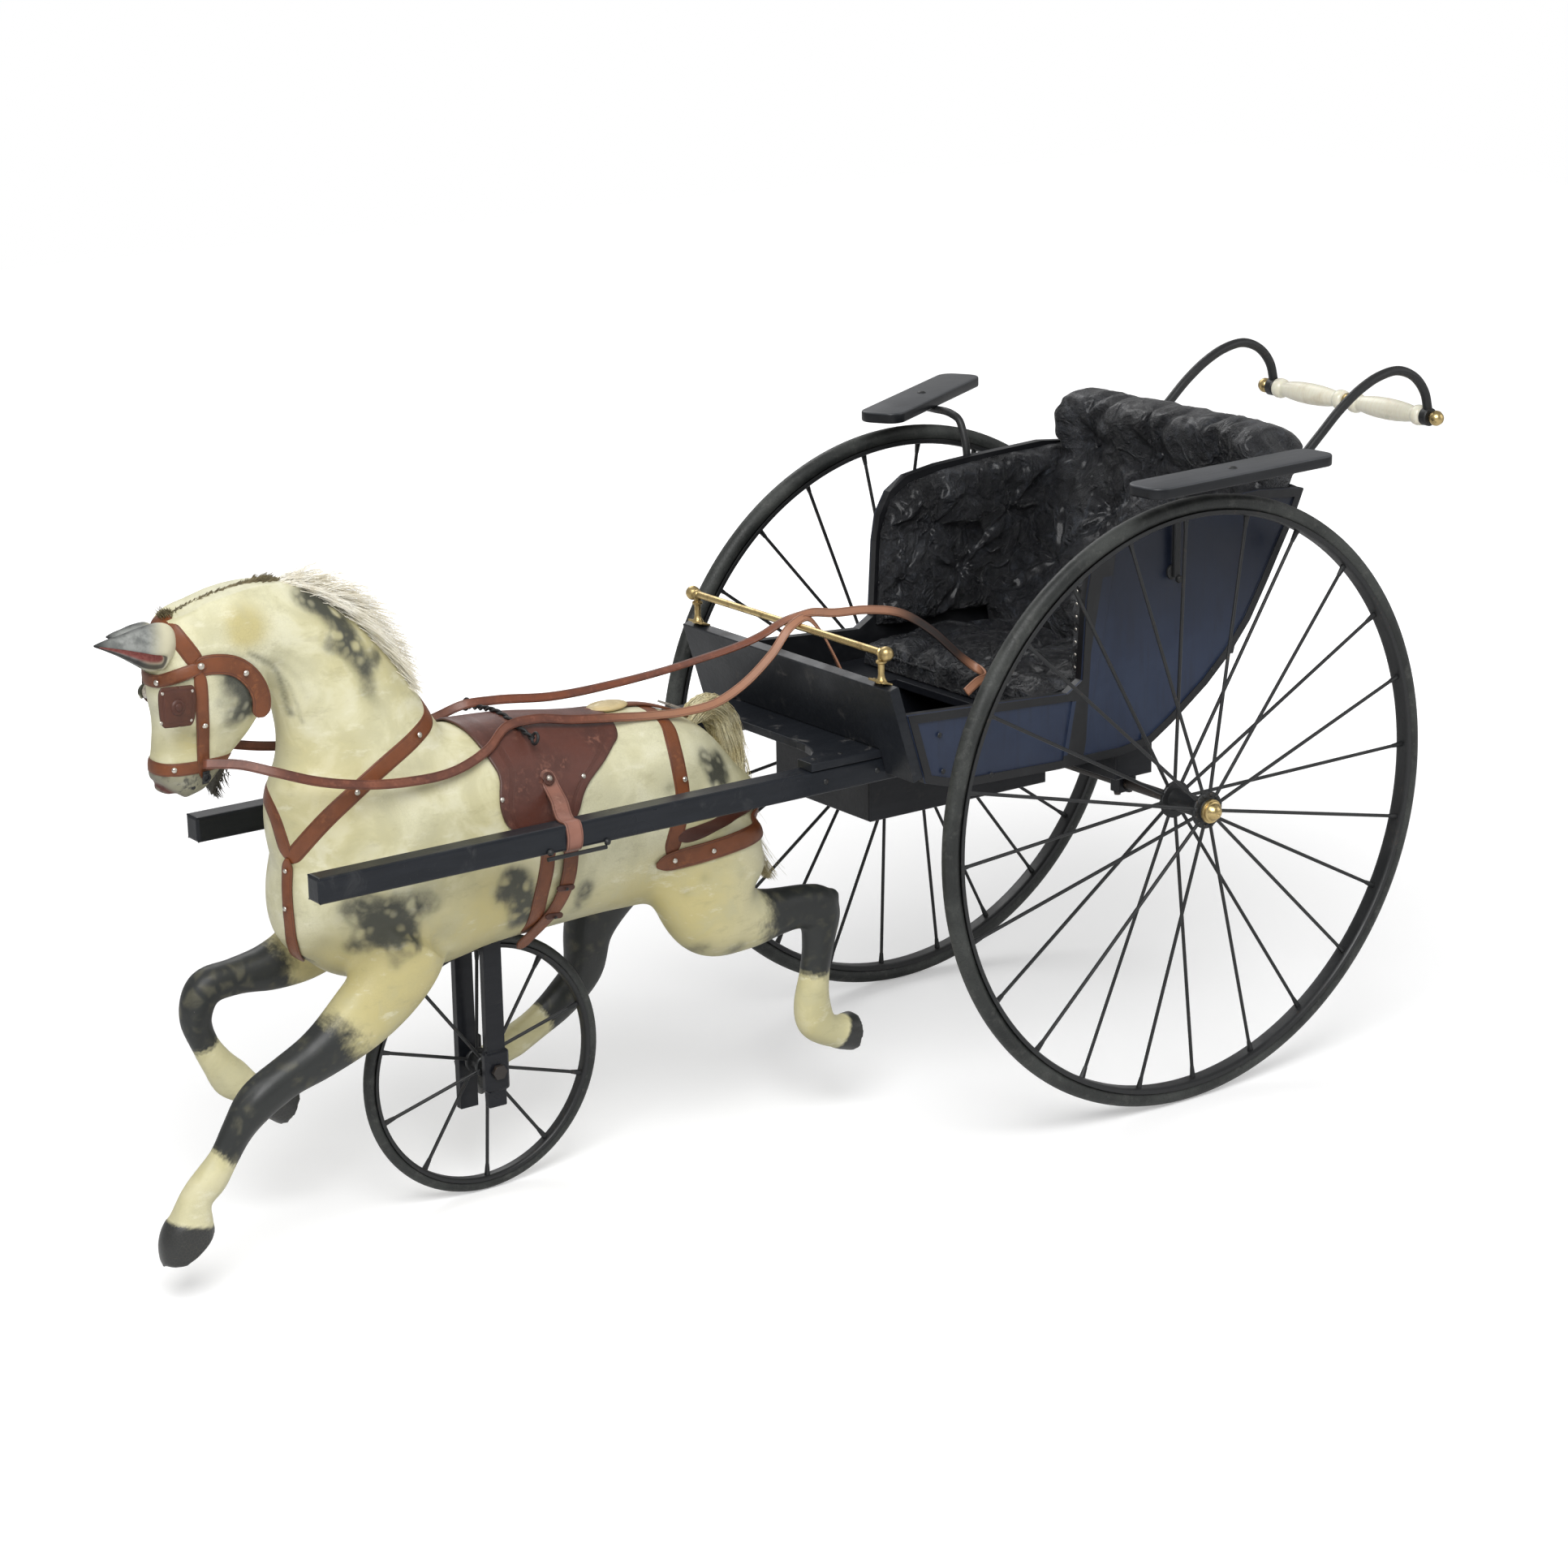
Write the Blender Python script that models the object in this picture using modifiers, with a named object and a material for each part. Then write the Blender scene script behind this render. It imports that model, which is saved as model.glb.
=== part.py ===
# A child's horse and gig: a painted trotting horse on one small steering-less front wheel, harnessed
# between the shafts of a two-wheeled gig with a buttoned leather seat, armrests and a push handle.
# Metres, +Z up. While it is modelled, x = 0 is the rear axle, y = 0 the centre plane and z = 0 the ground;
# the horse faces -X and its near side is -Y. At the end the root empty carries the whole part
# so that the origin is the bottom centre of its box.

import math

import bmesh
import bpy
import numpy as np
from mathutils import Matrix, Vector

# Fits
GAP = 0.0003
BORE_GAP = 0.0005

# Rear wheels
REAR_RADIUS = 0.305
REAR_TRACK = 0.460
REAR_TYRE = 0.0085
REAR_STEPS = 40
REAR_SPOKES = 24
SPOKE_RADIUS = 0.0018
RIM_BASE = 0.0022
HUB_RADIUS = 0.0115
HUB_FLANGE_RADIUS = 0.0185
HUB_INNER = 0.205
HUB_OUTER = 0.259
AXLE_RADIUS = 0.0055
CAP_RADIUS = 0.0120
CAP_HEIGHT = 0.0130

# Front wheel and its posts
FRONT_X = -0.670
FRONT_RADIUS = 0.1255
FRONT_TYRE = 0.0055
FRONT_STEPS = 32
FRONT_SPOKES = 10
FRONT_HUB_HALF = 0.0150
FRONT_AXLE_RADIUS = 0.004
POST_LENGTH_X = 0.019
POST_THICKNESS = 0.008
POST_INNER = 0.0190
NEAR_POST_BOTTOM = 0.090
OFF_POST_BOTTOM = 0.076
OFF_POST_SHIFT = -0.004
POST_TOP = 0.285
ARCH_GAP = 0.008
ARCH_HALF = 0.0140

# Shafts and the boards on them
SHAFT_INNER = 0.103
SHAFT_WIDTH = 0.022
SHAFT_BOTTOM = 0.358
SHAFT_DEPTH = 0.024
SHAFT_TIP = -0.895
SHAFT_END = 0.016
FLOOR_THICKNESS = 0.008
FLOOR_FRONT = -0.272
FLOOR_REAR = 0.056
FOOTBOARD_FRONT = -0.341
FOOTBOARD_HORN = 0.036
WELL_FRONT = -0.274
WELL_REAR = -0.054
WELL_HALF = 0.078
WELL_BOTTOM = 0.302
WELL_WALL = 0.008
WELL_MOUTH_REAR = -0.128

# Axle beam
BEAM_HALF = 0.155
BEAM_FRONT = -0.030
BEAM_REAR = 0.018
BEAM_BOTTOM = 0.3165
CLIP_Y = 0.132
CLIP_WIDTH = 0.014

# Body of the gig
BODY_HALF = 0.1705
PANEL_THICKNESS = 0.0085
MOULDING_HEIGHT = 0.002
MOULDING_WIDTH = 0.0085
DASH_BOTTOM = (-0.291, 0.366)
DASH_TOP = (-0.319, 0.459)
DASH_THICKNESS = 0.011
BACK_THICKNESS = 0.007

# Upholstery
CUSHION_FRONT = -0.118
CUSHION_EDGE = 0.012
CUSHION_CROWN = 0.030
WING_PAD_THICKNESS = 0.020
BACK_PAD_THICKNESS = 0.034
BACK_ROLL = 1.75
BACK_PAD_RISE = 0.052
LEATHER_SINK = 0.45

# Armrests
ARM_LENGTH = 0.246
ARM_WIDTH = 0.047
ARM_THICKNESS = 0.011
ARM_OVER_TYRE = 0.016
ARM_TOP = 2 * REAR_RADIUS + ARM_OVER_TYRE + ARM_THICKNESS
NEAR_SCREW_X = 0.026
OFF_SCREW_X = 0.048
SCREW_Y = 0.254
SCREW_RADIUS = 0.003
STAY_RADIUS = 0.004
NEAR_ARM_ANGLE = math.radians(4)
OFF_ARM_ANGLE = math.radians(31)

# Push handle
HANDLE_INSET = 0.0545
HANDLE_Y = BODY_HALF - HANDLE_INSET
HANDLE_RADIUS = 0.005
CLEAT_HALF = 0.0065
BAR_X = 0.425
BAR_Z = 0.618
BAR_RADIUS = 0.0035
EYE_RADIUS = 0.0095
EYE_WIDTH = 0.010
KNOB_RADIUS = 0.008
KNOB_Y = HANDLE_Y + 0.012
COLLAR_RADIUS = 0.0085
COLLAR_HALF = 0.0045
GRIP_RADIUS = 0.0115

# Dash rail
RAIL_POST_INSET = 0.0195
RAIL_POST_Y = BODY_HALF - RAIL_POST_INSET
RAIL_HALF = RAIL_POST_Y + 0.007
RAIL_Z = 0.492
RAIL_RADIUS = 0.0035
RAIL_KNOB = 0.0072
RAIL_POST_RADIUS = 0.003
RAIL_FOOT = (0.012, 0.020, 0.002)

# Horse
LEG_Y = 0.055
HIND_Y = 0.052
LEATHER = 0.003
STRAP = 0.0024
REIN_WIDTH = 0.0085
REIN_THICKNESS = 0.002
EYE_BALL = 0.0075
EYE_X = -0.9650
EYE_Y = 0.0275
EYE_Z = 0.5360

# Outlines as (x, z), joined by straight runs
REAR_CURVE = [
    (0.012, 0.3600),
    (0.027, 0.3690),
    (0.043, 0.3800),
    (0.073, 0.4010),
    (0.103, 0.4275),
    (0.129, 0.4580),
    (0.151, 0.4940),
    (0.168, 0.5240),
    (0.185, 0.5530),
    (0.198, 0.5820),
]
PANEL_BOTTOM = [(-0.238, 0.352), (-0.120, 0.348), (-0.038, 0.348), (0.000, 0.353)]
WING_TOP = [(0.137, 0.5880), (0.052, 0.5840), (-0.002, 0.5805), (-0.043, 0.5740), (-0.065, 0.5600), (-0.078, 0.5380)]
WING_FRONT_TOP = (-0.083, 0.5100)
WING_FRONT_LOW = (-0.088, 0.4320)
LOW_RAIL = [(-0.106, 0.4215), (-0.219, 0.4285)]
MOULDING_FOOT_X = -0.104

# The handle's crook, as steps from its bar
CROOK = [
    (-0.179, -0.037),
    (-0.152, -0.012),
    (-0.125, 0.013),
    (-0.097, 0.036),
    (-0.073, 0.050),
    (-0.044, 0.053),
    (-0.018, 0.042),
    (-0.003, 0.025),
]

# The horse as sections along its spine or limb: x, z, half depth in the side view, half width
TORSO = [
    (-0.862, 0.367, 0.022, 0.020),
    (-0.852, 0.363, 0.066, 0.045),
    (-0.824, 0.357, 0.098, 0.064),
    (-0.785, 0.351, 0.113, 0.075),
    (-0.730, 0.349, 0.113, 0.078),
    (-0.680, 0.350, 0.106, 0.077),
    (-0.611, 0.348, 0.100, 0.075),
    (-0.543, 0.346, 0.096, 0.074),
    (-0.494, 0.344, 0.095, 0.074),
    (-0.445, 0.335, 0.083, 0.073),
    (-0.406, 0.322, 0.073, 0.066),
    (-0.383, 0.307, 0.053, 0.050),
    (-0.370, 0.296, 0.028, 0.027),
]
NECK = [
    (-0.765, 0.360, 0.103, 0.066),
    (-0.782, 0.419, 0.096, 0.060),
    (-0.792, 0.467, 0.074, 0.051),
    (-0.807, 0.508, 0.060, 0.044),
    (-0.831, 0.547, 0.049, 0.039),
    (-0.868, 0.574, 0.045, 0.036),
    (-0.910, 0.582, 0.040, 0.033),
    (-0.938, 0.578, 0.033, 0.028),
]
HEAD = [
    (-0.920, 0.601, 0.030, 0.024),
    (-0.928, 0.585, 0.043, 0.032),
    (-0.930, 0.563, 0.050, 0.036),
    (-0.928, 0.538, 0.053, 0.037),
    (-0.931, 0.512, 0.053, 0.034),
    (-0.942, 0.488, 0.042, 0.028),
    (-0.951, 0.463, 0.032, 0.024),
    (-0.952, 0.444, 0.025, 0.023),
    (-0.948, 0.433, 0.015, 0.016),
]
NEAR_FORELEG = [
    (-0.770, 0.285, 0.045, 0.030),
    (-0.790, 0.252, 0.038, 0.027),
    (-0.826, 0.221, 0.032, 0.024),
    (-0.868, 0.196, 0.023, 0.020),
    (-0.903, 0.182, 0.019, 0.018),
    (-0.932, 0.166, 0.0195, 0.018),
    (-0.952, 0.144, 0.0150, 0.014),
    (-0.966, 0.123, 0.0140, 0.012),
    (-0.980, 0.106, 0.0160, 0.0145),
    (-0.995, 0.090, 0.0135, 0.0125),
    (-1.0065, 0.0740, 0.0190, 0.0165),
    (-1.0050, 0.0510, 0.0255, 0.0195),
]
OFF_FORELEG = [
    (-0.795, 0.275, 0.045, 0.030),
    (-0.820, 0.256, 0.036, 0.027),
    (-0.855, 0.246, 0.027, 0.023),
    (-0.890, 0.243, 0.021, 0.020),
    (-0.922, 0.236, 0.021, 0.018),
    (-0.930, 0.213, 0.0195, 0.018),
    (-0.921, 0.188, 0.0160, 0.014),
    (-0.910, 0.164, 0.0160, 0.013),
    (-0.899, 0.147, 0.0170, 0.0145),
    (-0.886, 0.1345, 0.0140, 0.0125),
    (-0.869, 0.1240, 0.0170, 0.0165),
    (-0.854, 0.1150, 0.0195, 0.0190),
]
NEAR_HIND_LEG = [
    (-0.425, 0.330, 0.055, 0.036),
    (-0.443, 0.280, 0.067, 0.038),
    (-0.435, 0.240, 0.055, 0.034),
    (-0.402, 0.221, 0.037, 0.026),
    (-0.368, 0.2225, 0.0260, 0.019),
    (-0.341, 0.2235, 0.0225, 0.0165),
    (-0.3170, 0.2170, 0.0280, 0.0160),
    (-0.3195, 0.186, 0.0205, 0.0145),
    (-0.3250, 0.152, 0.0190, 0.0135),
    (-0.3270, 0.122, 0.0200, 0.0150),
    (-0.3180, 0.104, 0.0170, 0.0130),
    (-0.3050, 0.0930, 0.0185, 0.0165),
    (-0.2860, 0.0790, 0.0205, 0.0190),
]
OFF_HIND_LEG = [
    (-0.457, 0.330, 0.055, 0.036),
    (-0.476, 0.280, 0.049, 0.036),
    (-0.501, 0.243, 0.035, 0.030),
    (-0.517, 0.208, 0.0245, 0.022),
    (-0.524, 0.172, 0.0210, 0.0170),
    (-0.548, 0.148, 0.0195, 0.0150),
    (-0.580, 0.128, 0.0165, 0.0130),
    (-0.606, 0.116, 0.0160, 0.0145),
    (-0.622, 0.109, 0.0140, 0.0125),
    (-0.638, 0.101, 0.0175, 0.0165),
    (-0.655, 0.092, 0.0215, 0.0190),
]
TAIL = [
    (-0.416, 0.409, 0.012, 0.010),
    (-0.399, 0.415, 0.016, 0.013),
    (-0.379, 0.405, 0.016, 0.014),
    (-0.365, 0.374, 0.015, 0.013),
    (-0.357, 0.335, 0.013, 0.012),
    (-0.349, 0.295, 0.010, 0.010),
    (-0.342, 0.262, 0.007, 0.007),
    (-0.337, 0.238, 0.004, 0.004),
]
NEAR_EAR = [
    (-0.960, 0.5755, 0.018, 0.008),
    (-0.976, 0.5770, 0.0225, 0.011),
    (-0.994, 0.5795, 0.0205, 0.0105),
    (-1.013, 0.5835, 0.0125, 0.0075),
    (-1.039, 0.5900, 0.0025, 0.002),
]
EAR_SPREAD = 0.022

# Loose straps as (x, y, z), chosen by hand along their real runs
NEAR_REIN = [
    (-0.9510, -0.0330, 0.4740),
    (-0.9250, -0.0480, 0.4720),
    (-0.9010, -0.0640, 0.4650),
    (-0.8640, -0.0740, 0.4520),
    (-0.8240, -0.0760, 0.4420),
    (-0.7750, -0.0740, 0.4350),
    (-0.7250, -0.0680, 0.4340),
    (-0.6780, -0.0530, 0.4440),
    (-0.6500, -0.0380, 0.4560),
    (-0.6200, -0.0350, 0.4570),
    (-0.5800, -0.0360, 0.4500),
    (-0.5370, -0.0360, 0.4445),
    (-0.4900, -0.0330, 0.4380),
    (-0.4500, -0.0300, 0.4345),
    (-0.4150, -0.0290, 0.4370),
    (-0.3880, -0.0280, 0.4470),
    (-0.3500, -0.0260, 0.4720),
    (-0.3240, -0.0240, 0.4960),
    (-0.3040, -0.0220, 0.5010),
    (-0.2900, -0.0260, 0.4860),
    (-0.2820, -0.0330, 0.4660),
    (-0.2760, -0.0400, 0.4450),
    (-0.2720, -0.0440, 0.4250),
]
OFF_REIN = [
    (-0.9510, 0.0330, 0.4740),
    (-0.9220, 0.0500, 0.4690),
    (-0.8890, 0.0660, 0.4600),
    (-0.8380, 0.0760, 0.4460),
    (-0.7800, 0.0760, 0.4380),
    (-0.7250, 0.0690, 0.4400),
    (-0.6800, 0.0540, 0.4470),
    (-0.6500, 0.0390, 0.4600),
    (-0.6200, 0.0340, 0.4605),
    (-0.5640, 0.0280, 0.4560),
    (-0.4900, 0.0190, 0.4600),
    (-0.4150, 0.0100, 0.4695),
    (-0.3480, -0.0080, 0.4880),
    (-0.3240, -0.0140, 0.5000),
    (-0.3030, -0.0190, 0.5040),
    (-0.2700, -0.0200, 0.4990),
    (-0.2300, -0.0210, 0.4960),
    (-0.1920, -0.0260, 0.4870),
    (-0.1660, -0.0400, 0.4680),
    (-0.1440, -0.0520, 0.4440),
    (-0.1270, -0.0600, 0.4270),
    (-0.1330, -0.0780, 0.4240),
    (-0.1560, -0.0930, 0.4250),
    (-0.1740, -0.0990, 0.4190),
]

for old in list(bpy.data.objects):
    bpy.data.objects.remove(old, do_unlink=True)

PARTS = bpy.data.collections.new("horse_and_gig")
bpy.context.scene.collection.children.link(PARTS)


# Small tools

def make_material(name, colour, roughness, metallic=0.0):
    material = bpy.data.materials.new(name)
    material.use_nodes = True
    shader = material.node_tree.nodes["Principled BSDF"]
    shader.inputs["Base Color"].default_value = (*colour, 1.0)
    shader.inputs["Roughness"].default_value = roughness
    shader.inputs["Metallic"].default_value = metallic
    return material


def add_object(name, mesh, material=None):
    obj = bpy.data.objects.new(name, mesh)
    PARTS.objects.link(obj)
    if material:
        obj.data.materials.clear()
        obj.data.materials.append(material)
    return obj


def tidy_mesh(mesh):
    # Welds the seams that a screw or a curve leaves and turns every face outwards.
    shape = bmesh.new()
    shape.from_mesh(mesh)
    bmesh.ops.remove_doubles(shape, verts=shape.verts, dist=0.000002)
    bmesh.ops.recalc_face_normals(shape, faces=shape.faces)
    shape.to_mesh(mesh)
    shape.free()


def bake(obj):
    # Replaces an object by a mesh object of what its modifiers or its curve make.
    bpy.context.view_layer.update()
    graph = bpy.context.evaluated_depsgraph_get()
    mesh = bpy.data.meshes.new_from_object(obj.evaluated_get(graph))
    tidy_mesh(mesh)
    baked = bpy.data.objects.new(obj.name, mesh)
    PARTS.objects.link(baked)
    baked.matrix_world = obj.matrix_world.copy()
    name = obj.name
    bpy.data.objects.remove(obj, do_unlink=True)
    baked.name = name
    return baked


def apply_place(obj):
    obj.data.transform(obj.matrix_basis)
    obj.matrix_basis = Matrix.Identity(4)
    return obj


def join_or_cut(obj, others, operation, keep=False):
    # One exact Boolean after another; the cutters go unless they are kept for a later cut.
    for other in others:
        step = obj.modifiers.new(operation.lower(), "BOOLEAN")
        step.operation = operation
        step.solver = "EXACT"
        step.object = other
        obj = bake(obj)
        if not keep:
            bpy.data.objects.remove(other, do_unlink=True)
    return obj


def union(obj, *others):
    return join_or_cut(obj, others, "UNION")


def cut(obj, *others):
    return join_or_cut(obj, others, "DIFFERENCE")


def overlap(obj, other):
    return join_or_cut(obj, [other], "INTERSECT")


def copy_of(obj, name):
    twin = bpy.data.objects.new(name, obj.data.copy())
    PARTS.objects.link(twin)
    return twin


def largest_piece(obj):
    # A cut along a curved surface can leave crumbs beside the real piece.
    shape = bmesh.new()
    shape.from_mesh(obj.data)
    left = set(shape.verts)
    groups = []
    while left:
        group = set()
        front = [left.pop()]
        while front:
            vert = front.pop()
            group.add(vert)
            for edge in vert.link_edges:
                other = edge.other_vert(vert)
                if other in left:
                    left.discard(other)
                    front.append(other)
        groups.append(group)
    groups.sort(key=lambda found: volume_of(found), reverse=True)
    for group in groups[1:]:
        bmesh.ops.delete(shape, geom=list(group), context="VERTS")
    shape.to_mesh(obj.data)
    shape.free()
    return obj


def volume_of(verts):
    total = 0.0
    for face in {face for vert in verts for face in vert.link_faces}:
        corners = [vert.co for vert in face.verts]
        for second, third in zip(corners[1:], corners[2:]):
            total += corners[0].dot(second.cross(third)) / 6
    return abs(total)


def name_piece(obj, name, material, smooth_angle=40):
    obj.name = name
    obj.data.name = name
    obj.data.materials.clear()
    obj.data.materials.append(material)
    obj.data.shade_smooth()
    obj.data.set_sharp_from_angle(angle=math.radians(smooth_angle))
    return obj


def mirrored(obj, name):
    # The same piece on the other side of the centre plane.
    twin = copy_of(obj, name)
    twin.data.transform(Matrix.Scale(-1, 4, (0, 1, 0)))
    twin.data.flip_normals()
    return twin


def box(low, high, bevel=0.0):
    shape = bmesh.new()
    size = Vector(high) - Vector(low)
    centre = (Vector(high) + Vector(low)) / 2
    matrix = Matrix.Translation(centre) @ Matrix.Diagonal((*size, 1))
    bmesh.ops.create_cube(shape, size=1, matrix=matrix)
    mesh = bpy.data.meshes.new("box")
    shape.to_mesh(mesh)
    shape.free()
    obj = add_object("box", mesh)
    if bevel:
        edge = obj.modifiers.new("bevel", "BEVEL")
        edge.width = bevel
        edge.segments = 1
        obj = bake(obj)
    return obj


AXIS_TURN = {
    "X": Matrix.Rotation(math.radians(90), 4, "Y"),
    "Y": Matrix.Rotation(math.radians(-90), 4, "X"),
    "Z": Matrix.Identity(4),
}


def turned(profile, centre, axis="Y", steps=24, closed=False):
    # Turns a profile of (radius, height) about an axis; heights run along it from the centre.
    mesh = bpy.data.meshes.new("profile")
    points = [(radius, 0, height) for radius, height in profile]
    edges = [(i, i + 1) for i in range(len(points) - 1)]
    if closed:
        edges.append((len(points) - 1, 0))
    mesh.from_pydata(points, edges, [])
    obj = add_object("turned", mesh)
    screw = obj.modifiers.new("screw", "SCREW")
    screw.steps = steps
    screw.render_steps = steps
    screw.use_merge_vertices = True
    screw.merge_threshold = 0.00001
    obj = bake(obj)
    obj.matrix_basis = Matrix.Translation(centre) @ AXIS_TURN[axis]
    return apply_place(obj)


def cylinder(radius, low, high, centre, axis="Y", steps=16):
    return turned([(0, high), (radius, high), (radius, low), (0, low)], centre, axis, steps)


def ball(radius, centre, steps=10):
    rows = steps // 2
    angles = [math.pi / 2 - math.pi * i / rows for i in range(rows + 1)]
    profile = [(radius * math.cos(a), radius * math.sin(a)) for a in angles]
    profile[0] = (0, radius)
    profile[-1] = (0, -radius)
    return turned(profile, centre, "Y", steps)


def flat_piece(outlines, low, high, plane="XZ"):
    # Extrudes a flat outline, with any inner outlines as holes, square to its plane.
    curve = bpy.data.curves.new("outline", "CURVE")
    curve.dimensions = "2D"
    curve.fill_mode = "BOTH"
    curve.extrude = (high - low) / 2
    for outline in outlines:
        spline = curve.splines.new("POLY")
        spline.points.add(len(outline) - 1)
        for point, (across, up) in zip(spline.points, outline):
            point.co = (across, up, 0, 1)
        spline.use_cyclic_u = True
    obj = bpy.data.objects.new("flat", curve)
    PARTS.objects.link(obj)
    obj = bake(obj)
    middle = (low + high) / 2
    if plane == "XZ":
        turn = Matrix(((1, 0, 0, 0), (0, 0, 1, middle), (0, 1, 0, 0), (0, 0, 0, 1)))
    elif plane == "YZ":
        turn = Matrix(((0, 0, 1, middle), (1, 0, 0, 0), (0, 1, 0, 0), (0, 0, 0, 1)))
    else:
        turn = Matrix.Translation((0, 0, middle))
    obj.data.transform(turn)
    tidy_mesh(obj.data)
    return obj


def tube(points, radius, resolution=1, tapers=None):
    curve = bpy.data.curves.new("tube", "CURVE")
    curve.dimensions = "3D"
    curve.bevel_depth = radius
    curve.bevel_resolution = resolution
    curve.use_fill_caps = True
    spline = curve.splines.new("POLY")
    spline.points.add(len(points) - 1)
    for i, (point, place) in enumerate(zip(spline.points, points)):
        point.co = (*place, 1)
        point.radius = tapers[i] if tapers else 1
    obj = bpy.data.objects.new("tube", curve)
    PARTS.objects.link(obj)
    return bake(obj)


def smooth_rows(rows, steps):
    # A smooth curve through rows of numbers, in which the first three or two columns are a place.
    table = np.array(rows, float)
    runs = np.linalg.norm(np.diff(table[:, :3], axis=0), axis=1)
    at = np.concatenate([[0], np.cumsum(runs)])
    slopes = np.gradient(table, at, axis=0)
    smooth = []
    for i in range(len(table) - 1):
        for step in range(steps):
            t = step / steps
            span = at[i + 1] - at[i]
            h00 = 2 * t**3 - 3 * t**2 + 1
            h10 = t**3 - 2 * t**2 + t
            h01 = 3 * t**2 - 2 * t**3
            h11 = t**3 - t**2
            row = h00 * table[i] + h10 * span * slopes[i] + h01 * table[i + 1] + h11 * span * slopes[i + 1]
            smooth.append(row)
    smooth.append(table[-1])
    return np.array(smooth)


def side_shape(angle, power):
    cosine = math.cos(angle)
    sine = math.sin(angle)
    along = math.copysign(abs(cosine) ** (2 / power), cosine)
    across = math.copysign(abs(sine) ** (2 / power), sine)
    return along, across


def loft(stations, side=0.0, grow=0.0, sides=12, steps=2, power=2.0):
    # Sections square to a spine that lies in a plane y = side, each an oval of half depth and half width;
    # the whole skin can be grown outwards.
    rows = smooth_rows([(x, side, z, depth, width) for x, z, depth, width in stations], steps)
    spine = rows[:, :3]
    ways = np.gradient(spine, axis=0)
    ways /= np.linalg.norm(ways, axis=1)[:, None]
    shape = bmesh.new()
    rings = []
    for place, way, (depth, width) in zip(spine, ways, rows[:, 3:]):
        up = np.array([-way[2], 0, way[0]])
        ring = []
        for i in range(sides):
            along, across = side_shape(2 * math.pi * i / sides, power)
            offset = up * depth * along + np.array([0, width * across, 0])
            ring.append(shape.verts.new(place + offset))
        rings.append(ring)
    for low, high in zip(rings, rings[1:]):
        for i in range(sides):
            j = (i + 1) % sides
            shape.faces.new((low[i], low[j], high[j]))
            shape.faces.new((low[i], high[j], high[i]))
    shape.faces.new(rings[0])
    shape.faces.new(rings[-1])
    bmesh.ops.recalc_face_normals(shape, faces=shape.faces)
    if grow:
        moves = [vert.normal * grow * min(2.0, vert.calc_shell_factor()) for vert in shape.verts]
        for vert, move in zip(shape.verts, moves):
            vert.co += move
    mesh = bpy.data.meshes.new("loft")
    shape.to_mesh(mesh)
    shape.free()
    return add_object("loft", mesh)


def offset_line(points, distance):
    # A line beside an open line of (across, up) points, with mitred corners.
    places = [Vector(point) for point in points]
    moved = []
    for i, place in enumerate(places):
        ways = []
        if i:
            ways.append((place - places[i - 1]).normalized())
        if i < len(places) - 1:
            ways.append((places[i + 1] - place).normalized())
        sides = [Vector((-way.y, way.x)) for way in ways]
        middle = sum(sides, Vector((0, 0))).normalized()
        moved.append(place + middle * distance / max(0.35, middle.dot(sides[0])))
    return [tuple(place) for place in moved]


def ribbon_outline(points, thickness):
    return offset_line(points, thickness / 2) + offset_line(points, -thickness / 2)[::-1]


def inset(outline, distance):
    # Moves each side of a closed clockwise or anticlockwise outline inwards.
    closed = [outline[-1], *outline, outline[0]]
    area = sum(a[0] * b[1] - b[0] * a[1] for a, b in zip(outline, [*outline[1:], outline[0]]))
    inner = offset_line(closed, math.copysign(distance, area))
    return inner[1:-1]


def clip(outline, where, sign):
    # The part of an outline on one side of the line through two points.
    start = Vector(where[0])
    way = Vector(where[1]) - start

    def side(point):
        reach = Vector(point) - start
        return sign * (way.x * reach.y - way.y * reach.x)

    kept = []
    for a, b in zip(outline, [*outline[1:], outline[0]]):
        if side(a) >= 0:
            kept.append(a)
        if side(a) * side(b) < 0:
            share = side(a) / (side(a) - side(b))
            kept.append((a[0] + share * (b[0] - a[0]), a[1] + share * (b[1] - a[1])))
    return kept


def level_on(line, height):
    # Where a line of (across, up) points, rising, reaches a height.
    return float(np.interp(height, [point[1] for point in line], [point[0] for point in line]))


# Materials

COAT = make_material("dappled_coat", (0.62, 0.55, 0.33), 0.55)
EAR_GREY = make_material("grey_ear", (0.14, 0.14, 0.14), 0.55)
HAIR = make_material("blond_hair", (0.72, 0.62, 0.42), 0.8)
TAN = make_material("tan_leather", (0.26, 0.06, 0.03), 0.45)
BLACK_PAINT = make_material("black_paint", (0.012, 0.013, 0.016), 0.4)
BLUE_PAINT = make_material("blue_paint", (0.018, 0.028, 0.060), 0.4)
BLACK_LEATHER = make_material("black_leather", (0.010, 0.011, 0.014), 0.35)
IRON = make_material("black_iron", (0.02, 0.02, 0.022), 0.45, 0.6)
RUBBER = make_material("tyre_rubber", (0.030, 0.032, 0.030), 0.6)
BRASS = make_material("brass", (0.55, 0.40, 0.16), 0.3, 1.0)
CREAM = make_material("cream_grip", (0.80, 0.76, 0.64), 0.4)
GLASS = make_material("glass_eye", (0.03, 0.012, 0.006), 0.08)


# Wheels

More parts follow.
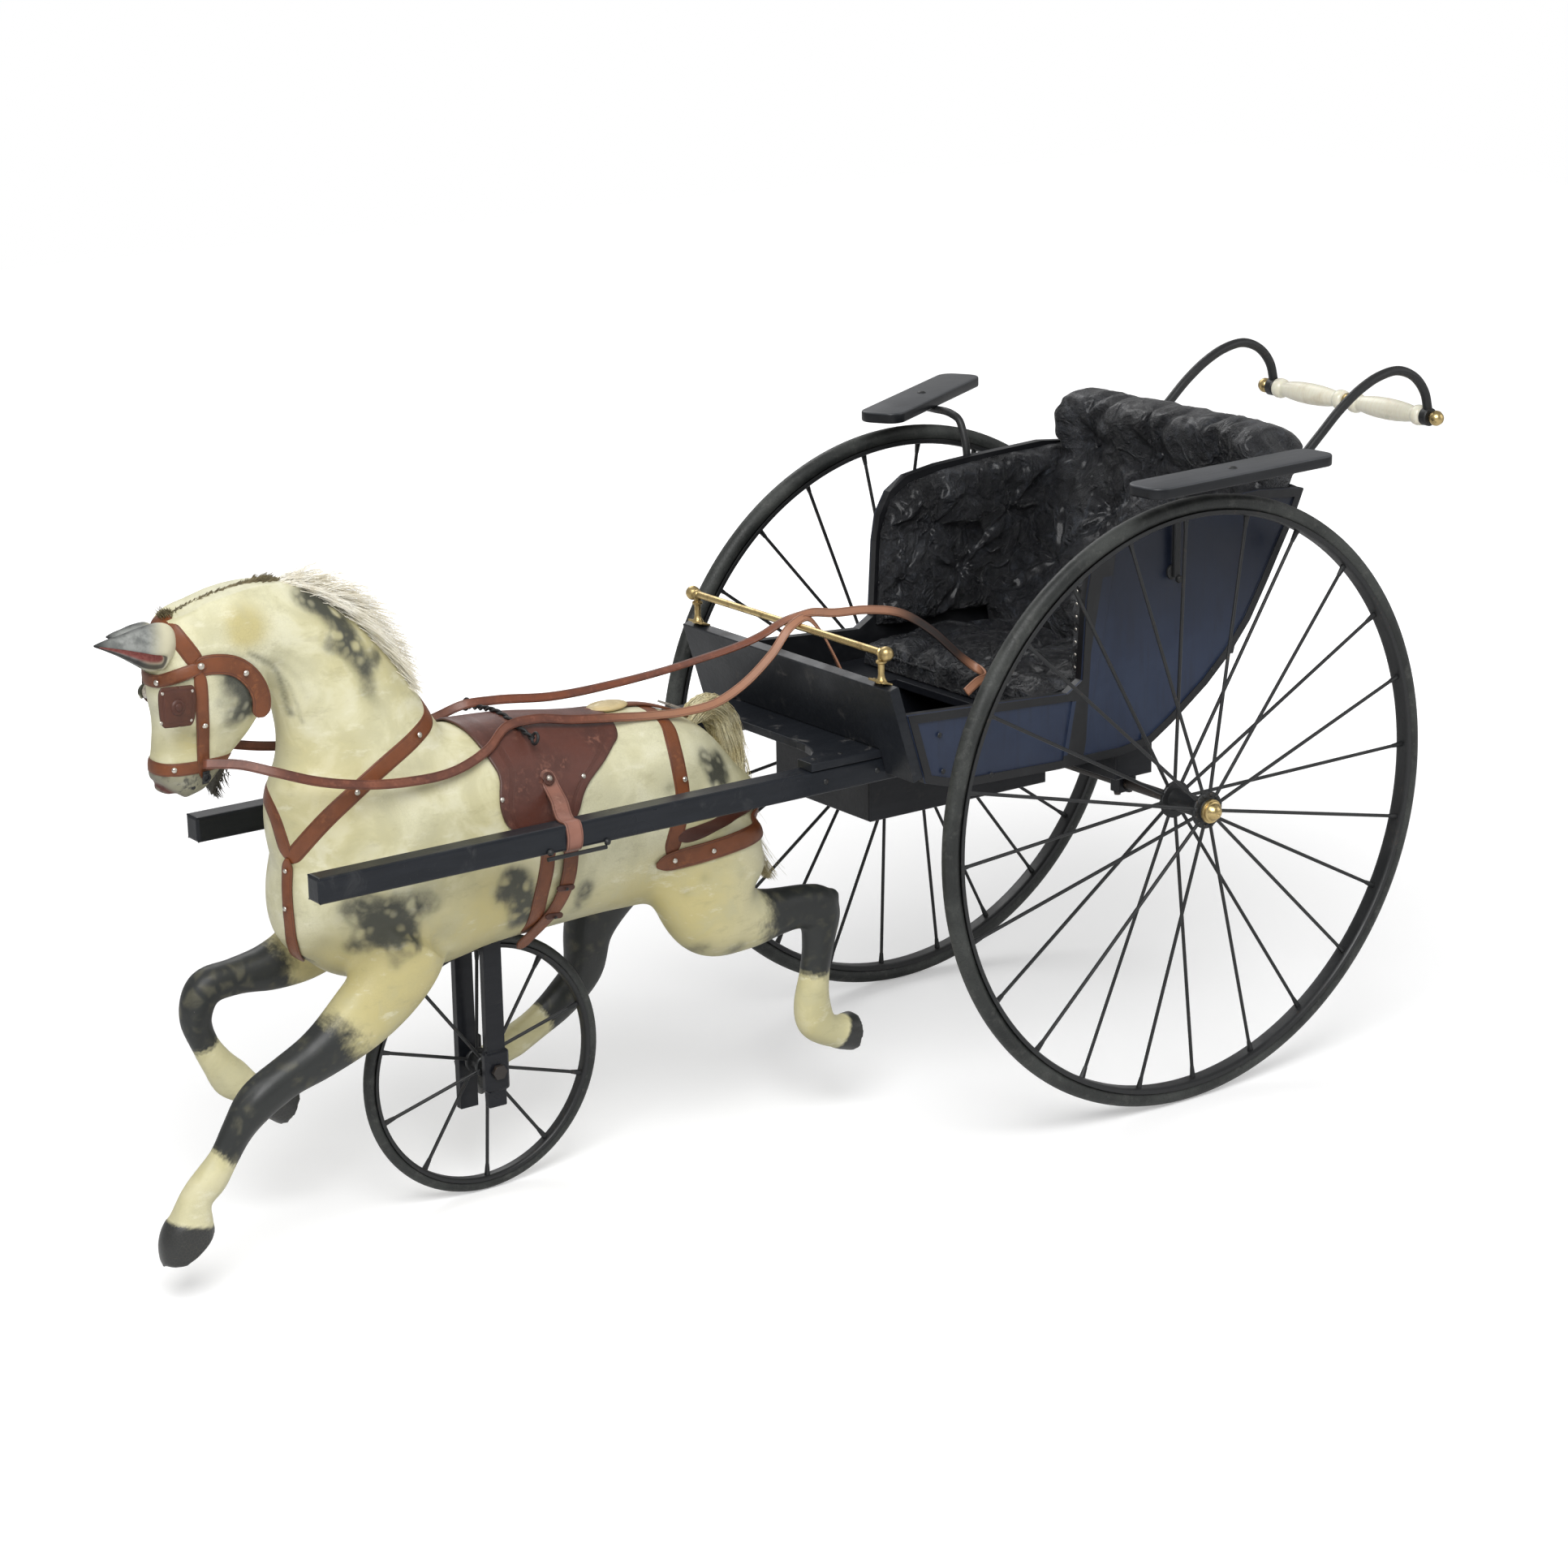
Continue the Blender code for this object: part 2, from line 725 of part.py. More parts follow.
def spoked_wheel(x, y, radius, tyre, spokes, hub_half, flange_half, flange_radius, hub_radius, bore, phase, steps):
    # Rim channel, spokes and hub as one solid, centred on the wheel's plane.
    seat = radius - 2 * tyre - GAP
    lip = seat + tyre * 0.35
    floor_half = tyre * 0.60
    outer_half = tyre * 1.02
    profile = [
        (seat - RIM_BASE, outer_half),
        (seat - RIM_BASE, -outer_half),
        (lip, -outer_half),
        (seat, -floor_half),
        (seat, floor_half),
        (lip, outer_half),
    ]
    wheel = turned(profile, (x, y, radius), steps=steps, closed=True)
    hub_profile = [
        (bore, hub_half),
        (bore, -hub_half),
        (hub_radius, -hub_half),
        (hub_radius, -flange_half - 0.002),
        (flange_radius, -flange_half - 0.002),
        (flange_radius, -flange_half + 0.002),
        (hub_radius, -flange_half + 0.002),
        (hub_radius, flange_half - 0.002),
        (flange_radius, flange_half - 0.002),
        (flange_radius, flange_half + 0.002),
        (hub_radius, flange_half + 0.002),
        (hub_radius, hub_half),
    ]
    hub = turned(hub_profile, (x, y, radius), steps=16, closed=True)
    pieces = [hub]
    for i in range(spokes):
        angle = phase + 2 * math.pi * i / spokes
        out = Vector((math.cos(angle), 0, math.sin(angle)))
        side = flange_half if (i % 2) == (y >= 0) else -flange_half
        foot = Vector((x, y + side, radius)) + out * (flange_radius - 0.0025)
        tip = Vector((x, y + side * 0.08, radius)) + out * (seat - RIM_BASE / 2)
        pieces.append(tube([foot, tip], SPOKE_RADIUS, 0))
    return union(wheel, *pieces)


def tyre_ring(x, y, radius, tyre, steps, sides=8):
    angles = [2 * math.pi * (i + 0.5) / sides for i in range(sides)]
    around = tyre / math.cos(math.pi / sides)
    profile = [(radius - tyre + around * math.cos(a), around * math.sin(a)) for a in angles]
    return turned(profile, (x, y, radius), steps=steps, closed=True)


def hub_cap(sign):
    cap = [
        (0.0, CAP_HEIGHT),
        (0.0045, CAP_HEIGHT - 0.001),
        (0.0090, CAP_HEIGHT - 0.0045),
        (CAP_RADIUS, 0.0035),
        (CAP_RADIUS, GAP),
        (0.0, GAP),
    ]
    obj = turned(cap, (0, 0, 0), steps=16)
    turn = Matrix.Translation((0, sign * HUB_OUTER, REAR_RADIUS))
    if sign < 0:
        turn = turn @ Matrix.Rotation(math.pi, 4, "X")
    obj.data.transform(turn)
    return obj


def make_rear_wheels():
    middle = (HUB_INNER + HUB_OUTER) / 2
    hub_half = (HUB_OUTER - HUB_INNER) / 2
    for name, sign in (("near", -1), ("off", 1)):
        phase = math.radians(2) + (0 if sign < 0 else math.pi / REAR_SPOKES)
        wheel = spoked_wheel(
            0,
            sign * middle,
            REAR_RADIUS,
            REAR_TYRE,
            REAR_SPOKES,
            hub_half,
            hub_half - 0.004,
            HUB_FLANGE_RADIUS,
            HUB_RADIUS,
            AXLE_RADIUS + BORE_GAP,
            phase,
            REAR_STEPS,
        )
        name_piece(wheel, f"{name}_rear_wheel", IRON)
        tyre = tyre_ring(0, sign * middle, REAR_RADIUS, REAR_TYRE, REAR_STEPS)
        name_piece(tyre, f"{name}_rear_tyre", RUBBER, 60)
        name_piece(hub_cap(sign), f"{name}_hub_cap", BRASS)


def make_rear_axle():
    end = HUB_OUTER - 0.001
    axle = cylinder(AXLE_RADIUS, -end, end, (0, 0, REAR_RADIUS))
    name_piece(axle, "rear_axle", IRON)


def make_front_wheel():
    wheel = spoked_wheel(
        FRONT_X,
        0,
        FRONT_RADIUS,
        FRONT_TYRE,
        FRONT_SPOKES,
        FRONT_HUB_HALF,
        0.009,
        0.0125,
        0.0085,
        FRONT_AXLE_RADIUS + BORE_GAP,
        math.radians(18),
        FRONT_STEPS,
    )
    name_piece(wheel, "front_wheel", IRON)
    tyre = tyre_ring(FRONT_X, 0, FRONT_RADIUS, FRONT_TYRE, FRONT_STEPS)
    name_piece(tyre, "front_tyre", RUBBER, 60)
    outer = POST_INNER + POST_THICKNESS + 0.002
    axle = cylinder(FRONT_AXLE_RADIUS, -outer - 0.004, outer + 0.004, (FRONT_X, 0, FRONT_RADIUS))
    for sign in (-1, 1):
        low, high = sorted((sign * (outer + GAP), sign * (outer + 0.0045)))
        axle = union(axle, cylinder(0.0075, low, high, (FRONT_X, 0, FRONT_RADIUS), steps=6))
    name_piece(axle, "front_axle", IRON)


def make_fork_posts():
    for name, bottom, shift in (("off", OFF_POST_BOTTOM, OFF_POST_SHIFT), ("near", NEAR_POST_BOTTOM, 0.0)):
        post = box(
            (FRONT_X + shift - POST_LENGTH_X / 2, -POST_INNER - POST_THICKNESS, bottom),
            (FRONT_X + shift + POST_LENGTH_X / 2, -POST_INNER, POST_TOP),
        )
        plate = box(
            (FRONT_X - 0.013, -POST_INNER - POST_THICKNESS - 0.002, FRONT_RADIUS - 0.020),
            (FRONT_X + 0.013, -POST_INNER - 0.001, FRONT_RADIUS + 0.020),
            0.002,
        )
        post = union(post, plate)
        bore = cylinder(FRONT_AXLE_RADIUS + BORE_GAP, -0.05, 0, (FRONT_X, 0, FRONT_RADIUS), steps=12)
        post = cut(post, bore)
        if name == "off":
            near_shape = post
            post = mirrored(near_shape, "off")
            bpy.data.objects.remove(near_shape, do_unlink=True)
        name_piece(post, f"{name}_fork_post", BLACK_PAINT)


# Horse

def head_and_neck(grow):
    neck = loft(NECK, grow=grow, sides=10, power=2.1)
    head = loft(HEAD, grow=grow, sides=10, steps=1, power=2.3)
    return union(neck, head)


def torso_loft(grow):
    return loft(TORSO, grow=grow, sides=12, power=2.2)


LEGS = {
    "near_foreleg": (NEAR_FORELEG, -LEG_Y),
    "off_foreleg": (OFF_FORELEG, LEG_Y),
    "near_hind_leg": (NEAR_HIND_LEG, -HIND_Y),
    "off_hind_leg": (OFF_HIND_LEG, HIND_Y),
}


def leg_loft(name, grow=0.0):
    stations, side = LEGS[name]
    return loft(stations, side, grow, sides=8, steps=1, power=2.2)


def horse_form(grow):
    # The whole outer shape of the horse, grown, which the harness and the hair lie on.
    form = union(torso_loft(grow), head_and_neck(grow))
    for name in LEGS:
        form = union(form, leg_loft(name, grow))
    return form


def arch_cutter():
    # The room in the belly for the top of the wheel, and the mortise for the two posts.
    arch = cylinder(FRONT_RADIUS + ARCH_GAP, -ARCH_HALF, ARCH_HALF, (FRONT_X, 0, FRONT_RADIUS), steps=40)
    outer = POST_INNER + POST_THICKNESS + GAP
    for low, high, shift in ((-outer, 0.001, 0.0), (-0.001, outer, OFF_POST_SHIFT)):
        mortise = box(
            (FRONT_X + shift - POST_LENGTH_X / 2 - GAP, low, FRONT_RADIUS + 0.03),
            (FRONT_X + shift + POST_LENGTH_X / 2 + GAP, high, POST_TOP + GAP),
        )
        arch = union(arch, mortise)
    return arch


def make_horse():
    torso_room = torso_loft(GAP)
    neck = cut(head_and_neck(0), copy_of(torso_room, "room"))
    neck_room = head_and_neck(GAP)
    for name in LEGS:
        leg = cut(leg_loft(name), copy_of(torso_room, "room"), copy_of(neck_room, "room"))
        name_piece(largest_piece(leg), name, COAT, 60)
    name_piece(largest_piece(neck), "horse_neck_head", COAT, 60)
    torso = cut(torso_loft(0), arch_cutter())
    name_piece(torso, "horse_torso", COAT, 60)
    bpy.data.objects.remove(torso_room, do_unlink=True)
    make_ears_and_eyes(neck_room)
    bpy.data.objects.remove(neck_room, do_unlink=True)


def ear_loft(name, grow=0.0):
    # The off ear is laid back and outwards, so that the near one hides it from the near side.
    back, sign = (0.0, -1) if name == "near" else (1.0, 1)
    rows = []
    for i, (x, z, depth, width) in enumerate(NEAR_EAR):
        share = back * i / (len(NEAR_EAR) - 1)
        rows.append((x + 0.025 * share, z - 0.012 * share, depth, width))
    return loft(rows, sign * EAR_SPREAD, grow, sides=8, steps=1)


def eye_ball(sign, grow=0.0):
    return ball(EYE_BALL + grow, (EYE_X, sign * EYE_Y, EYE_Z), 10)


def make_ears_and_eyes(room):
    for name, sign in (("near", -1), ("off", 1)):
        ear = cut(ear_loft(name), copy_of(room, "room"))
        name_piece(largest_piece(ear), f"{name}_ear", EAR_GREY, 60)
        eye = cut(eye_ball(sign), copy_of(room, "room"))
        name_piece(largest_piece(eye), f"{name}_eye", GLASS, 60)


def make_mane_and_tail():
    room = horse_form(GAP)
    crest = [
        (-0.866, 0.590),
        (-0.868, 0.616),
        (-0.840, 0.619),
        (-0.811, 0.611),
        (-0.786, 0.595),
        (-0.767, 0.576),
        (-0.754, 0.555),
        (-0.743, 0.528),
        (-0.750, 0.510),
        (-0.780, 0.520),
        (-0.830, 0.570),
    ]
    mane = cut(flat_piece([crest], -0.009, 0.009), room)
    name_piece(largest_piece(mane), "mane", HAIR)
    room = horse_form(GAP + LEATHER + 2 * GAP)
    tail = cut(loft(TAIL, sides=8), room)
    name_piece(largest_piece(tail), "tail", HAIR, 60)


# Harness

def band(start, end, width, reach=0.0):
    # A straight band in the side view, as an outline.
    first = Vector(start)
    second = Vector(end)
    way = (second - first).normalized()
    side = Vector((-way.y, way.x)) * width / 2
    first = first - way * reach
    second = second + way * reach
    return [tuple(first + side), tuple(second + side), tuple(second - side), tuple(first - side)]


def through(outline, half=0.12):
    return flat_piece([outline], -half, half)


SADDLE = [
    (-0.702, 0.500),
    (-0.697, 0.446),
    (-0.692, 0.405),
    (-0.682, 0.374),
    (-0.668, 0.363),
    (-0.650, 0.360),
    (-0.625, 0.363),
    (-0.608, 0.372),
    (-0.599, 0.388),
    (-0.590, 0.410),
    (-0.570, 0.432),
    (-0.560, 0.445),
    (-0.556, 0.500),
]


def leather_on(outer, room, footprint):
    # A skin of leather on the horse, in the shape of a footprint.
    piece = overlap(footprint, copy_of(outer, "outer"))
    return largest_piece(cut(piece, copy_of(room, "room")))


def make_harness():
    room = horse_form(GAP)
    outer = horse_form(GAP + LEATHER)
    name_piece(leather_on(outer, room, through(SADDLE)), "saddle", TAN)
    crupper = box((-0.5545, -0.0065, 0.36), (-0.4645, 0.0065, 0.50))
    name_piece(leather_on(outer, room, crupper), "crupper_strap", TAN)
    make_breast_strap(outer, room)
    make_breeching(outer, room)
    make_bridle(outer, room)
    for used in (room, outer):
        bpy.data.objects.remove(used, do_unlink=True)
    make_girth_straps()
    make_terret_bar()


def make_breast_strap(outer, room):
    strap = through(band((-0.735, 0.500), (-0.893, 0.366), 0.016, 0.030))
    centre = box((-0.920, -0.008, 0.262), (-0.800, 0.008, 0.372))
    name_piece(leather_on(outer, room, union(strap, centre)), "breast_strap", TAN)


def make_breeching(outer, room):
    hip = through(band((-0.448, 0.440), (-0.494, 0.340), 0.016))
    lower = through(band((-0.494, 0.350), (-0.512, 0.306), 0.015))
    seat = through(band((-0.522, 0.3125), (-0.352, 0.2975), 0.018, 0.004))
    dock = box((-0.462, -0.0065, 0.385), (-0.412, 0.0065, 0.50))
    footprint = union(hip, lower, seat, dock)
    name_piece(leather_on(outer, room, footprint), "breeching", TAN)


def make_bridle(outer, room):
    cheek = band((-0.948, 0.562), (-0.951, 0.452), 0.0105)
    footprint = through(cheek)
    for strap in (
        band((-0.966, 0.612), (-0.947, 0.556), 0.012),
        band((-0.998, 0.5455), (-0.944, 0.5600), 0.0105),
        band((-0.990, 0.4700), (-0.910, 0.4600), 0.0105),
    ):
        footprint = union(footprint, through(strap))
    jowl = [(-0.950, 0.5625), (-0.925, 0.5650), (-0.903, 0.5560), (-0.890, 0.5340), (-0.888, 0.5080)]
    run = [tuple(row[:2]) for row in smooth_rows([(x, z, 0) for x, z in jowl], 3)]
    footprint = union(footprint, through(ribbon_outline(run, 0.0115)))
    for name, sign in (("near", -1), ("off", 1)):
        footprint = cut(footprint, ear_loft(name, GAP), eye_ball(sign, GAP))
    name_piece(leather_on(outer, room, footprint), "bridle", TAN)
    for name, side, flare in (("near_blinker", -0.0390, 14), ("off_blinker", 0.0390, -8)):
        plate = box((-0.038, -0.0015, -0.019), (0.0, 0.0015, 0.019), 0.0006)
        turn = math.radians(-math.copysign(flare, side * flare))
        lean = Matrix.Rotation(turn, 4, "Z") @ Matrix.Rotation(math.radians(8), 4, "Y")
        plate.data.transform(Matrix.Translation((-0.9535, side, 0.5285)) @ lean)
        name_piece(plate, name, TAN)


def torso_section(x):
    rows = smooth_rows([(px, 0, pz, depth, width) for px, pz, depth, width in TORSO], 2)
    middle, depth, width = (float(np.interp(x, rows[:, 0], rows[:, column])) for column in (2, 3, 4))
    return middle, depth, width


def make_girth_straps():
    # Each runs from the saddle over, outside and under its shaft and back to the belly.
    x = -0.638
    half = 0.0085
    middle, depth, width = torso_section(x)
    out = GAP + LEATHER + 2 * GAP + STRAP / 2
    skin = 4 * GAP + STRAP / 2

    def on_side(height, reach):
        share = min(1, abs(height - middle) / (depth + reach))
        return (width + reach) * (1 - share**2.2) ** (1 / 2.2)

    over = SHAFT_BOTTOM + SHAFT_DEPTH + GAP + STRAP / 2
    under = SHAFT_BOTTOM - GAP - STRAP / 2
    outside = SHAFT_INNER + SHAFT_WIDTH + GAP + STRAP / 2
    path = [(-on_side(height, out), height) for height in (0.428, 0.419, 0.410)]
    path += [(-SHAFT_INNER, over + 0.001), (-outside, over), (-outside, under), (-SHAFT_INNER - 0.004, under)]
    for degrees in range(12, 76, 9):
        along, across = side_shape(math.radians(degrees), 2.2)
        path.append((-(width + skin) * along, middle - (depth + skin) * across))
    strap = flat_piece([ribbon_outline(path, STRAP)], x - half, x + half, "YZ")
    name_piece(mirrored(strap, "off"), "off_girth_strap", TAN)
    name_piece(strap, "near_girth_strap", TAN)


def ring_points(centre, radius, start, turns=0.93, count=10):
    x, y, z = centre
    angles = [start + 2 * math.pi * turns * i / count for i in range(count + 1)]
    return [(x, y + radius * math.cos(a), z + radius * math.sin(a)) for a in angles]


def make_terret_bar():
    middle, depth, _ = torso_section(-0.634)
    top = middle + depth + GAP + LEATHER + GAP + 0.0016
    near = ring_points((-0.631, -0.050, top - 0.010), 0.0055, 0.4)
    off = ring_points((-0.639, 0.050, top - 0.004), 0.0055, math.pi - 0.4 - 2 * math.pi * 0.93)
    bar = [(-0.632, -0.036, top - 0.005), (-0.634, -0.018, top), (-0.635, 0.0, top), (-0.637, 0.018, top)]
    bar += [(-0.638, 0.036, top - 0.001)]
    wire = tube(near[::-1] + bar + off[::-1], 0.0014, 1)
    name_piece(wire, "terret_bar", IRON)


def make_reins():
    for name, route in (("near_rein", NEAR_REIN), ("off_rein", OFF_REIN)):
        places = np.array(route)
        ways = np.gradient(places, axis=0)
        shape = bmesh.new()
        rings = []
        for place, way in zip(places, ways):
            way = Vector(way).normalized()
            lie = Vector((0, 1, 0)) if abs(way.x) > 0.5 and place[0] > -0.42 else Vector((0, 0.45, 0.9))
            across = (lie - way * lie.dot(way)).normalized()
            up = way.cross(across)
            corners = ((-1, -1), (1, -1), (1, 1), (-1, 1))
            ring = []
            for u, v in corners:
                corner = Vector(place) + across * u * REIN_WIDTH / 2 + up * v * REIN_THICKNESS / 2
                ring.append(shape.verts.new(corner))
            rings.append(ring)
        for low, high in zip(rings, rings[1:]):
            for i in range(4):
                j = (i + 1) % 4
                shape.faces.new((low[i], low[j], high[j], high[i]))
        shape.faces.new(rings[0])
        shape.faces.new(rings[-1])
        bmesh.ops.recalc_face_normals(shape, faces=shape.faces)
        mesh = bpy.data.meshes.new(name)
        shape.to_mesh(mesh)
        shape.free()
        name_piece(add_object(name, mesh), name, TAN)


# Gig

def make_shafts():
    top = SHAFT_BOTTOM + SHAFT_DEPTH
    shaft = box((SHAFT_TIP, -SHAFT_INNER - SHAFT_WIDTH, SHAFT_BOTTOM), (SHAFT_END, -SHAFT_INNER, top), 0.0012)
    name_piece(mirrored(shaft, "off"), "off_shaft", BLACK_PAINT, 30)
    name_piece(shaft, "near_shaft", BLACK_PAINT, 30)


def footboard_outline():
    outer = SHAFT_INNER + SHAFT_WIDTH + 0.0015
    horn = FOOTBOARD_FRONT - FOOTBOARD_HORN
    half = [(FOOTBOARD_FRONT, 0.0), (FOOTBOARD_FRONT, 0.052)]
    reach = SHAFT_INNER - 0.052
    for i in range(1, 6):
        angle = math.pi / 2 * i / 5
        half.append((FOOTBOARD_FRONT - (FOOTBOARD_HORN - 0.010) * (1 - math.cos(angle)), 0.052 + reach * math.sin(angle)))
    half += [(horn, SHAFT_INNER), (horn, outer), (FLOOR_FRONT - GAP, outer)]
    return half + [(x, -y) for x, y in reversed(half[1:])]


def make_boards():
    top = SHAFT_BOTTOM + SHAFT_DEPTH + GAP
    board = flat_piece([footboard_outline()], top, top + FLOOR_THICKNESS, "XY")
    name_piece(board, "footboard", BLACK_PAINT, 30)
    inner = BODY_HALF - PANEL_THICKNESS - GAP
    floor = box((FLOOR_FRONT, -inner, top), (FLOOR_REAR, inner, top + FLOOR_THICKNESS))
    mouth = WELL_HALF - WELL_WALL
    hole = box((WELL_FRONT + WELL_WALL, -mouth, top - 0.01), (WELL_MOUTH_REAR, mouth, top + 0.02))
    name_piece(cut(floor, hole), "body_floor", BLACK_PAINT, 30)
    well = box((WELL_FRONT, -WELL_HALF, WELL_BOTTOM), (WELL_REAR, WELL_HALF, top - GAP), 0.001)
    room = box(
        (WELL_FRONT + WELL_WALL, -mouth, WELL_BOTTOM + WELL_WALL), (WELL_REAR - WELL_WALL, mouth, top + 0.02)
    )
    name_piece(cut(well, room), "foot_well", BLACK_PAINT, 30)


def make_axle_beam():
    beam = box((BEAM_FRONT, -BEAM_HALF, BEAM_BOTTOM), (BEAM_REAR, BEAM_HALF, SHAFT_BOTTOM - GAP), 0.001)
    for y in (-CLIP_Y, CLIP_Y):
        low = (-0.011, y - CLIP_WIDTH / 2, REAR_RADIUS - AXLE_RADIUS - 0.003)
        beam = union(beam, box(low, (0.011, y + CLIP_WIDTH / 2, BEAM_BOTTOM + 0.002)))
    bore = cylinder(AXLE_RADIUS + GAP, -BEAM_HALF, BEAM_HALF, (0, 0, REAR_RADIUS), steps=20)
    name_piece(cut(beam, bore), "axle_beam", BLACK_PAINT, 30)


def panel_outline():
    # The dash lies on the front edge, so the panel starts behind it.
    low_front = dash_line(DASH_THICKNESS + GAP, 0.3635)
    high_front = dash_line(DASH_THICKNESS + GAP, 0.4330)
    return [
        low_front,
        *PANEL_BOTTOM,
        *REAR_CURVE,
        *WING_TOP,
        WING_FRONT_TOP,
        WING_FRONT_LOW,
        *LOW_RAIL,
        high_front,
    ]


def dash_line(behind, height):
    # A point of the dash's slope, some way behind its front face.
    way = Vector(DASH_TOP) - Vector(DASH_BOTTOM)
    square = Vector((way.y, -way.x)).normalized() * behind
    share = (height - DASH_BOTTOM[1] - square.y) / way.y
    return (DASH_BOTTOM[0] + square.x + way.x * share, height)


def make_side_panels():
    outline = panel_outline()
    inner = BODY_HALF - PANEL_THICKNESS
    board = flat_piece([outline], -BODY_HALF, -inner)
    split = ((MOULDING_FOOT_X, PANEL_BOTTOM[0][1]), WING_FRONT_LOW)
    behind = ((split[0][0] + MOULDING_WIDTH, split[0][1]), (split[1][0] + MOULDING_WIDTH, split[1][1]))
    low_run, high_run = PANEL_BOTTOM[1][1], LOW_RAIL[0][1]
    slope = (split[1][0] - split[0][0]) / (split[1][1] - split[0][1])
    post = [(split[0][0] + slope * (z - split[0][1]), z) for z in (low_run, high_run)]
    front_field = [outline[0], *PANEL_BOTTOM[:2], *post, LOW_RAIL[1], outline[-1]]
    front_window = inset(front_field, MOULDING_WIDTH)
    rear_window = inset(clip(outline, behind, -1), MOULDING_WIDTH)
    rim = inset(outline, GAP)
    frame = flat_piece([rim, front_window, rear_window], -BODY_HALF - MOULDING_HEIGHT, -BODY_HALF + 0.0005)
    panel = union(board, frame)
    name_piece(mirrored(panel, "off"), "off_side_panel", BLUE_PAINT, 30)
    name_piece(panel, "near_side_panel", BLUE_PAINT, 30)


def make_dashboard():
    way = (Vector(DASH_TOP) - Vector(DASH_BOTTOM)).normalized()
    square = Vector((way.y, -way.x)) * DASH_THICKNESS
    corners = [Vector(DASH_BOTTOM), Vector(DASH_TOP), Vector(DASH_TOP) + square, Vector(DASH_BOTTOM) + square]
    dash = flat_piece([[tuple(corner) for corner in corners]], -BODY_HALF, BODY_HALF)
    top = SHAFT_BOTTOM + SHAFT_DEPTH + FLOOR_THICKNESS + 2 * GAP
    reach = SHAFT_INNER + SHAFT_WIDTH + 0.0015 + GAP
    dash = cut(dash, box((-0.40, -reach, 0.30), (-0.20, reach, top)))
    dash = cut(dash, box((FLOOR_FRONT - GAP, -0.2, 0.30), (-0.20, 0.2, top)))
    name_piece(dash, "dashboard", BLACK_PAINT, 30)


def make_back_panel():
    inner = BODY_HALF - PANEL_THICKNESS - GAP
    front = offset_line(REAR_CURVE, BACK_THICKNESS)
    panel = flat_piece([REAR_CURVE + front[::-1]], -inner, inner)
    top = SHAFT_BOTTOM + SHAFT_DEPTH + FLOOR_THICKNESS + 2 * GAP
    panel = cut(panel, box((-0.1, -0.2, 0.30), (FLOOR_REAR + GAP, 0.2, top)))
    name_piece(panel, "back_panel", BLACK_PAINT, 30)


# Upholstery

def dip(u, v, tufts, spread):
    # Buttons pull the leather down in round hollows with short creases between them.
    depth = 0.0
    for tu, tv, scale_u, scale_v in tufts:
        distance = math.hypot((u - tu) * scale_u, (v - tv) * scale_v)
        depth = max(depth, math.exp(-((distance / spread) ** 1.3)))
    return depth


def padded_sheet(place, columns, rows, flat_back):
    # A closed pad over a grid: place gives the back and the front point at (u, v) in 0..1.
    shape = bmesh.new()
    front = []
    back = []
    for j in range(rows + 1):
        front_row = []
        back_row = []
        for i in range(columns + 1):
            low, high = place(i / columns, j / rows)
            front_row.append(shape.verts.new(high))
            edge = i in (0, columns) or j in (0, rows)
            back_row.append(shape.verts.new(low) if edge else None)
        front.append(front_row)
        back.append(back_row)
    for j in range(rows):
        for i in range(columns):
            shape.faces.new((front[j][i], front[j][i + 1], front[j + 1][i + 1], front[j + 1][i]))
    for i in range(columns):
        shape.faces.new((front[0][i], back[0][i], back[0][i + 1], front[0][i + 1]))
        shape.faces.new((front[rows][i], front[rows][i + 1], back[rows][i + 1], back[rows][i]))
    for j in range(rows):
        shape.faces.new((front[j][0], front[j + 1][0], back[j + 1][0], back[j][0]))
        shape.faces.new((front[j][columns], back[j][columns], back[j + 1][columns], front[j + 1][columns]))
    if flat_back:
        ring = back[0][:]
        ring += [back[j][columns] for j in range(1, rows + 1)]
        ring += back[rows][columns - 1 :: -1]
        ring += [back[j][0] for j in range(rows - 1, 0, -1)]
        shape.faces.new(ring)
    else:
        first = [*back[0], back[1][columns], back[1][0]]
        last = [*back[rows], back[rows - 1][columns], back[rows - 1][0]]
        shape.faces.new(first)
        shape.faces.new(last)
        for j in range(1, rows - 1):
            shape.faces.new((back[j][0], back[j][columns], back[j + 1][columns], back[j + 1][0]))
    bmesh.ops.recalc_face_normals(shape, faces=shape.faces)
    bmesh.ops.triangulate(shape, faces=shape.faces)
    mesh = bpy.data.meshes.new("pad")
    shape.to_mesh(mesh)
    shape.free()
    return add_object("pad", mesh)


def edge_rise(u, v, edge_u, edge_v):
    # 0 at the seam, 1 over the pad, rounded like a stuffed edge.
    reach = min(1.0, min(u, 1 - u) / edge_u)
    climb = min(1.0, min(v, 1 - v) / edge_v)
    return math.sqrt(1 - (1 - reach) ** 2) * math.sqrt(1 - (1 - climb) ** 2)


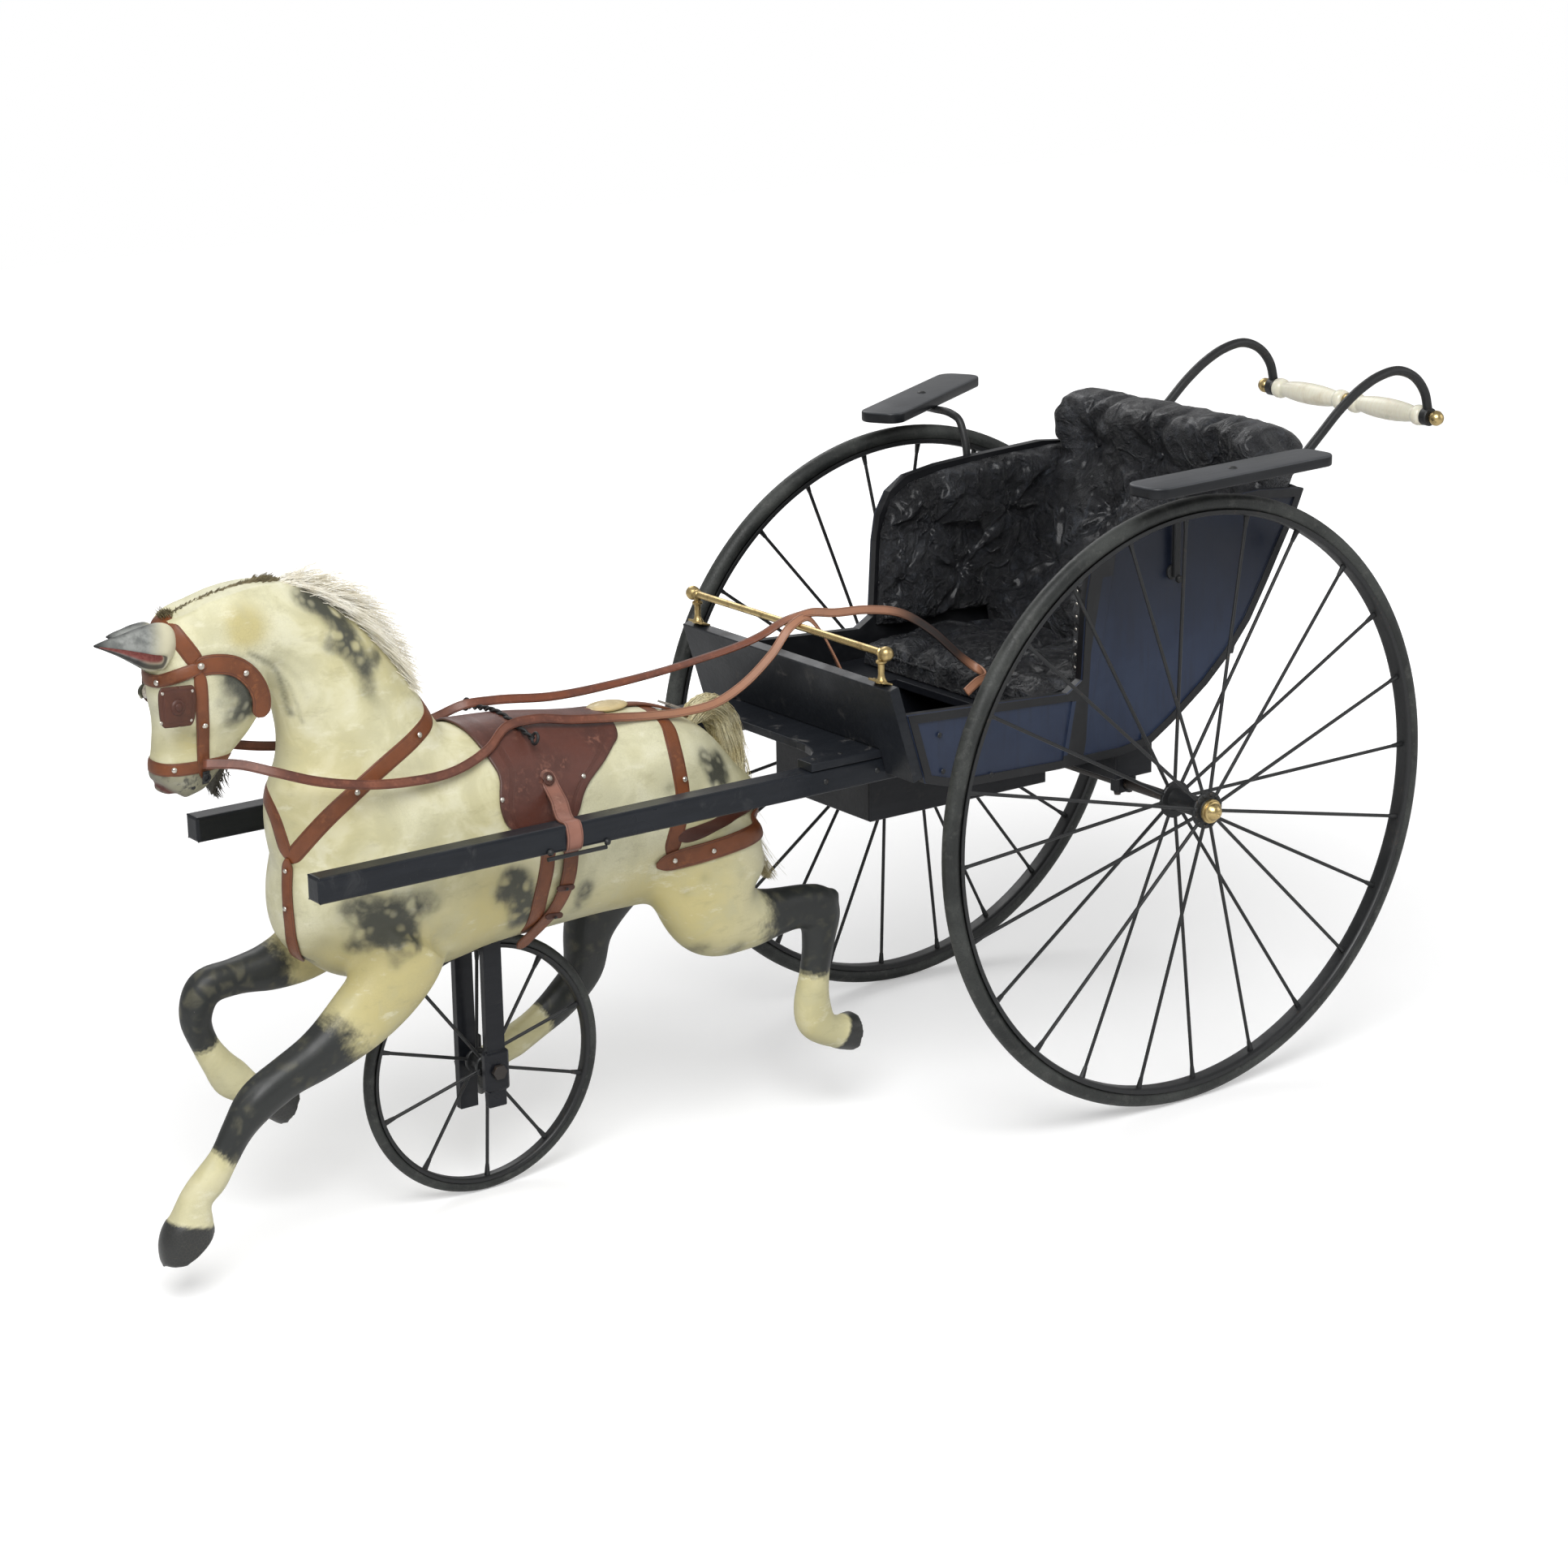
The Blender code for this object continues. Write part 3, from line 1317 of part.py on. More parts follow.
def make_seat_cushion():
    bottom = SHAFT_BOTTOM + SHAFT_DEPTH + FLOOR_THICKNESS + 2 * GAP
    half = BODY_HALF - PANEL_THICKNESS - WING_PAD_THICKNESS - 2 * GAP
    width = 2 * half
    rear = level_on(offset_line(REAR_CURVE, BACK_THICKNESS + GAP), bottom)
    length = rear - CUSHION_FRONT
    tufts = [(tu, tv, length, width) for tu in (0.30, 0.70) for tv in (0.2, 0.5, 0.8)]

    def place(u, v):
        x = CUSHION_FRONT + u * length
        y = -half + v * width
        high = CUSHION_EDGE * 0.5 + (CUSHION_CROWN - CUSHION_EDGE * 0.5) * edge_rise(u, v, 0.22, 0.16)
        high -= CUSHION_CROWN * LEATHER_SINK * dip(u, v, tufts, 0.020)
        return (x, y, bottom), (x, y, bottom + high)

    pad = padded_sheet(place, 12, 14, True)
    name_piece(pad, "seat_cushion", BLACK_LEATHER, 70)


def back_curve():
    # The front face of the back panel, from the cushion's height to above its top, as length and place.
    line = offset_line(REAR_CURVE, BACK_THICKNESS + 2 * GAP)
    top = Vector(line[-1])
    way = (top - Vector(line[-2])).normalized()
    bottom = 0.3965
    start = (level_on(line, bottom), bottom)
    rest = [point for point in line if point[1] > bottom + 0.004]
    return [start, *rest, tuple(top + way * BACK_PAD_RISE)]


def along(line, share):
    places = np.array(line)
    at = np.concatenate([[0], np.cumsum(np.linalg.norm(np.diff(places, axis=0), axis=1))])
    where = share * at[-1]
    place = np.array([np.interp(where, at, places[:, 0]), np.interp(where, at, places[:, 1])])
    ahead = min(at[-1], where + 0.01)
    behind = max(0, where - 0.01)
    way = np.array([np.interp(ahead, at, places[:, 0]), np.interp(ahead, at, places[:, 1])])
    way -= np.array([np.interp(behind, at, places[:, 0]), np.interp(behind, at, places[:, 1])])
    way /= np.linalg.norm(way)
    return place, np.array([-way[1], way[0]])


def back_pad_swell(v):
    # The pad is thickest in the roll along its top.
    return BACK_PAD_THICKNESS * (1 + (BACK_ROLL - 1) * math.exp(-(((v - 0.88) / 0.10) ** 2)))


def make_back_pad():
    half = BODY_HALF - PANEL_THICKNESS - 2 * GAP
    line = back_curve()
    tufts = [(tu, 0.80, 0.32, 0.27) for tu in (0.22, 0.5, 0.78)]
    tufts += [(tu, 0.54, 0.32, 0.27) for tu in (0.36, 0.64)]
    tufts += [(tu, 0.32, 0.32, 0.27) for tu in (0.22, 0.5, 0.78)]

    def place(u, v):
        corner = 1 - min(1.0, min(u, 1 - u) / 0.09)
        spot, square = along(line, v * (1 - 0.045 * corner**2))
        thick = 0.006 + (back_pad_swell(v) - 0.006) * edge_rise(u, v, 0.07, 0.10)
        thick -= BACK_PAD_THICKNESS * LEATHER_SINK * dip(u, v, tufts, 0.026)
        thick -= 0.0015 * math.cos(2 * math.pi * u * 11) * (1 if v > 0.85 else 0.3)
        y = -half + 2 * half * u
        high = spot + square * thick
        return (spot[0], y, spot[1]), (high[0], y, high[1])

    pad = padded_sheet(place, 20, 15, False)
    name_piece(pad, "back_pad", BLACK_LEATHER, 70)
    return pad


def wing_pad_outline():
    # Lower and upper edge of a wing pad in the side view, from front to back.
    low = [(-0.086, 0.4225), (0.000, 0.4225), (0.080, 0.4225), (0.110, 0.4225)]
    high = [(-0.079, 0.5180), (-0.066, 0.5520), (-0.042, 0.5675), (0.000, 0.5755), (0.060, 0.5810), (0.150, 0.5850)]
    return low, high


def make_wing_pads():
    inner = BODY_HALF - PANEL_THICKNESS - GAP
    low, high = wing_pad_outline()
    tufts = [(0.33, 0.62, 0.22, 0.15), (0.74, 0.60, 0.22, 0.15), (0.52, 0.22, 0.22, 0.15)]

    def line_at(line, share):
        places = np.array(line)
        at = np.concatenate([[0], np.cumsum(np.linalg.norm(np.diff(places, axis=0), axis=1))])
        return [float(np.interp(share * at[-1], at, places[:, column])) for column in (0, 1)]

    def place(u, v):
        bottom = line_at(low, u)
        top = line_at(high, u)
        x = bottom[0] + v * (top[0] - bottom[0])
        z = bottom[1] + v * (top[1] - bottom[1])
        thick = 0.005 + (WING_PAD_THICKNESS - 0.005) * edge_rise(u, v, 0.14, 0.16)
        thick -= WING_PAD_THICKNESS * LEATHER_SINK * dip(u, v, tufts, 0.022)
        thick -= 0.0018 * math.cos(2 * math.pi * (u * 6 + v * 1.5))
        return (x, -inner, z), (x, -inner + max(0.0035, thick), z)

    pad = padded_sheet(place, 14, 11, True)
    room = back_pad_room()
    pad = largest_piece(cut(pad, room))
    name_piece(mirrored(pad, "off"), "off_wing_pad", BLACK_LEATHER, 70)
    name_piece(pad, "near_wing_pad", BLACK_LEATHER, 70)


def back_pad_room():
    # What the back pad and the back panel fill near a side, so that the wing pad stops in front of them.
    line = back_curve()
    front = []
    for i in range(21):
        spot, square = along(line, i / 20)
        front.append(tuple(spot + square * (back_pad_swell(i / 20) + 0.002)))
    behind = offset_line(line, -0.05)
    return flat_piece([front + behind[::-1]], -0.2, 0.2)


# Armrests

def arm_outline():
    end = ARM_LENGTH / 2
    half = ARM_WIDTH / 2
    corner = 0.014
    outline = []
    for cx, cy, start in ((end, half, 0), (-end, half, 90), (-end, -half, 180), (end, -half, 270)):
        for i in range(4):
            angle = math.radians(start + 30 * i)
            outline.append((
                math.copysign(end - corner, cx) + corner * math.cos(angle),
                math.copysign(half - corner, cy) + corner * math.sin(angle),
            ))
    return outline


def make_armrests():
    for name, sign, angle, screw in (
        ("near", -1, NEAR_ARM_ANGLE, NEAR_SCREW_X),
        ("off", 1, OFF_ARM_ANGLE, OFF_SCREW_X),
    ):
        board = flat_piece([arm_outline()], -ARM_THICKNESS / 2, ARM_THICKNESS / 2, "XY")
        bore = cylinder(SCREW_RADIUS + BORE_GAP, -0.02, 0.02, (0, 0, 0), "Z", 12)
        board = cut(board, bore)
        name_piece(board, f"{name}_armrest", BLACK_PAINT, 30)
        board.location = (screw, sign * SCREW_Y, ARM_TOP - ARM_THICKNESS / 2)
        board.rotation_euler = (0, 0, angle)


def make_armrest_stays():
    side = BODY_HALF + MOULDING_HEIGHT + GAP + STAY_RADIUS
    below = ARM_TOP - ARM_THICKNESS - GAP
    run = below - 0.003 - STAY_RADIUS * 0.6
    route = [
        (0.0, -side, 0.518),
        (0.0, -side, 0.560),
        (0.0, -side - 0.001, 0.588),
        (0.0, -side - 0.006, 0.602),
        (0.0, -side - 0.014, run - 0.006),
        (0.0, -side - 0.024, run - 0.002),
        (0.0, -SCREW_Y + 0.022, run),
        (0.0, -SCREW_Y, run),
    ]
    stay = tube(route, STAY_RADIUS, 1)
    centre = (0, -SCREW_Y, 0)
    stay = union(stay, cylinder(0.012, run - 0.001, below, centre, "Z", 10))
    stay = union(stay, cylinder(SCREW_RADIUS, below - 0.001, ARM_TOP + 0.0012, centre, "Z", 8))
    stay = union(stay, cylinder(0.0048, ARM_TOP + GAP, ARM_TOP + 0.0017, centre, "Z", 8))
    foot = cylinder(0.0075, -side - 0.003, -BODY_HALF - GAP, (0, 0, 0.522), steps=10)
    stay = union(stay, foot)
    twin = mirrored(stay, "off")
    for obj, name, screw in ((twin, "off_armrest_stay", OFF_SCREW_X), (stay, "near_armrest_stay", NEAR_SCREW_X)):
        obj.data.transform(Matrix.Translation((screw, 0, 0)))
        name_piece(obj, name, IRON)


# Push handle

def handle_route():
    # From low on the back panel up its outside, then over in a crook to the bar's eye.
    outside = offset_line(REAR_CURVE, -HANDLE_RADIUS - 3 * GAP)
    up = [(level_on(outside, z), z) for z in (0.470, 0.492, 0.515, 0.538, 0.556)]
    crook = [(BAR_X + ahead, BAR_Z + above) for ahead, above in CROOK]
    return [(x, -HANDLE_Y, z) for x, z in (*up, *crook, (BAR_X, BAR_Z + EYE_RADIUS - 0.003))]


def handle_cleat():
    # A block between the tube's low end and the back panel.
    face = offset_line(REAR_CURVE, -GAP)
    back = offset_line(REAR_CURVE, -HANDLE_RADIUS - GAP)
    levels = (0.474, 0.481, 0.488)
    outline = [(level_on(face, z), z) for z in levels]
    outline += [(level_on(back, z), z) for z in reversed(levels)]
    return flat_piece([outline], -HANDLE_Y - CLEAT_HALF, -HANDLE_Y + CLEAT_HALF)


def make_handle():
    pipe = union(tube(handle_route(), HANDLE_RADIUS, 1), handle_cleat())
    low = -HANDLE_Y - EYE_WIDTH / 2
    eye = cylinder(EYE_RADIUS, low, low + EYE_WIDTH, (BAR_X, 0, BAR_Z), steps=16)
    bore = cylinder(BAR_RADIUS + BORE_GAP, low - 0.01, low + EYE_WIDTH + 0.01, (BAR_X, 0, BAR_Z), steps=12)
    pipe = cut(union(pipe, eye), bore)
    name_piece(mirrored(pipe, "off"), "off_handle_tube", IRON)
    name_piece(pipe, "near_handle_tube", IRON)
    rod = cylinder(BAR_RADIUS, -KNOB_Y, KNOB_Y, (BAR_X, 0, BAR_Z), steps=10)
    rod = union(rod, cylinder(COLLAR_RADIUS, -COLLAR_HALF, COLLAR_HALF, (BAR_X, 0, BAR_Z), steps=14))
    for sign in (-1, 1):
        rod = union(rod, ball(KNOB_RADIUS, (BAR_X, sign * (KNOB_Y + 0.0005), BAR_Z), 10))
    name_piece(rod, "handle_rod", BRASS)


def make_grips():
    start = COLLAR_HALF + GAP
    end = HANDLE_Y - EYE_WIDTH / 2 - GAP
    length = end - start
    bore = BAR_RADIUS + BORE_GAP
    shape = (
        (0.0, 0.70),
        (0.03, 0.92),
        (0.10, 0.92),
        (0.12, 0.70),
        (0.32, 0.94),
        (0.50, 1.00),
        (0.68, 0.94),
        (0.88, 0.70),
        (0.90, 0.92),
        (0.97, 0.92),
        (1.0, 0.70),
    )
    outer = [(GRIP_RADIUS * share, start + length * at) for at, share in reversed(shape)]
    profile = [(bore, end), *outer, (bore, start)]
    for name, sign in (("near_grip", -1), ("off_grip", 1)):
        mould = [(radius, sign * height) for radius, height in profile]
        grip = turned(mould, (0, 0, 0), steps=12, closed=True)
        name_piece(grip, name, CREAM, 50)
        grip.location = (BAR_X, 0, BAR_Z)


# Dash rail

def make_dash_rail():
    foot_x, foot_y, foot_z = RAIL_FOOT
    way = (Vector(DASH_TOP) - Vector(DASH_BOTTOM)).normalized()
    square = Vector((way.y, -way.x))
    middle = Vector(DASH_TOP) + square * DASH_THICKNESS / 2
    x = middle.x
    rail = cylinder(RAIL_RADIUS, -RAIL_HALF, RAIL_HALF, (x, 0, RAIL_Z), steps=8)
    lean = math.atan2(square.y, square.x)
    for sign in (-1, 1):
        rail = union(rail, ball(RAIL_KNOB, (x, sign * RAIL_HALF, RAIL_Z), 8))
        base = middle.y + foot_z
        post = cylinder(RAIL_POST_RADIUS, base - 0.001, RAIL_Z, (x, sign * RAIL_POST_Y, 0), "Z", 8)
        ring = cylinder(0.0052, RAIL_Z - 0.010, RAIL_Z - 0.0075, (x, sign * RAIL_POST_Y, 0), "Z", 8)
        foot = box((-foot_x / 2, -foot_y / 2, GAP), (foot_x / 2, foot_y / 2, GAP + foot_z), 0.0005)
        turn = Matrix.Translation((middle.x, sign * (RAIL_POST_Y - 0.002), middle.y))
        foot.data.transform(turn @ Matrix.Rotation(-lean, 4, "Y"))
        rail = union(rail, union(post, ring, foot))
    name_piece(rail, "dash_rail", BRASS)


# The whole part

def centre_part():
    root = bpy.data.objects.new("horse_and_gig", None)
    PARTS.objects.link(root)
    bpy.context.view_layer.update()
    pieces = [obj for obj in PARTS.objects if obj.type == "MESH"]
    corners = np.array([
        obj.matrix_world @ vert.co for obj in pieces if not obj.name.endswith("_rein") for vert in obj.data.vertices
    ])
    low = corners.min(axis=0)
    high = corners.max(axis=0)
    for piece in pieces:
        piece.parent = root
    root.location = (-(low[0] + high[0]) / 2, -(low[1] + high[1]) / 2, -low[2])
    bpy.context.view_layer.update()
    print("Size", np.round(high - low, 4), "and shift", np.round(root.location, 5))


make_rear_wheels()
make_rear_axle()
make_front_wheel()
make_fork_posts()
make_horse()
make_mane_and_tail()
make_harness()
make_reins()
make_shafts()
make_boards()
make_axle_beam()
make_side_panels()
make_dashboard()
make_back_panel()
make_seat_cushion()
make_back_pad()
make_wing_pads()
make_armrests()
make_armrest_stays()
make_handle()
make_grips()
make_dash_rail()
centre_part()
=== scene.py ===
import math
import random

import bmesh
import bpy
import numpy as np
from mathutils import Matrix, Vector, noise
from mathutils.bvhtree import BVHTree


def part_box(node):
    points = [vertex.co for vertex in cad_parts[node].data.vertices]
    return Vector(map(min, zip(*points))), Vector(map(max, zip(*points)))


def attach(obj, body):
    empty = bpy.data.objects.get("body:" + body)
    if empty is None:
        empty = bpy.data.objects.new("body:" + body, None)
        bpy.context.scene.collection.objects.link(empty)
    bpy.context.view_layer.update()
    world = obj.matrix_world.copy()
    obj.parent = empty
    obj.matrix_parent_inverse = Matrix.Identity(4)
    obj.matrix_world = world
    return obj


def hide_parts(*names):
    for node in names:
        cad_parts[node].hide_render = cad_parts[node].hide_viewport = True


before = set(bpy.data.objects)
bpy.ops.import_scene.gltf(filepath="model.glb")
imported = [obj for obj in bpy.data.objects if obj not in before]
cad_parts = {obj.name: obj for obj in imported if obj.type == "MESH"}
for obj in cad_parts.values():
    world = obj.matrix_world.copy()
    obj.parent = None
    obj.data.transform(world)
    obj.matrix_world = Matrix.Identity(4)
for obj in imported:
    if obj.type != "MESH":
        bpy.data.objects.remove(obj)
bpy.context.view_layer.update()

# All sizes below are metres from the ground under the middle of the rear axle:
# x towards the push handle, y towards the off side, z up. finishPiece moves them to the model's own frame.
axleLow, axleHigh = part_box("rear_axle")
origin = Vector(((axleLow.x + axleHigh.x) / 2, (axleLow.y + axleHigh.y) / 2, 0))
gig = "gig_and_horse"
sideSigns = {"near": -1, "off": 1}
frontHub = (-0.67, 0, 0.1255)
print("frame loaded, origin", [round(c, 4) for c in origin])


def addObject(name, data):
    made = bpy.data.objects.new(name, data)
    bpy.context.scene.collection.objects.link(made)
    return made


# camera and light
cameraSet = {
    "place": (-2.25497, -2.72667, 1.31517), "yaw": -35.3705, "pitch": 16.3929, "roll": -0.9811,
    "lens": 82.475,
}


def addCamera():
    data = bpy.data.cameras.new("photo_camera")
    data.lens = cameraSet["lens"]
    data.sensor_width = 36
    data.clip_end = 50
    camera = addObject("photo_camera", data)
    yaw, pitch, roll = (math.radians(cameraSet[key]) for key in ("yaw", "pitch", "roll"))
    back = Vector((math.sin(yaw) * math.cos(pitch), -math.cos(yaw) * math.cos(pitch), math.sin(pitch)))
    right = Vector((0, 0, 1)).cross(back).normalized()
    up = back.cross(right)
    turned = right * math.cos(roll) + up * math.sin(roll)
    upright = up * math.cos(roll) - right * math.sin(roll)
    spin = Matrix((turned, upright, back)).transposed().to_4x4()
    camera.matrix_world = Matrix.Translation(Vector(cameraSet["place"]) + origin) @ spin
    bpy.context.scene.camera = camera


addCamera()
lamps = [
    {"name": "key", "place": (-1.9, -1.9, 2.9), "size": 2.2, "power": 112},
    {"name": "fill", "place": (2.6, -2.2, 1.8), "size": 2.4, "power": 20},
    {"name": "rear", "place": (0.4, 2.6, 2.6), "size": 2.0, "power": 30},
]
for lamp in lamps:
    data = bpy.data.lights.new(lamp["name"], "AREA")
    data.size = lamp["size"]
    data.energy = lamp["power"]
    light = addObject(lamp["name"], data)
    place = Vector(lamp["place"])
    aim = (Vector((-0.3, 0, 0.3)) - place).to_track_quat("-Z", "Y").to_matrix().to_4x4()
    light.matrix_world = Matrix.Translation(place + origin) @ aim
print("camera and lamps set")


# shader maths
class Signal:
    # a socket on its way through a material; arithmetic on values adds Math nodes
    def __init__(self, paint, socket):
        self.paint = paint
        self.socket = socket

    def sum(self, operation, *others):
        return self.paint.node("ShaderNodeMath", {"operation": operation}, dict(enumerate((self, *others))))

    def __add__(self, other):
        return self.sum("ADD", other)

    def __radd__(self, other):
        return self.sum("ADD", other)

    def __sub__(self, other):
        return self.sum("SUBTRACT", other)

    def __rsub__(self, other):
        return self.paint.node("ShaderNodeMath", {"operation": "SUBTRACT"}, {0: other, 1: self})

    def __mul__(self, other):
        return self.sum("MULTIPLY", other)

    def __rmul__(self, other):
        return self.sum("MULTIPLY", other)

    def __truediv__(self, other):
        return self.sum("DIVIDE", other)

    def __pow__(self, other):
        return self.sum("POWER", other)

    def most(self, other):
        return self.sum("MAXIMUM", other)

    def ramp(self, low, high, bottom=0.0, top=1.0):
        settings = {"interpolation_type": "SMOOTHSTEP"}
        inputs = {"Value": self, "From Min": low, "From Max": high, "To Min": bottom, "To Max": top}
        return self.paint.node("ShaderNodeMapRange", settings, inputs)


class Paint:
    # one material and the nodes it is made of
    def __init__(self, name, **fixed):
        self.material = bpy.data.materials.new(name)
        self.material.use_nodes = True
        self.tree = self.material.node_tree
        self.shader = self.tree.nodes["Principled BSDF"]
        self.set(**fixed)
        self.place = self.node("ShaderNodeTexCoord", out="Object")

    def node(self, kind, settings=None, inputs=None, out=0):
        made = self.tree.nodes.new(kind)
        for key, value in (settings or {}).items():
            setattr(made, key, value)
        for key, value in (inputs or {}).items():
            if isinstance(value, Signal):
                self.tree.links.new(value.socket, made.inputs[key])
            else:
                made.inputs[key].default_value = value
        return Signal(self, made.outputs[out])

    def set(self, **sockets):
        for key, value in sockets.items():
            socket = self.shader.inputs[key.replace("_", " ")]
            if isinstance(value, Signal):
                self.tree.links.new(value.socket, socket)
            else:
                socket.default_value = (*value, 1) if isinstance(value, tuple) and len(value) == 3 else value
        return self

    def noise(self, scale, detail=3.0, roughness=0.5, place=None, twist=0.0):
        inputs = {
            "Vector": place or self.place, "Scale": scale, "Detail": detail, "Roughness": roughness,
            "Distortion": twist,
        }
        return self.node("ShaderNodeTexNoise", None, inputs)

    def cells(self, scale, feature="DISTANCE_TO_EDGE", place=None, jitter=1.0):
        inputs = {"Vector": place or self.place, "Scale": scale, "Randomness": jitter}
        return self.node("ShaderNodeTexVoronoi", {"feature": feature}, inputs)

    def stretch(self, scale, turn=(0, 0, 0)):
        # the same pattern space, drawn out along an axis
        return self.node("ShaderNodeMapping", None, {"Vector": self.place, "Scale": scale, "Rotation": turn})

    def axis(self, name):
        return self.node("ShaderNodeSeparateXYZ", None, {"Vector": self.place}, name)

    def marked(self, name):
        return self.node("ShaderNodeAttribute", {"attribute_name": name}, None, "Fac")

    def blend(self, share, first, second):
        made = self.tree.nodes.new("ShaderNodeMix")
        made.data_type = "RGBA"
        for socket, value in ((made.inputs[0], share), (made.inputs[6], first), (made.inputs[7], second)):
            if isinstance(value, Signal):
                self.tree.links.new(value.socket, socket)
            else:
                socket.default_value = (*value, 1) if isinstance(value, tuple) else value
        return Signal(self, made.outputs[2])

    def relief(self, height, depth, strength):
        return self.node("ShaderNodeBump", None, {"Height": height, "Distance": depth, "Strength": strength})

    def joined(self, tone, rough, height, depth, strength):
        # the material, with its colour, roughness and relief joined up
        relief = self.relief(height, depth, strength)
        return self.set(Base_Color=tone, Roughness=rough, Normal=relief).material


def paintedWood(name, colour, worn, gloss=0.38, wear=0.35):
    # old brush-painted wood: faint brush lines, specks of dust, rubbed patches
    paint = Paint(name, Specular_IOR_Level=0.28)
    grain = paint.noise(1.0, 4, 0.6, paint.stretch((18, 160, 160)))
    cloud = paint.noise(9, 4, 0.6)
    rubbed = paint.noise(34, 5, 0.65, twist=0.6).ramp(0.56, 0.74) * cloud.ramp(0.42, 0.62) * wear
    specks = paint.cells(420, "F1").ramp(0.1, 0.02) * cloud.ramp(0.45, 0.75) * 0.35
    tone = paint.blend(grain.ramp(0.3, 0.7) * 0.35, colour, tuple(c * 1.5 + 0.004 for c in colour))
    tone = paint.blend(rubbed, tone, worn)
    tone = paint.blend(specks, tone, (0.3, 0.28, 0.25))
    rough = cloud.ramp(0.3, 0.7, gloss - 0.07, gloss + 0.12) + rubbed * 0.4
    height = grain * 0.5 + paint.noise(260, 3) * 0.35 - rubbed * 0.6
    return paint.joined(tone, rough, height, 0.0006, 0.5)


def blackIron(name, colour=(0.02, 0.021, 0.022), rust=0.25):
    paint = Paint(name, Metallic=0.25)
    cloud = paint.noise(22, 4, 0.6)
    pits = paint.noise(210, 4, 0.7)
    worn = pits.ramp(0.55, 0.72) * cloud.ramp(0.45, 0.65)
    tone = paint.blend(worn * rust, colour, (0.16, 0.1, 0.06))
    tone = paint.blend(cloud.ramp(0.55, 0.8) * 0.3, tone, (0.06, 0.062, 0.06))
    height = pits + worn * 0.5
    return paint.joined(tone, cloud.ramp(0.3, 0.7, 0.34, 0.52), height, 0.0004, 0.4)


def tyreRubber(name):
    # hard old rubber: fine crazing round the tread and a chalky bloom
    paint = Paint(name, Specular_IOR_Level=0.4)
    bloom = paint.noise(14, 4, 0.6)
    craze = paint.cells(240, place=paint.stretch((1, 0.35, 1))).ramp(0.0, 0.06, 1, 0)
    dust = paint.noise(90, 4, 0.7).ramp(0.5, 0.75)
    tone = paint.blend(bloom.ramp(0.35, 0.7), (0.016, 0.018, 0.017), (0.05, 0.054, 0.05))
    tone = paint.blend(dust * 0.35, tone, (0.12, 0.12, 0.11))
    tone = paint.blend(craze * 0.4, tone, (0.01, 0.011, 0.011))
    height = bloom * 0.4 - craze * 0.4 + dust * 0.2
    return paint.joined(tone, bloom.ramp(0.3, 0.7, 0.42, 0.62), height, 0.0005, 0.5)


def agedBrass(name, colour=(0.62, 0.47, 0.22), dark=(0.16, 0.11, 0.05)):
    paint = Paint(name, Metallic=1.0)
    cloud = paint.noise(60, 4, 0.65)
    spots = paint.noise(300, 4, 0.7)
    tarnish = cloud.ramp(0.48, 0.72) * 0.75
    tone = paint.blend(tarnish, colour, dark)
    tone = paint.blend(spots.ramp(0.62, 0.75) * 0.6, tone, (0.07, 0.05, 0.03))
    return paint.joined(tone, cloud.ramp(0.3, 0.75, 0.24, 0.5), spots, 0.0003, 0.3)


def turnedIvory(name):
    paint = Paint(name, Coat_Weight=0.25, Coat_Roughness=0.2, Subsurface_Weight=0.05)
    lines = paint.noise(1, 3, 0.5, paint.stretch((40, 700, 40)))
    cloud = paint.noise(40, 4, 0.6)
    grime = cloud.ramp(0.55, 0.8) * 0.5
    tone = paint.blend(lines.ramp(0.35, 0.7) * 0.4, (0.84, 0.8, 0.66), (0.74, 0.67, 0.5))
    tone = paint.blend(grime, tone, (0.52, 0.42, 0.26))
    return paint.joined(tone, cloud.ramp(0.3, 0.7, 0.25, 0.42), lines, 0.0002, 0.3)


def tanLeather(name, colour=(0.235, 0.062, 0.026), pale=(0.4, 0.135, 0.065), wornShare=0.45):
    # bridle leather: the strap's own across runs from -1 to 1, with a pressed line near both edges
    paint = Paint(name, Specular_IOR_Level=0.5, Coat_Weight=0.12, Coat_Roughness=0.35)
    cloud = paint.noise(26, 5, 0.6)
    fine = paint.noise(150, 4, 0.65)
    pores = paint.cells(900).ramp(0.0, 0.09, 1, 0)
    across = paint.marked("across").sum("ABSOLUTE")
    line = across.ramp(0.7, 0.74) * across.ramp(0.84, 0.8)
    rim = across.ramp(0.9, 1.0)
    worn = fine.ramp(0.48, 0.72) * cloud.ramp(0.42, 0.66)
    tone = paint.blend(cloud.ramp(0.3, 0.72), colour, tuple(c * 0.62 for c in colour))
    tone = paint.blend(worn * wornShare, tone, pale)
    tone = paint.blend(line * 0.6, tone, (0.07, 0.018, 0.009))
    tone = paint.blend(rim * 0.55, tone, (0.055, 0.02, 0.012))
    height = fine * 0.5 - pores * 0.25 - line * 0.9
    rough = cloud.ramp(0.3, 0.75, 0.36, 0.56) + worn * 0.12
    return paint.joined(tone, rough, height, 0.0005, 0.55)


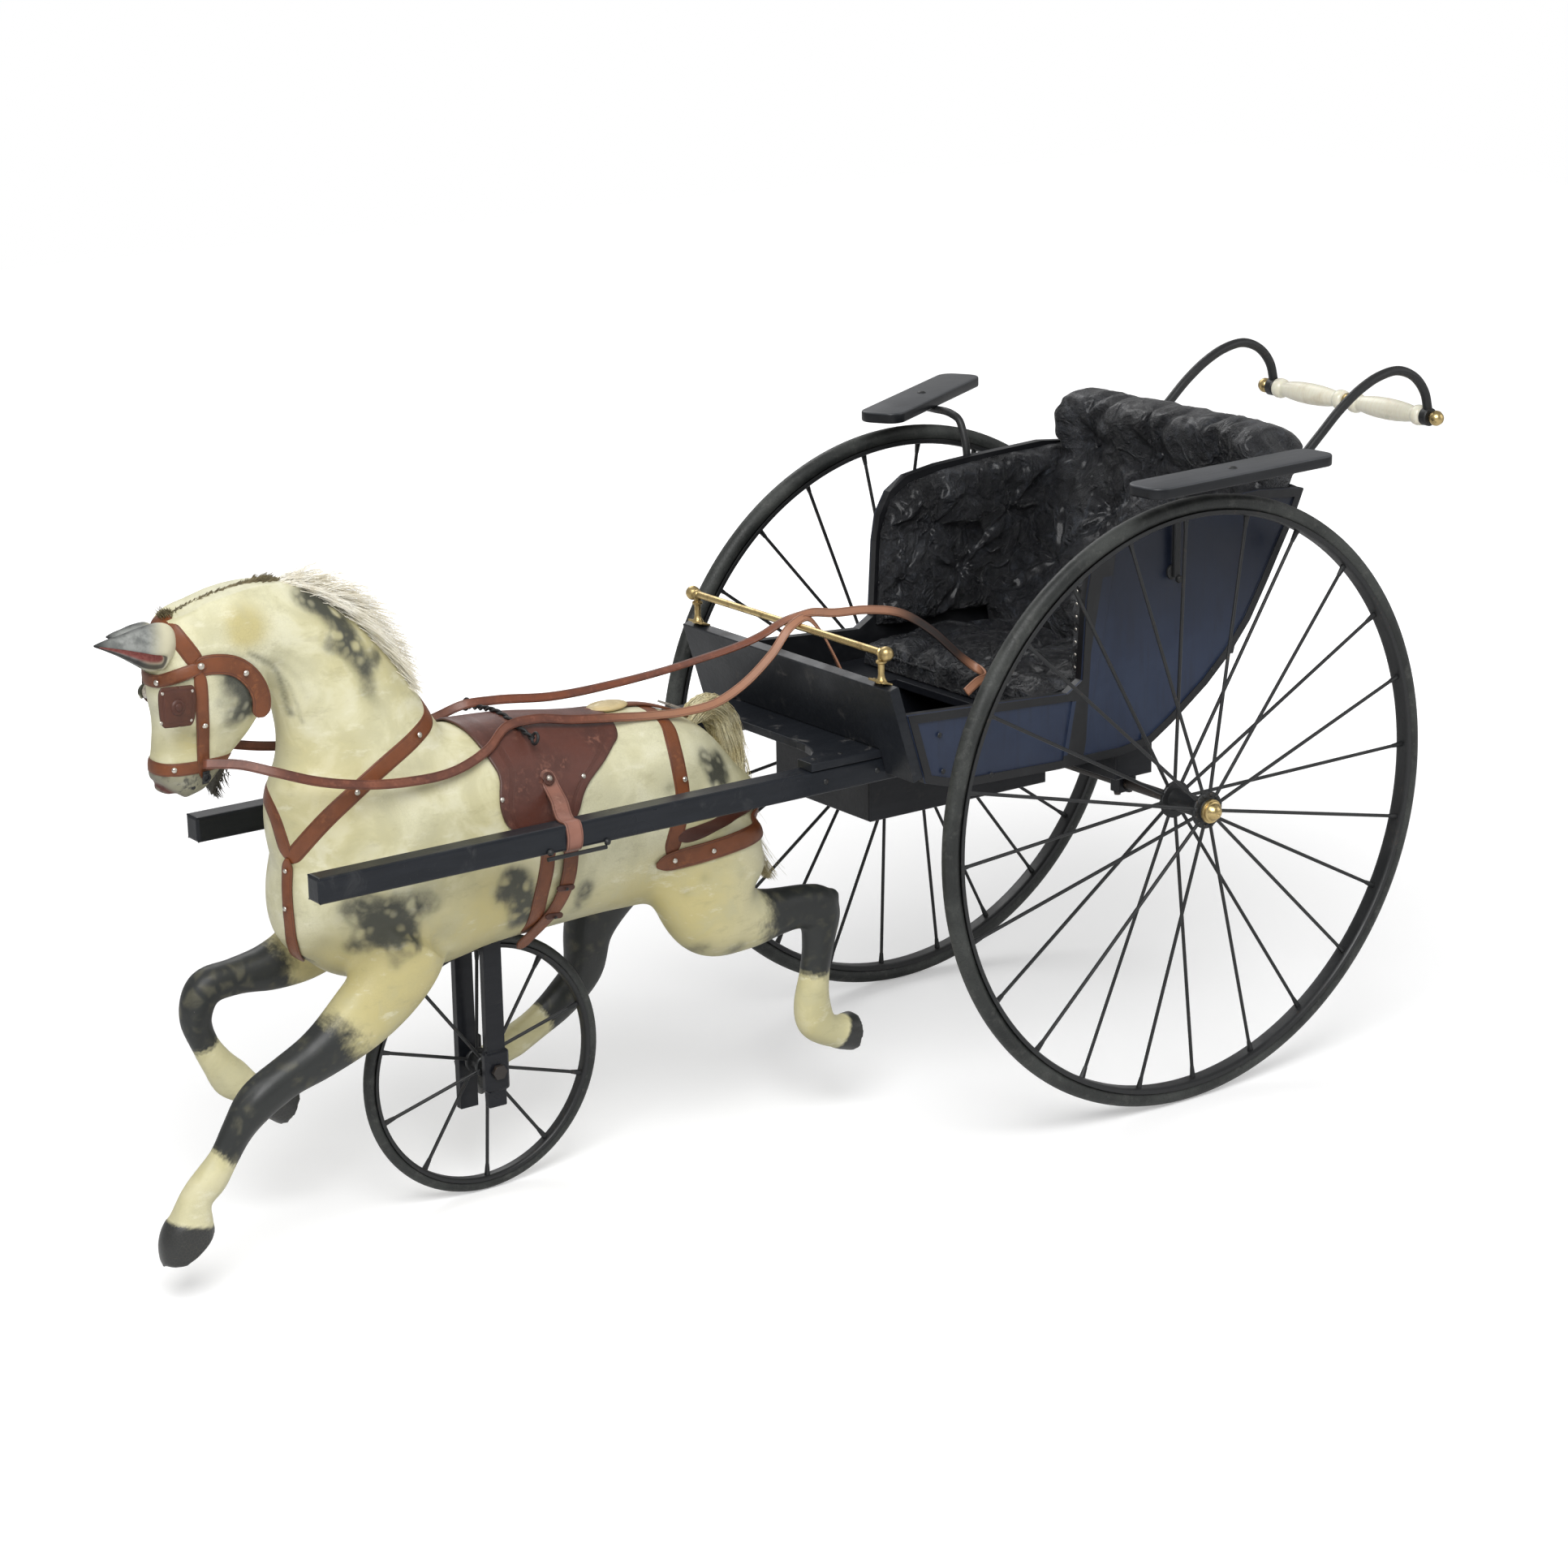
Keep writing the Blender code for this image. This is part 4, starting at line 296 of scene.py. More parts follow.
def blackLeather(name, gloss=0.34):
    # cracked, shiny upholstery hide, with a painted blue-grey sheen on its fold ridges and scuffed creases
    paint = Paint(name, Specular_IOR_Level=0.7, Coat_Weight=0.3, Coat_Roughness=0.22)
    cloud = paint.noise(15, 5, 0.6, twist=0.4)
    creases = paint.noise(40, 6, 0.72, twist=1.8)
    folds = 1 - (paint.noise(26, 3, 0.55, twist=1.2) - 0.5).sum("ABSOLUTE") * 5.0
    folds = folds.ramp(0.55, 1.0)
    cracks = paint.cells(210).ramp(0.0, 0.1, 1, 0)
    grain = paint.cells(620).ramp(0.0, 0.2)
    # scuffed creases lightened to blue-grey: partly real wear, partly painted sheen
    scuffsAndSheen = creases.ramp(0.5, 0.66) * cloud.ramp(0.36, 0.6)
    tone = paint.blend(cloud.ramp(0.3, 0.75), (0.0045, 0.005, 0.007), (0.012, 0.014, 0.019))
    tone = paint.blend(scuffsAndSheen * 0.8, tone, (0.05, 0.058, 0.074))
    # painted sheen: a lighter blue-grey along the ridges of the folds
    tone = paint.blend(folds * cloud.ramp(0.5, 0.7) * 0.5, tone, (0.075, 0.08, 0.092))
    tone = paint.blend(cracks * cloud.ramp(0.5, 0.75) * 0.5, tone, (0.085, 0.08, 0.078))
    height = creases * 2.4 + folds * 0.9 + grain * 0.2 - cracks * 0.3
    rough = cloud.ramp(0.25, 0.75, gloss - 0.1, gloss + 0.14) + scuffsAndSheen * 0.08
    return paint.joined(tone, rough, height, 0.0034, 1.0)


finishes = {
    "black": paintedWood("black_paint", (0.009, 0.01, 0.013), (0.075, 0.07, 0.066), 0.34),
    "shaft": paintedWood("shaft_paint", (0.01, 0.012, 0.016), (0.07, 0.072, 0.072), 0.32, 0.6),
    "board": paintedWood("footboard_paint", (0.013, 0.015, 0.019), (0.15, 0.145, 0.14), 0.34, 0.8),
    "iron": blackIron("black_iron"),
    "rust": blackIron("rusty_iron", (0.035, 0.03, 0.027), 0.8),
    "rubber": tyreRubber("tyre_rubber"),
    "brass": agedBrass("aged_brass"),
    "silver": agedBrass("nickel_stud", (0.66, 0.62, 0.55), (0.3, 0.26, 0.22)),
    "ivory": turnedIvory("turned_grip"),
    "tan": tanLeather("tan_leather", (0.195, 0.054, 0.013), (0.37, 0.13, 0.042)),
    "plate": tanLeather("blinker_leather", (0.09, 0.024, 0.01), (0.22, 0.07, 0.034), 0.5),
    "pale": tanLeather("worn_pad", (0.66, 0.52, 0.26), (0.85, 0.78, 0.56), 0.9),
    "tanDark": tanLeather("dark_leather", (0.08, 0.021, 0.01), (0.2, 0.066, 0.034), 0.4),
    "hide": blackLeather("black_hide"),
    "seat": blackLeather("seat_hide", 0.24),
}
print("finishes mixed:", len(finishes))


# modelling tools
def finishPiece(name, mesh, body, finish, replaced=(), sharp=35, subdivide=0, thick=0.0):
    # the mesh becomes a piece in the model's frame, riding on its body
    mesh.transform(Matrix.Translation(origin))
    mesh.shade_smooth()
    piece = addObject(name, mesh)
    if thick:
        wall = piece.modifiers.new("thickness", "SOLIDIFY")
        wall.thickness = thick
        wall.offset = 1
        wall.use_even_offset = False
    if subdivide:
        finer = piece.modifiers.new("finer", "SUBSURF")
        finer.levels = finer.render_levels = subdivide
    if sharp < 180:
        mesh.set_sharp_from_angle(angle=math.radians(sharp))
    mesh.materials.append(finishes[finish] if isinstance(finish, str) else finish)
    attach(piece, body)
    if replaced:
        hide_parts(*replaced)
    return piece


class Shape:
    # a bmesh that collects shapes, each made by itself and then put in its place
    def __init__(self):
        self.bm = bmesh.new()

    def add(self, part, matrix):
        bmesh.ops.transform(part, matrix=matrix, verts=part.verts)
        holder = bpy.data.meshes.new("part")
        part.to_mesh(holder)
        part.free()
        self.bm.from_mesh(holder)
        bpy.data.meshes.remove(holder)

    def place(self, matrix):
        bmesh.ops.transform(self.bm, matrix=matrix, verts=self.bm.verts)

    def lathe(self, profile, matrix, steps=48):
        # profile is (radius, height) pairs about Z
        part = bmesh.new()
        line = [part.verts.new((radius, 0, height)) for radius, height in profile]
        edges = [part.edges.new(pair) for pair in zip(line, line[1:])]
        full = {"angle": 2 * math.pi, "steps": steps, "use_merge": True, "use_duplicate": False}
        bmesh.ops.spin(part, geom=line + edges, cent=(0, 0, 0), axis=(0, 0, 1), **full)
        bmesh.ops.remove_doubles(part, verts=part.verts, dist=1e-6)
        self.add(part, matrix)

    def block(self, low, high, bevel=0.0, segments=2, matrix=None):
        part = bmesh.new()
        bmesh.ops.create_cube(part, size=1)
        low, high = Vector(low), Vector(high)
        size = Matrix.Diagonal((*(high - low), 1))
        bmesh.ops.transform(part, matrix=Matrix.Translation((low + high) / 2) @ size, verts=part.verts)
        if bevel:
            shape = {"segments": segments, "profile": 0.5, "affect": "EDGES", "material": -1}
            bmesh.ops.bevel(part, geom=part.edges[:] + part.verts[:], offset=bevel, **shape)
        self.add(part, matrix or Matrix.Identity(4))

    def rod(self, first, last, radius, tip=None, sides=12):
        part = bmesh.new()
        first, last = Vector(first), Vector(last)
        way = last - first
        ends = {"radius1": radius, "radius2": radius if tip is None else tip, "depth": way.length}
        bmesh.ops.create_cone(part, cap_ends=True, segments=sides, **ends)
        self.add(part, standing((first + last) / 2, way))

    def ball(self, centre, radius, squash=(1, 1, 1), turn=None, detail=16):
        part = bmesh.new()
        bmesh.ops.create_uvsphere(part, u_segments=detail, v_segments=max(6, detail // 2), radius=radius)
        flat = Matrix.Diagonal((*squash, 1))
        self.add(part, Matrix.Translation(Vector(centre)) @ (turn or Matrix.Identity(4)) @ flat)

    def mesh(self, name, merged=1e-6):
        if merged:
            bmesh.ops.remove_doubles(self.bm, verts=self.bm.verts, dist=merged)
        bmesh.ops.recalc_face_normals(self.bm, faces=self.bm.faces)
        made = bpy.data.meshes.new(name)
        self.bm.to_mesh(made)
        self.bm.free()
        return made


def standing(place, way):
    # a matrix that stands a shape's Z along a way at a place
    return Matrix.Translation(Vector(place)) @ way.to_track_quat("Z", "Y").to_matrix().to_4x4()


def facing(axis, place, sign=1):
    # the same along one of the model's axes
    way = {"X": Vector((1, 0, 0)), "Y": Vector((0, 1, 0)), "Z": Vector((0, 0, 1))}[axis] * sign
    return standing(place, way)


def distances(places):
    # how far along a line each of its places lies
    return np.concatenate([[0], np.cumsum(np.linalg.norm(np.diff(places, axis=0), axis=1))])


def headings(line):
    # the unit way of travel at each row of a line
    ways = np.gradient(line[:, :3], axis=0)
    return ways / np.linalg.norm(ways, axis=1)[:, None]


def ease(rows, rounds):
    # evens out the rows between the first and the last, in place
    for _ in range(rounds):
        rows[1:-1] = (rows[:-2] + 2 * rows[1:-1] + rows[2:]) / 4


def smoothLine(points, step):
    # an even run of points on a smooth curve through the given ones
    table = np.array(points, float)
    at = distances(table[:, :3])
    slopes = np.gradient(table, at, axis=0)
    count = max(2, int(round(at[-1] / step)))
    out = []
    for where in np.linspace(0, at[-1], count + 1):
        i = min(len(at) - 2, int(np.searchsorted(at, where, side="right")) - 1)
        span = at[i + 1] - at[i]
        t = (where - at[i]) / span
        row = (2 * t**3 - 3 * t**2 + 1) * table[i] + (t**3 - 2 * t**2 + t) * span * slopes[i]
        row += (3 * t**2 - 2 * t**3) * table[i + 1] + (t**3 - t**2) * span * slopes[i + 1]
        out.append(row)
    return np.array(out)


def tubeMesh(name, lines, radius, sides=2):
    # round wires: each line is rows of x, y, z and, where given, a share of the radius
    data = bpy.data.curves.new(name, "CURVE")
    data.dimensions = "3D"
    data.bevel_depth = radius
    data.bevel_resolution = sides
    data.use_fill_caps = True
    for line in lines:
        spline = data.splines.new("POLY")
        spline.points.add(len(line) - 1)
        for point, row in zip(spline.points, line):
            point.co = (*row[:3], 1)
            point.radius = row[3] if len(row) > 3 else 1
    holder = bpy.data.objects.new(name, data)
    mesh = bpy.data.meshes.new_from_object(holder)
    bpy.data.objects.remove(holder)
    bpy.data.curves.remove(data)
    return mesh


def gridMesh(name, columns, rows, place, marks=None):
    # a sheet with columns by rows faces; place(u, v) gives a point, marks(u, v) the named values stored there
    bm = bmesh.new()
    bmesh.ops.create_grid(bm, x_segments=columns, y_segments=rows, size=0.5)
    shares = [(vert.co.x + 0.5, vert.co.y + 0.5) for vert in bm.verts]
    for vert, (u, v) in zip(bm.verts, shares):
        vert.co = place(u, v)
    mesh = bpy.data.meshes.new(name)
    bm.to_mesh(mesh)
    bm.free()
    if marks:
        values = [marks(u, v) for u, v in shares]
        for key in values[0]:
            attribute = mesh.attributes.new(key, "FLOAT", "POINT")
            attribute.data.foreach_set("value", np.array([value[key] for value in values], np.float32))
    return mesh


def meshPoints(mesh):
    points = np.empty(len(mesh.vertices) * 3, np.float32)
    mesh.vertices.foreach_get("co", points)
    return points.reshape(-1, 3).astype(float)


def meshNormals(mesh):
    normals = np.empty(len(mesh.vertices) * 3, np.float32)
    mesh.vertex_normals.foreach_get("vector", normals)
    return normals.reshape(-1, 3)


def setPoints(mesh, points):
    mesh.vertices.foreach_set("co", points.astype(np.float32).ravel())
    mesh.update()


def mark(mesh, name, values):
    attribute = mesh.attributes.new(name, "FLOAT", "POINT")
    attribute.data.foreach_set("value", np.clip(values, -4, 4).astype(np.float32))


def fade(values, low, high):
    t = np.clip((values - low) / (high - low), 0, 1)
    return t * t * (3 - 2 * t)


# the horse
horseSet = {"voxel": 0.0025, "relax": 16, "melt": 40, "archRadius": 0.1335, "archHalf": 0.0145}

# sections along the spine or limb: x, z, half depth in the side view, half width
torsoRows = [
    (-0.862, 0.367, 0.022, 0.02), (-0.852, 0.363, 0.066, 0.045), (-0.824, 0.357, 0.098, 0.064),
    (-0.785, 0.351, 0.113, 0.075), (-0.73, 0.349, 0.113, 0.078), (-0.68, 0.35, 0.106, 0.077),
    (-0.611, 0.348, 0.1, 0.075), (-0.543, 0.346, 0.096, 0.074), (-0.494, 0.344, 0.095, 0.074),
    (-0.447, 0.335, 0.082, 0.066), (-0.414, 0.322, 0.069, 0.054), (-0.394, 0.307, 0.05, 0.04),
    (-0.383, 0.297, 0.026, 0.023),
]
neckRows = [
    (-0.765, 0.36, 0.103, 0.066), (-0.782, 0.419, 0.096, 0.06), (-0.792, 0.467, 0.074, 0.051),
    (-0.807, 0.508, 0.06, 0.044), (-0.831, 0.547, 0.049, 0.039), (-0.868, 0.574, 0.045, 0.036),
    (-0.91, 0.582, 0.04, 0.033), (-0.938, 0.578, 0.033, 0.028),
]
headRows = [
    (-0.92, 0.598, 0.028, 0.023), (-0.928, 0.585, 0.042, 0.032), (-0.93, 0.563, 0.05, 0.036),
    (-0.928, 0.538, 0.053, 0.037), (-0.934, 0.512, 0.049, 0.034), (-0.944, 0.488, 0.0375, 0.028),
    (-0.956, 0.464, 0.029, 0.024), (-0.9645, 0.4505, 0.0215, 0.0215), (-0.9675, 0.442, 0.013, 0.015),
]
# each leg: side, the shares of its length where the grey starts, is full, and ends in a cream fetlock,
# its rows, and the planes of coronet and sole as x, z and the way out in x, z
legRows = {
    "near_foreleg": (-0.055, (0.2, 0.42, 0.72), [
        (-0.77, 0.285, 0.045, 0.03), (-0.79, 0.252, 0.038, 0.027), (-0.826, 0.221, 0.032, 0.024),
        (-0.868, 0.196, 0.023, 0.02), (-0.903, 0.182, 0.019, 0.018), (-0.932, 0.166, 0.0195, 0.018),
        (-0.952, 0.144, 0.015, 0.014), (-0.966, 0.123, 0.014, 0.012), (-0.98, 0.106, 0.016, 0.0145),
        (-0.996, 0.091, 0.015, 0.013), (-1.001, 0.073, 0.0205, 0.017), (-1.006, 0.056, 0.0255, 0.0195),
        (-1.004, 0.042, 0.0265, 0.02),
    ], (-1.0, 0.071, -0.255, -0.967), (-1.0132, 0.0425, 0.541, -0.841)),
    "off_foreleg": (0.055, (0.1, 0.3, 0.62), [
        (-0.795, 0.275, 0.043, 0.03), (-0.82, 0.256, 0.032, 0.025), (-0.855, 0.246, 0.023, 0.021),
        (-0.89, 0.244, 0.017, 0.017), (-0.923, 0.238, 0.017, 0.016), (-0.932, 0.214, 0.015, 0.015),
        (-0.925, 0.188, 0.0132, 0.0125), (-0.913, 0.166, 0.0155, 0.0135), (-0.901, 0.149, 0.019, 0.015),
        (-0.882, 0.133, 0.015, 0.0135), (-0.863, 0.12, 0.0165, 0.016), (-0.845, 0.109, 0.0185, 0.018),
    ], (-0.864, 0.1205, 0.857, -0.515), (-0.846, 0.1097, 0.857, -0.515)),
    "near_hind_leg": (-0.052, (0.26, 0.48, 0.72), [
        (-0.44, 0.33, 0.05, 0.034), (-0.447, 0.28, 0.063, 0.036), (-0.437, 0.243, 0.051, 0.034),
        (-0.404, 0.2265, 0.032, 0.026), (-0.368, 0.225, 0.024, 0.019), (-0.341, 0.2245, 0.022, 0.0165),
        (-0.3185, 0.217, 0.0235, 0.016), (-0.3185, 0.186, 0.018, 0.0145), (-0.324, 0.152, 0.0165, 0.0135),
        (-0.3275, 0.124, 0.0195, 0.015), (-0.3235, 0.104, 0.02, 0.015), (-0.3105, 0.0915, 0.0165, 0.0145),
        (-0.296, 0.086, 0.0165, 0.016), (-0.278, 0.083, 0.019, 0.0185),
    ], (-0.2959, 0.0858, 0.869, -0.494), (-0.28, 0.0835, 0.988, -0.15)),
    "off_hind_leg": (0.052, (0.14, 0.34, 0.7), [
        (-0.457, 0.33, 0.055, 0.036), (-0.476, 0.28, 0.049, 0.036), (-0.501, 0.243, 0.035, 0.03),
        (-0.517, 0.208, 0.0245, 0.022), (-0.524, 0.172, 0.021, 0.017), (-0.548, 0.148, 0.0195, 0.015),
        (-0.58, 0.128, 0.0165, 0.013), (-0.606, 0.116, 0.016, 0.0145), (-0.622, 0.109, 0.014, 0.0125),
        (-0.638, 0.101, 0.0175, 0.0165), (-0.656, 0.0915, 0.0215, 0.019),
    ], (-0.639, 0.1005, -0.883, -0.468), (-0.655, 0.092, -0.883, -0.468)),
}
hocks = [
    (
        -0.052,
        [(-0.322, 0.209, 0.017, 0.0125), (-0.308, 0.2215, 0.0125, 0.01), (-0.296, 0.232, 0.0055, 0.0055)],
    ),
    (0.052, [(-0.52, 0.18, 0.016, 0.012), (-0.508, 0.185, 0.012, 0.0095), (-0.496, 0.188, 0.0055, 0.0055)]),
]
# the top line from the poll to the withers, as x and z
topLine = [
    (-0.99, 0.585), (-0.9726, 0.5945), (-0.9601, 0.5995), (-0.9468, 0.604), (-0.932, 0.6085),
    (-0.914, 0.6125), (-0.8952, 0.6155), (-0.88, 0.6165), (-0.8668, 0.616), (-0.8543, 0.614),
    (-0.839, 0.6085), (-0.8159, 0.5965),
]
# carving on both sides: x, side, z, reach, push outwards
carving = {
    "cheek": (-0.903, 0.034, 0.532, 0.026, 0.004),
    "jaw": (-0.89, 0.028, 0.512, 0.014, 0.002),
    "behindJaw": (-0.868, 0.034, 0.545, 0.016, -0.0032),
    "temple": (-0.958, 0.03, 0.566, 0.013, -0.0022),
    "brow": (-0.966, 0.029, 0.549, 0.008, 0.0026),
    "eyeHollow": (-0.962, 0.03, 0.536, 0.01, -0.0022),
    "underEye": (-0.956, 0.03, 0.512, 0.012, 0.0018),
    "faceHollow": (-0.944, 0.027, 0.49, 0.015, -0.003),
    "rumpTop": (-0.38, 0.016, 0.385, 0.034, -0.011),
    "nostrilWing": (-0.978, 0.018, 0.468, 0.008, 0.0026),
    "nostril": (-0.981, 0.017, 0.466, 0.0036, -0.006),
    "windpipe": (-0.848, 0.04, 0.47, 0.03, -0.003),
    "neckMuscle": (-0.79, 0.05, 0.52, 0.03, 0.002),
    "shoulderFront": (-0.845, 0.062, 0.395, 0.026, 0.0038),
    "shoulderLine": (-0.79, 0.072, 0.41, 0.028, -0.003),
    "upperArm": (-0.785, 0.075, 0.33, 0.034, 0.0035),
    "elbow": (-0.742, 0.07, 0.272, 0.018, -0.005),
    "chestPit": (-0.842, 0.03, 0.29, 0.016, -0.005),
    "girthDip": (-0.69, 0.07, 0.3, 0.03, -0.0022),
    "flank": (-0.52, 0.074, 0.345, 0.032, -0.005),
    "hip": (-0.47, 0.066, 0.405, 0.024, 0.003),
    "buttock": (-0.425, 0.055, 0.33, 0.026, 0.0016),
    "stifle": (-0.47, 0.066, 0.268, 0.02, 0.003),
}
print("horse tables read")


def sectionShape(angle, power):
    along = math.copysign(abs(math.cos(angle)) ** (2 / power), math.cos(angle))
    across = math.copysign(abs(math.sin(angle)) ** (2 / power), math.sin(angle))
    return along, across


def addLoft(shape, stations, side=0.0, power=2.2, sides=44, step=0.007):
    # ovals square to a spine in the plane y = side, bridged into a closed skin
    rows = smoothLine([(x, side, z, depth, width) for x, z, depth, width in stations], step)
    ways = headings(rows)
    last = None
    for i, (row, way) in enumerate(zip(rows, ways)):
        closed = i in (0, len(rows) - 1)
        made = bmesh.ops.create_circle(shape.bm, cap_ends=closed, segments=sides, radius=1)["verts"]
        up = Vector((-way[2], 0, way[0]))
        for vert in made:
            along, across = sectionShape(math.atan2(vert.co.y, vert.co.x), power)
            vert.co = Vector(row[:3]) + up * row[3] * along + Vector((0, row[4] * across, 0))
        ring = list({edge for vert in made for edge in vert.link_edges})
        if last:
            bmesh.ops.bridge_loops(shape.bm, edges=last + ring)
        last = ring


def shaped(name, mesh, *steps):
    # the mesh after a run of modifiers, each given as a kind and its settings
    holder = addObject(name, mesh)
    for kind, settings in steps:
        modifier = holder.modifiers.new(kind.lower(), kind)
        for key, value in settings.items():
            setattr(modifier, key, value)
    bpy.context.view_layer.update()
    made = bpy.data.meshes.new_from_object(holder.evaluated_get(bpy.context.evaluated_depsgraph_get()))
    bpy.data.objects.remove(holder)
    return made


def relax(points, edges, weight, rounds):
    first, second = edges[:, 0], edges[:, 1]
    share = (weight / np.bincount(edges.ravel(), minlength=len(points)))[:, None]
    degree = np.bincount(edges.ravel(), minlength=len(points))[:, None]
    for _ in range(rounds):
        total = np.empty_like(points)
        for axis in range(3):
            total[:, axis] = np.bincount(first, points[second, axis], len(points))
            total[:, axis] += np.bincount(second, points[first, axis], len(points))
        points = points + (total - points * degree) * share
    return points


def near(points, place, reach):
    return np.exp(-(((points - np.array(place)) ** 2).sum(axis=1) / reach**2))


def alongSpine(points, side, stations):
    # for each point, its distance from a limb's spine and how far along it lies, in metres
    spine = smoothLine([(x, side, z) for x, z, *_ in stations], 0.004)
    runs = distances(spine)
    best = np.full(len(points), 9.0)
    share = np.zeros(len(points))
    for place, run in zip(spine, runs):
        distance = np.linalg.norm(points - place, axis=1)
        closer = distance < best
        best[closer] = distance[closer]
        share[closer] = run
    return best, share, runs[-1]


def lipLine(points):
    return np.abs(points[:, 2] - (0.449 - 0.78 * (points[:, 0] + 0.976))) / 1.27


def horseSkin():
    shape = Shape()
    addLoft(shape, torsoRows, 0, 2.2)
    addLoft(shape, neckRows, 0, 2.1)
    addLoft(shape, headRows, 0, 2.2, step=0.005)
    for side, _, stations, _, _ in legRows.values():
        addLoft(shape, stations, side, 2.15, 28, 0.005)
    for side, rows in hocks:
        addLoft(shape, rows, side, 2.0, 20, 0.004)
    rough = shape.mesh("horse_rough")
    mesh = shaped("horse_rough", rough, ("REMESH", {"mode": "VOXEL", "voxel_size": horseSet["voxel"]}))
    points = meshPoints(mesh)
    edges = np.empty(len(mesh.edges) * 2, np.int32)
    mesh.edges.foreach_get("vertices", edges)
    edges = edges.reshape(-1, 2)
    # the joints between limbs, neck and body melt together; everything else is only evened out
    thigh = near(points, (-0.44, -0.045, 0.28), 0.07) + near(points, (-0.47, 0.045, 0.28), 0.07)
    arm = near(points, (-0.79, -0.055, 0.27), 0.05) + near(points, (-0.81, 0.055, 0.27), 0.05)
    chest = near(points, (-0.79, 0, 0.44), 0.07) + near(points, (-0.9, 0, 0.575), 0.035)
    weight = 0.25 + 0.45 * np.clip(thigh + arm + chest, 0, 1)
    for side, _, _, _, sole in legRows.values():
        weight = np.where(near(points, (sole[0], side, sole[1]), 0.024) > 0.4, 0.05, weight)
    points = relax(points, edges, weight, horseSet["relax"])
    melted = np.clip((thigh + arm + chest) * 1.2, 0, 1) * 0.6
    points = relax(points, edges, melted, horseSet["melt"])
    for side, _, _, _, (x, z, wayX, wayZ) in legRows.values():
        # each hoof is cut off flat at its sole
        past = (points - (x, 0, z)) @ np.array([wayX, 0, wayZ])
        close = np.linalg.norm(points - (x, side, z), axis=1) < 0.048
        points -= np.outer(np.where(close & (past > 0), past, 0), (wayX, 0, wayZ))
    # the poll and the crest come down to the top line
    top = np.interp(points[:, 0], [x for x, _ in topLine], [z for _, z in topLine])
    ahead = fade(points[:, 0], -0.815, -0.835)
    points[:, 2] -= np.maximum(points[:, 2] - top, 0) * 0.95 * ahead
    setPoints(mesh, points)
    normals = meshNormals(mesh)
    push = np.zeros(len(points))
    for x, side, z, reach, height in carving.values():
        push += height * near(points, (x, side, z), reach) + height * near(points, (x, -side, z), reach)
    # lips, jaw edge, and the fine creases where the neck bends
    lips = lipLine(points)
    inMouth = fade(points[:, 0], -0.95, -0.958) * (points[:, 2] < 0.475)
    push -= 0.003 * np.exp(-((lips / 0.002) ** 2)) * inMouth
    bend = np.hypot(points[:, 0] + 0.905, points[:, 2] - 0.5)
    crease = np.cos(bend * 2 * math.pi / 0.0125) * near(points * [1, 0, 1], (-0.862, 0, 0.528), 0.03)
    push += 0.0007 * crease * (np.abs(points[:, 1]) > 0.012)
    # tendons of the legs and the step of each hoof
    hoof = np.zeros(len(points))
    grey = np.zeros(len(points))
    for side, (starts, full, ends), stations, coronet, sole in legRows.values():
        distance, run, length = alongSpine(points, side, stations)
        onLeg = distance < 0.075
        share = run / length
        past = fade(share, starts, full) * fade(share, ends + 0.05, ends - 0.03)
        grey = np.maximum(grey, past * onLeg * (points[:, 2] < 0.275))
        below = (points - (coronet[0], 0, coronet[1])) @ np.array([coronet[2], 0, coronet[3]])
        close = np.linalg.norm(points - (sole[0], side, sole[1]), axis=1) < 0.045
        hoof = np.maximum(hoof, fade(below, -0.0012, 0.0012) * close)
        cannon = fade(share, 0.5, 0.58) * fade(share, 0.84, 0.78) * (distance < 0.03)
        push -= 0.0011 * cannon * np.exp(-(((np.abs(points[:, 1] - side) - 0.01) / 0.004) ** 2))
    push += 0.001 * hoof
    points = points + normals * push[:, None]
    points = relax(points, edges, np.full(len(points), 0.35), 2)
    setPoints(mesh, points)
    return mesh, points, hoof, grey


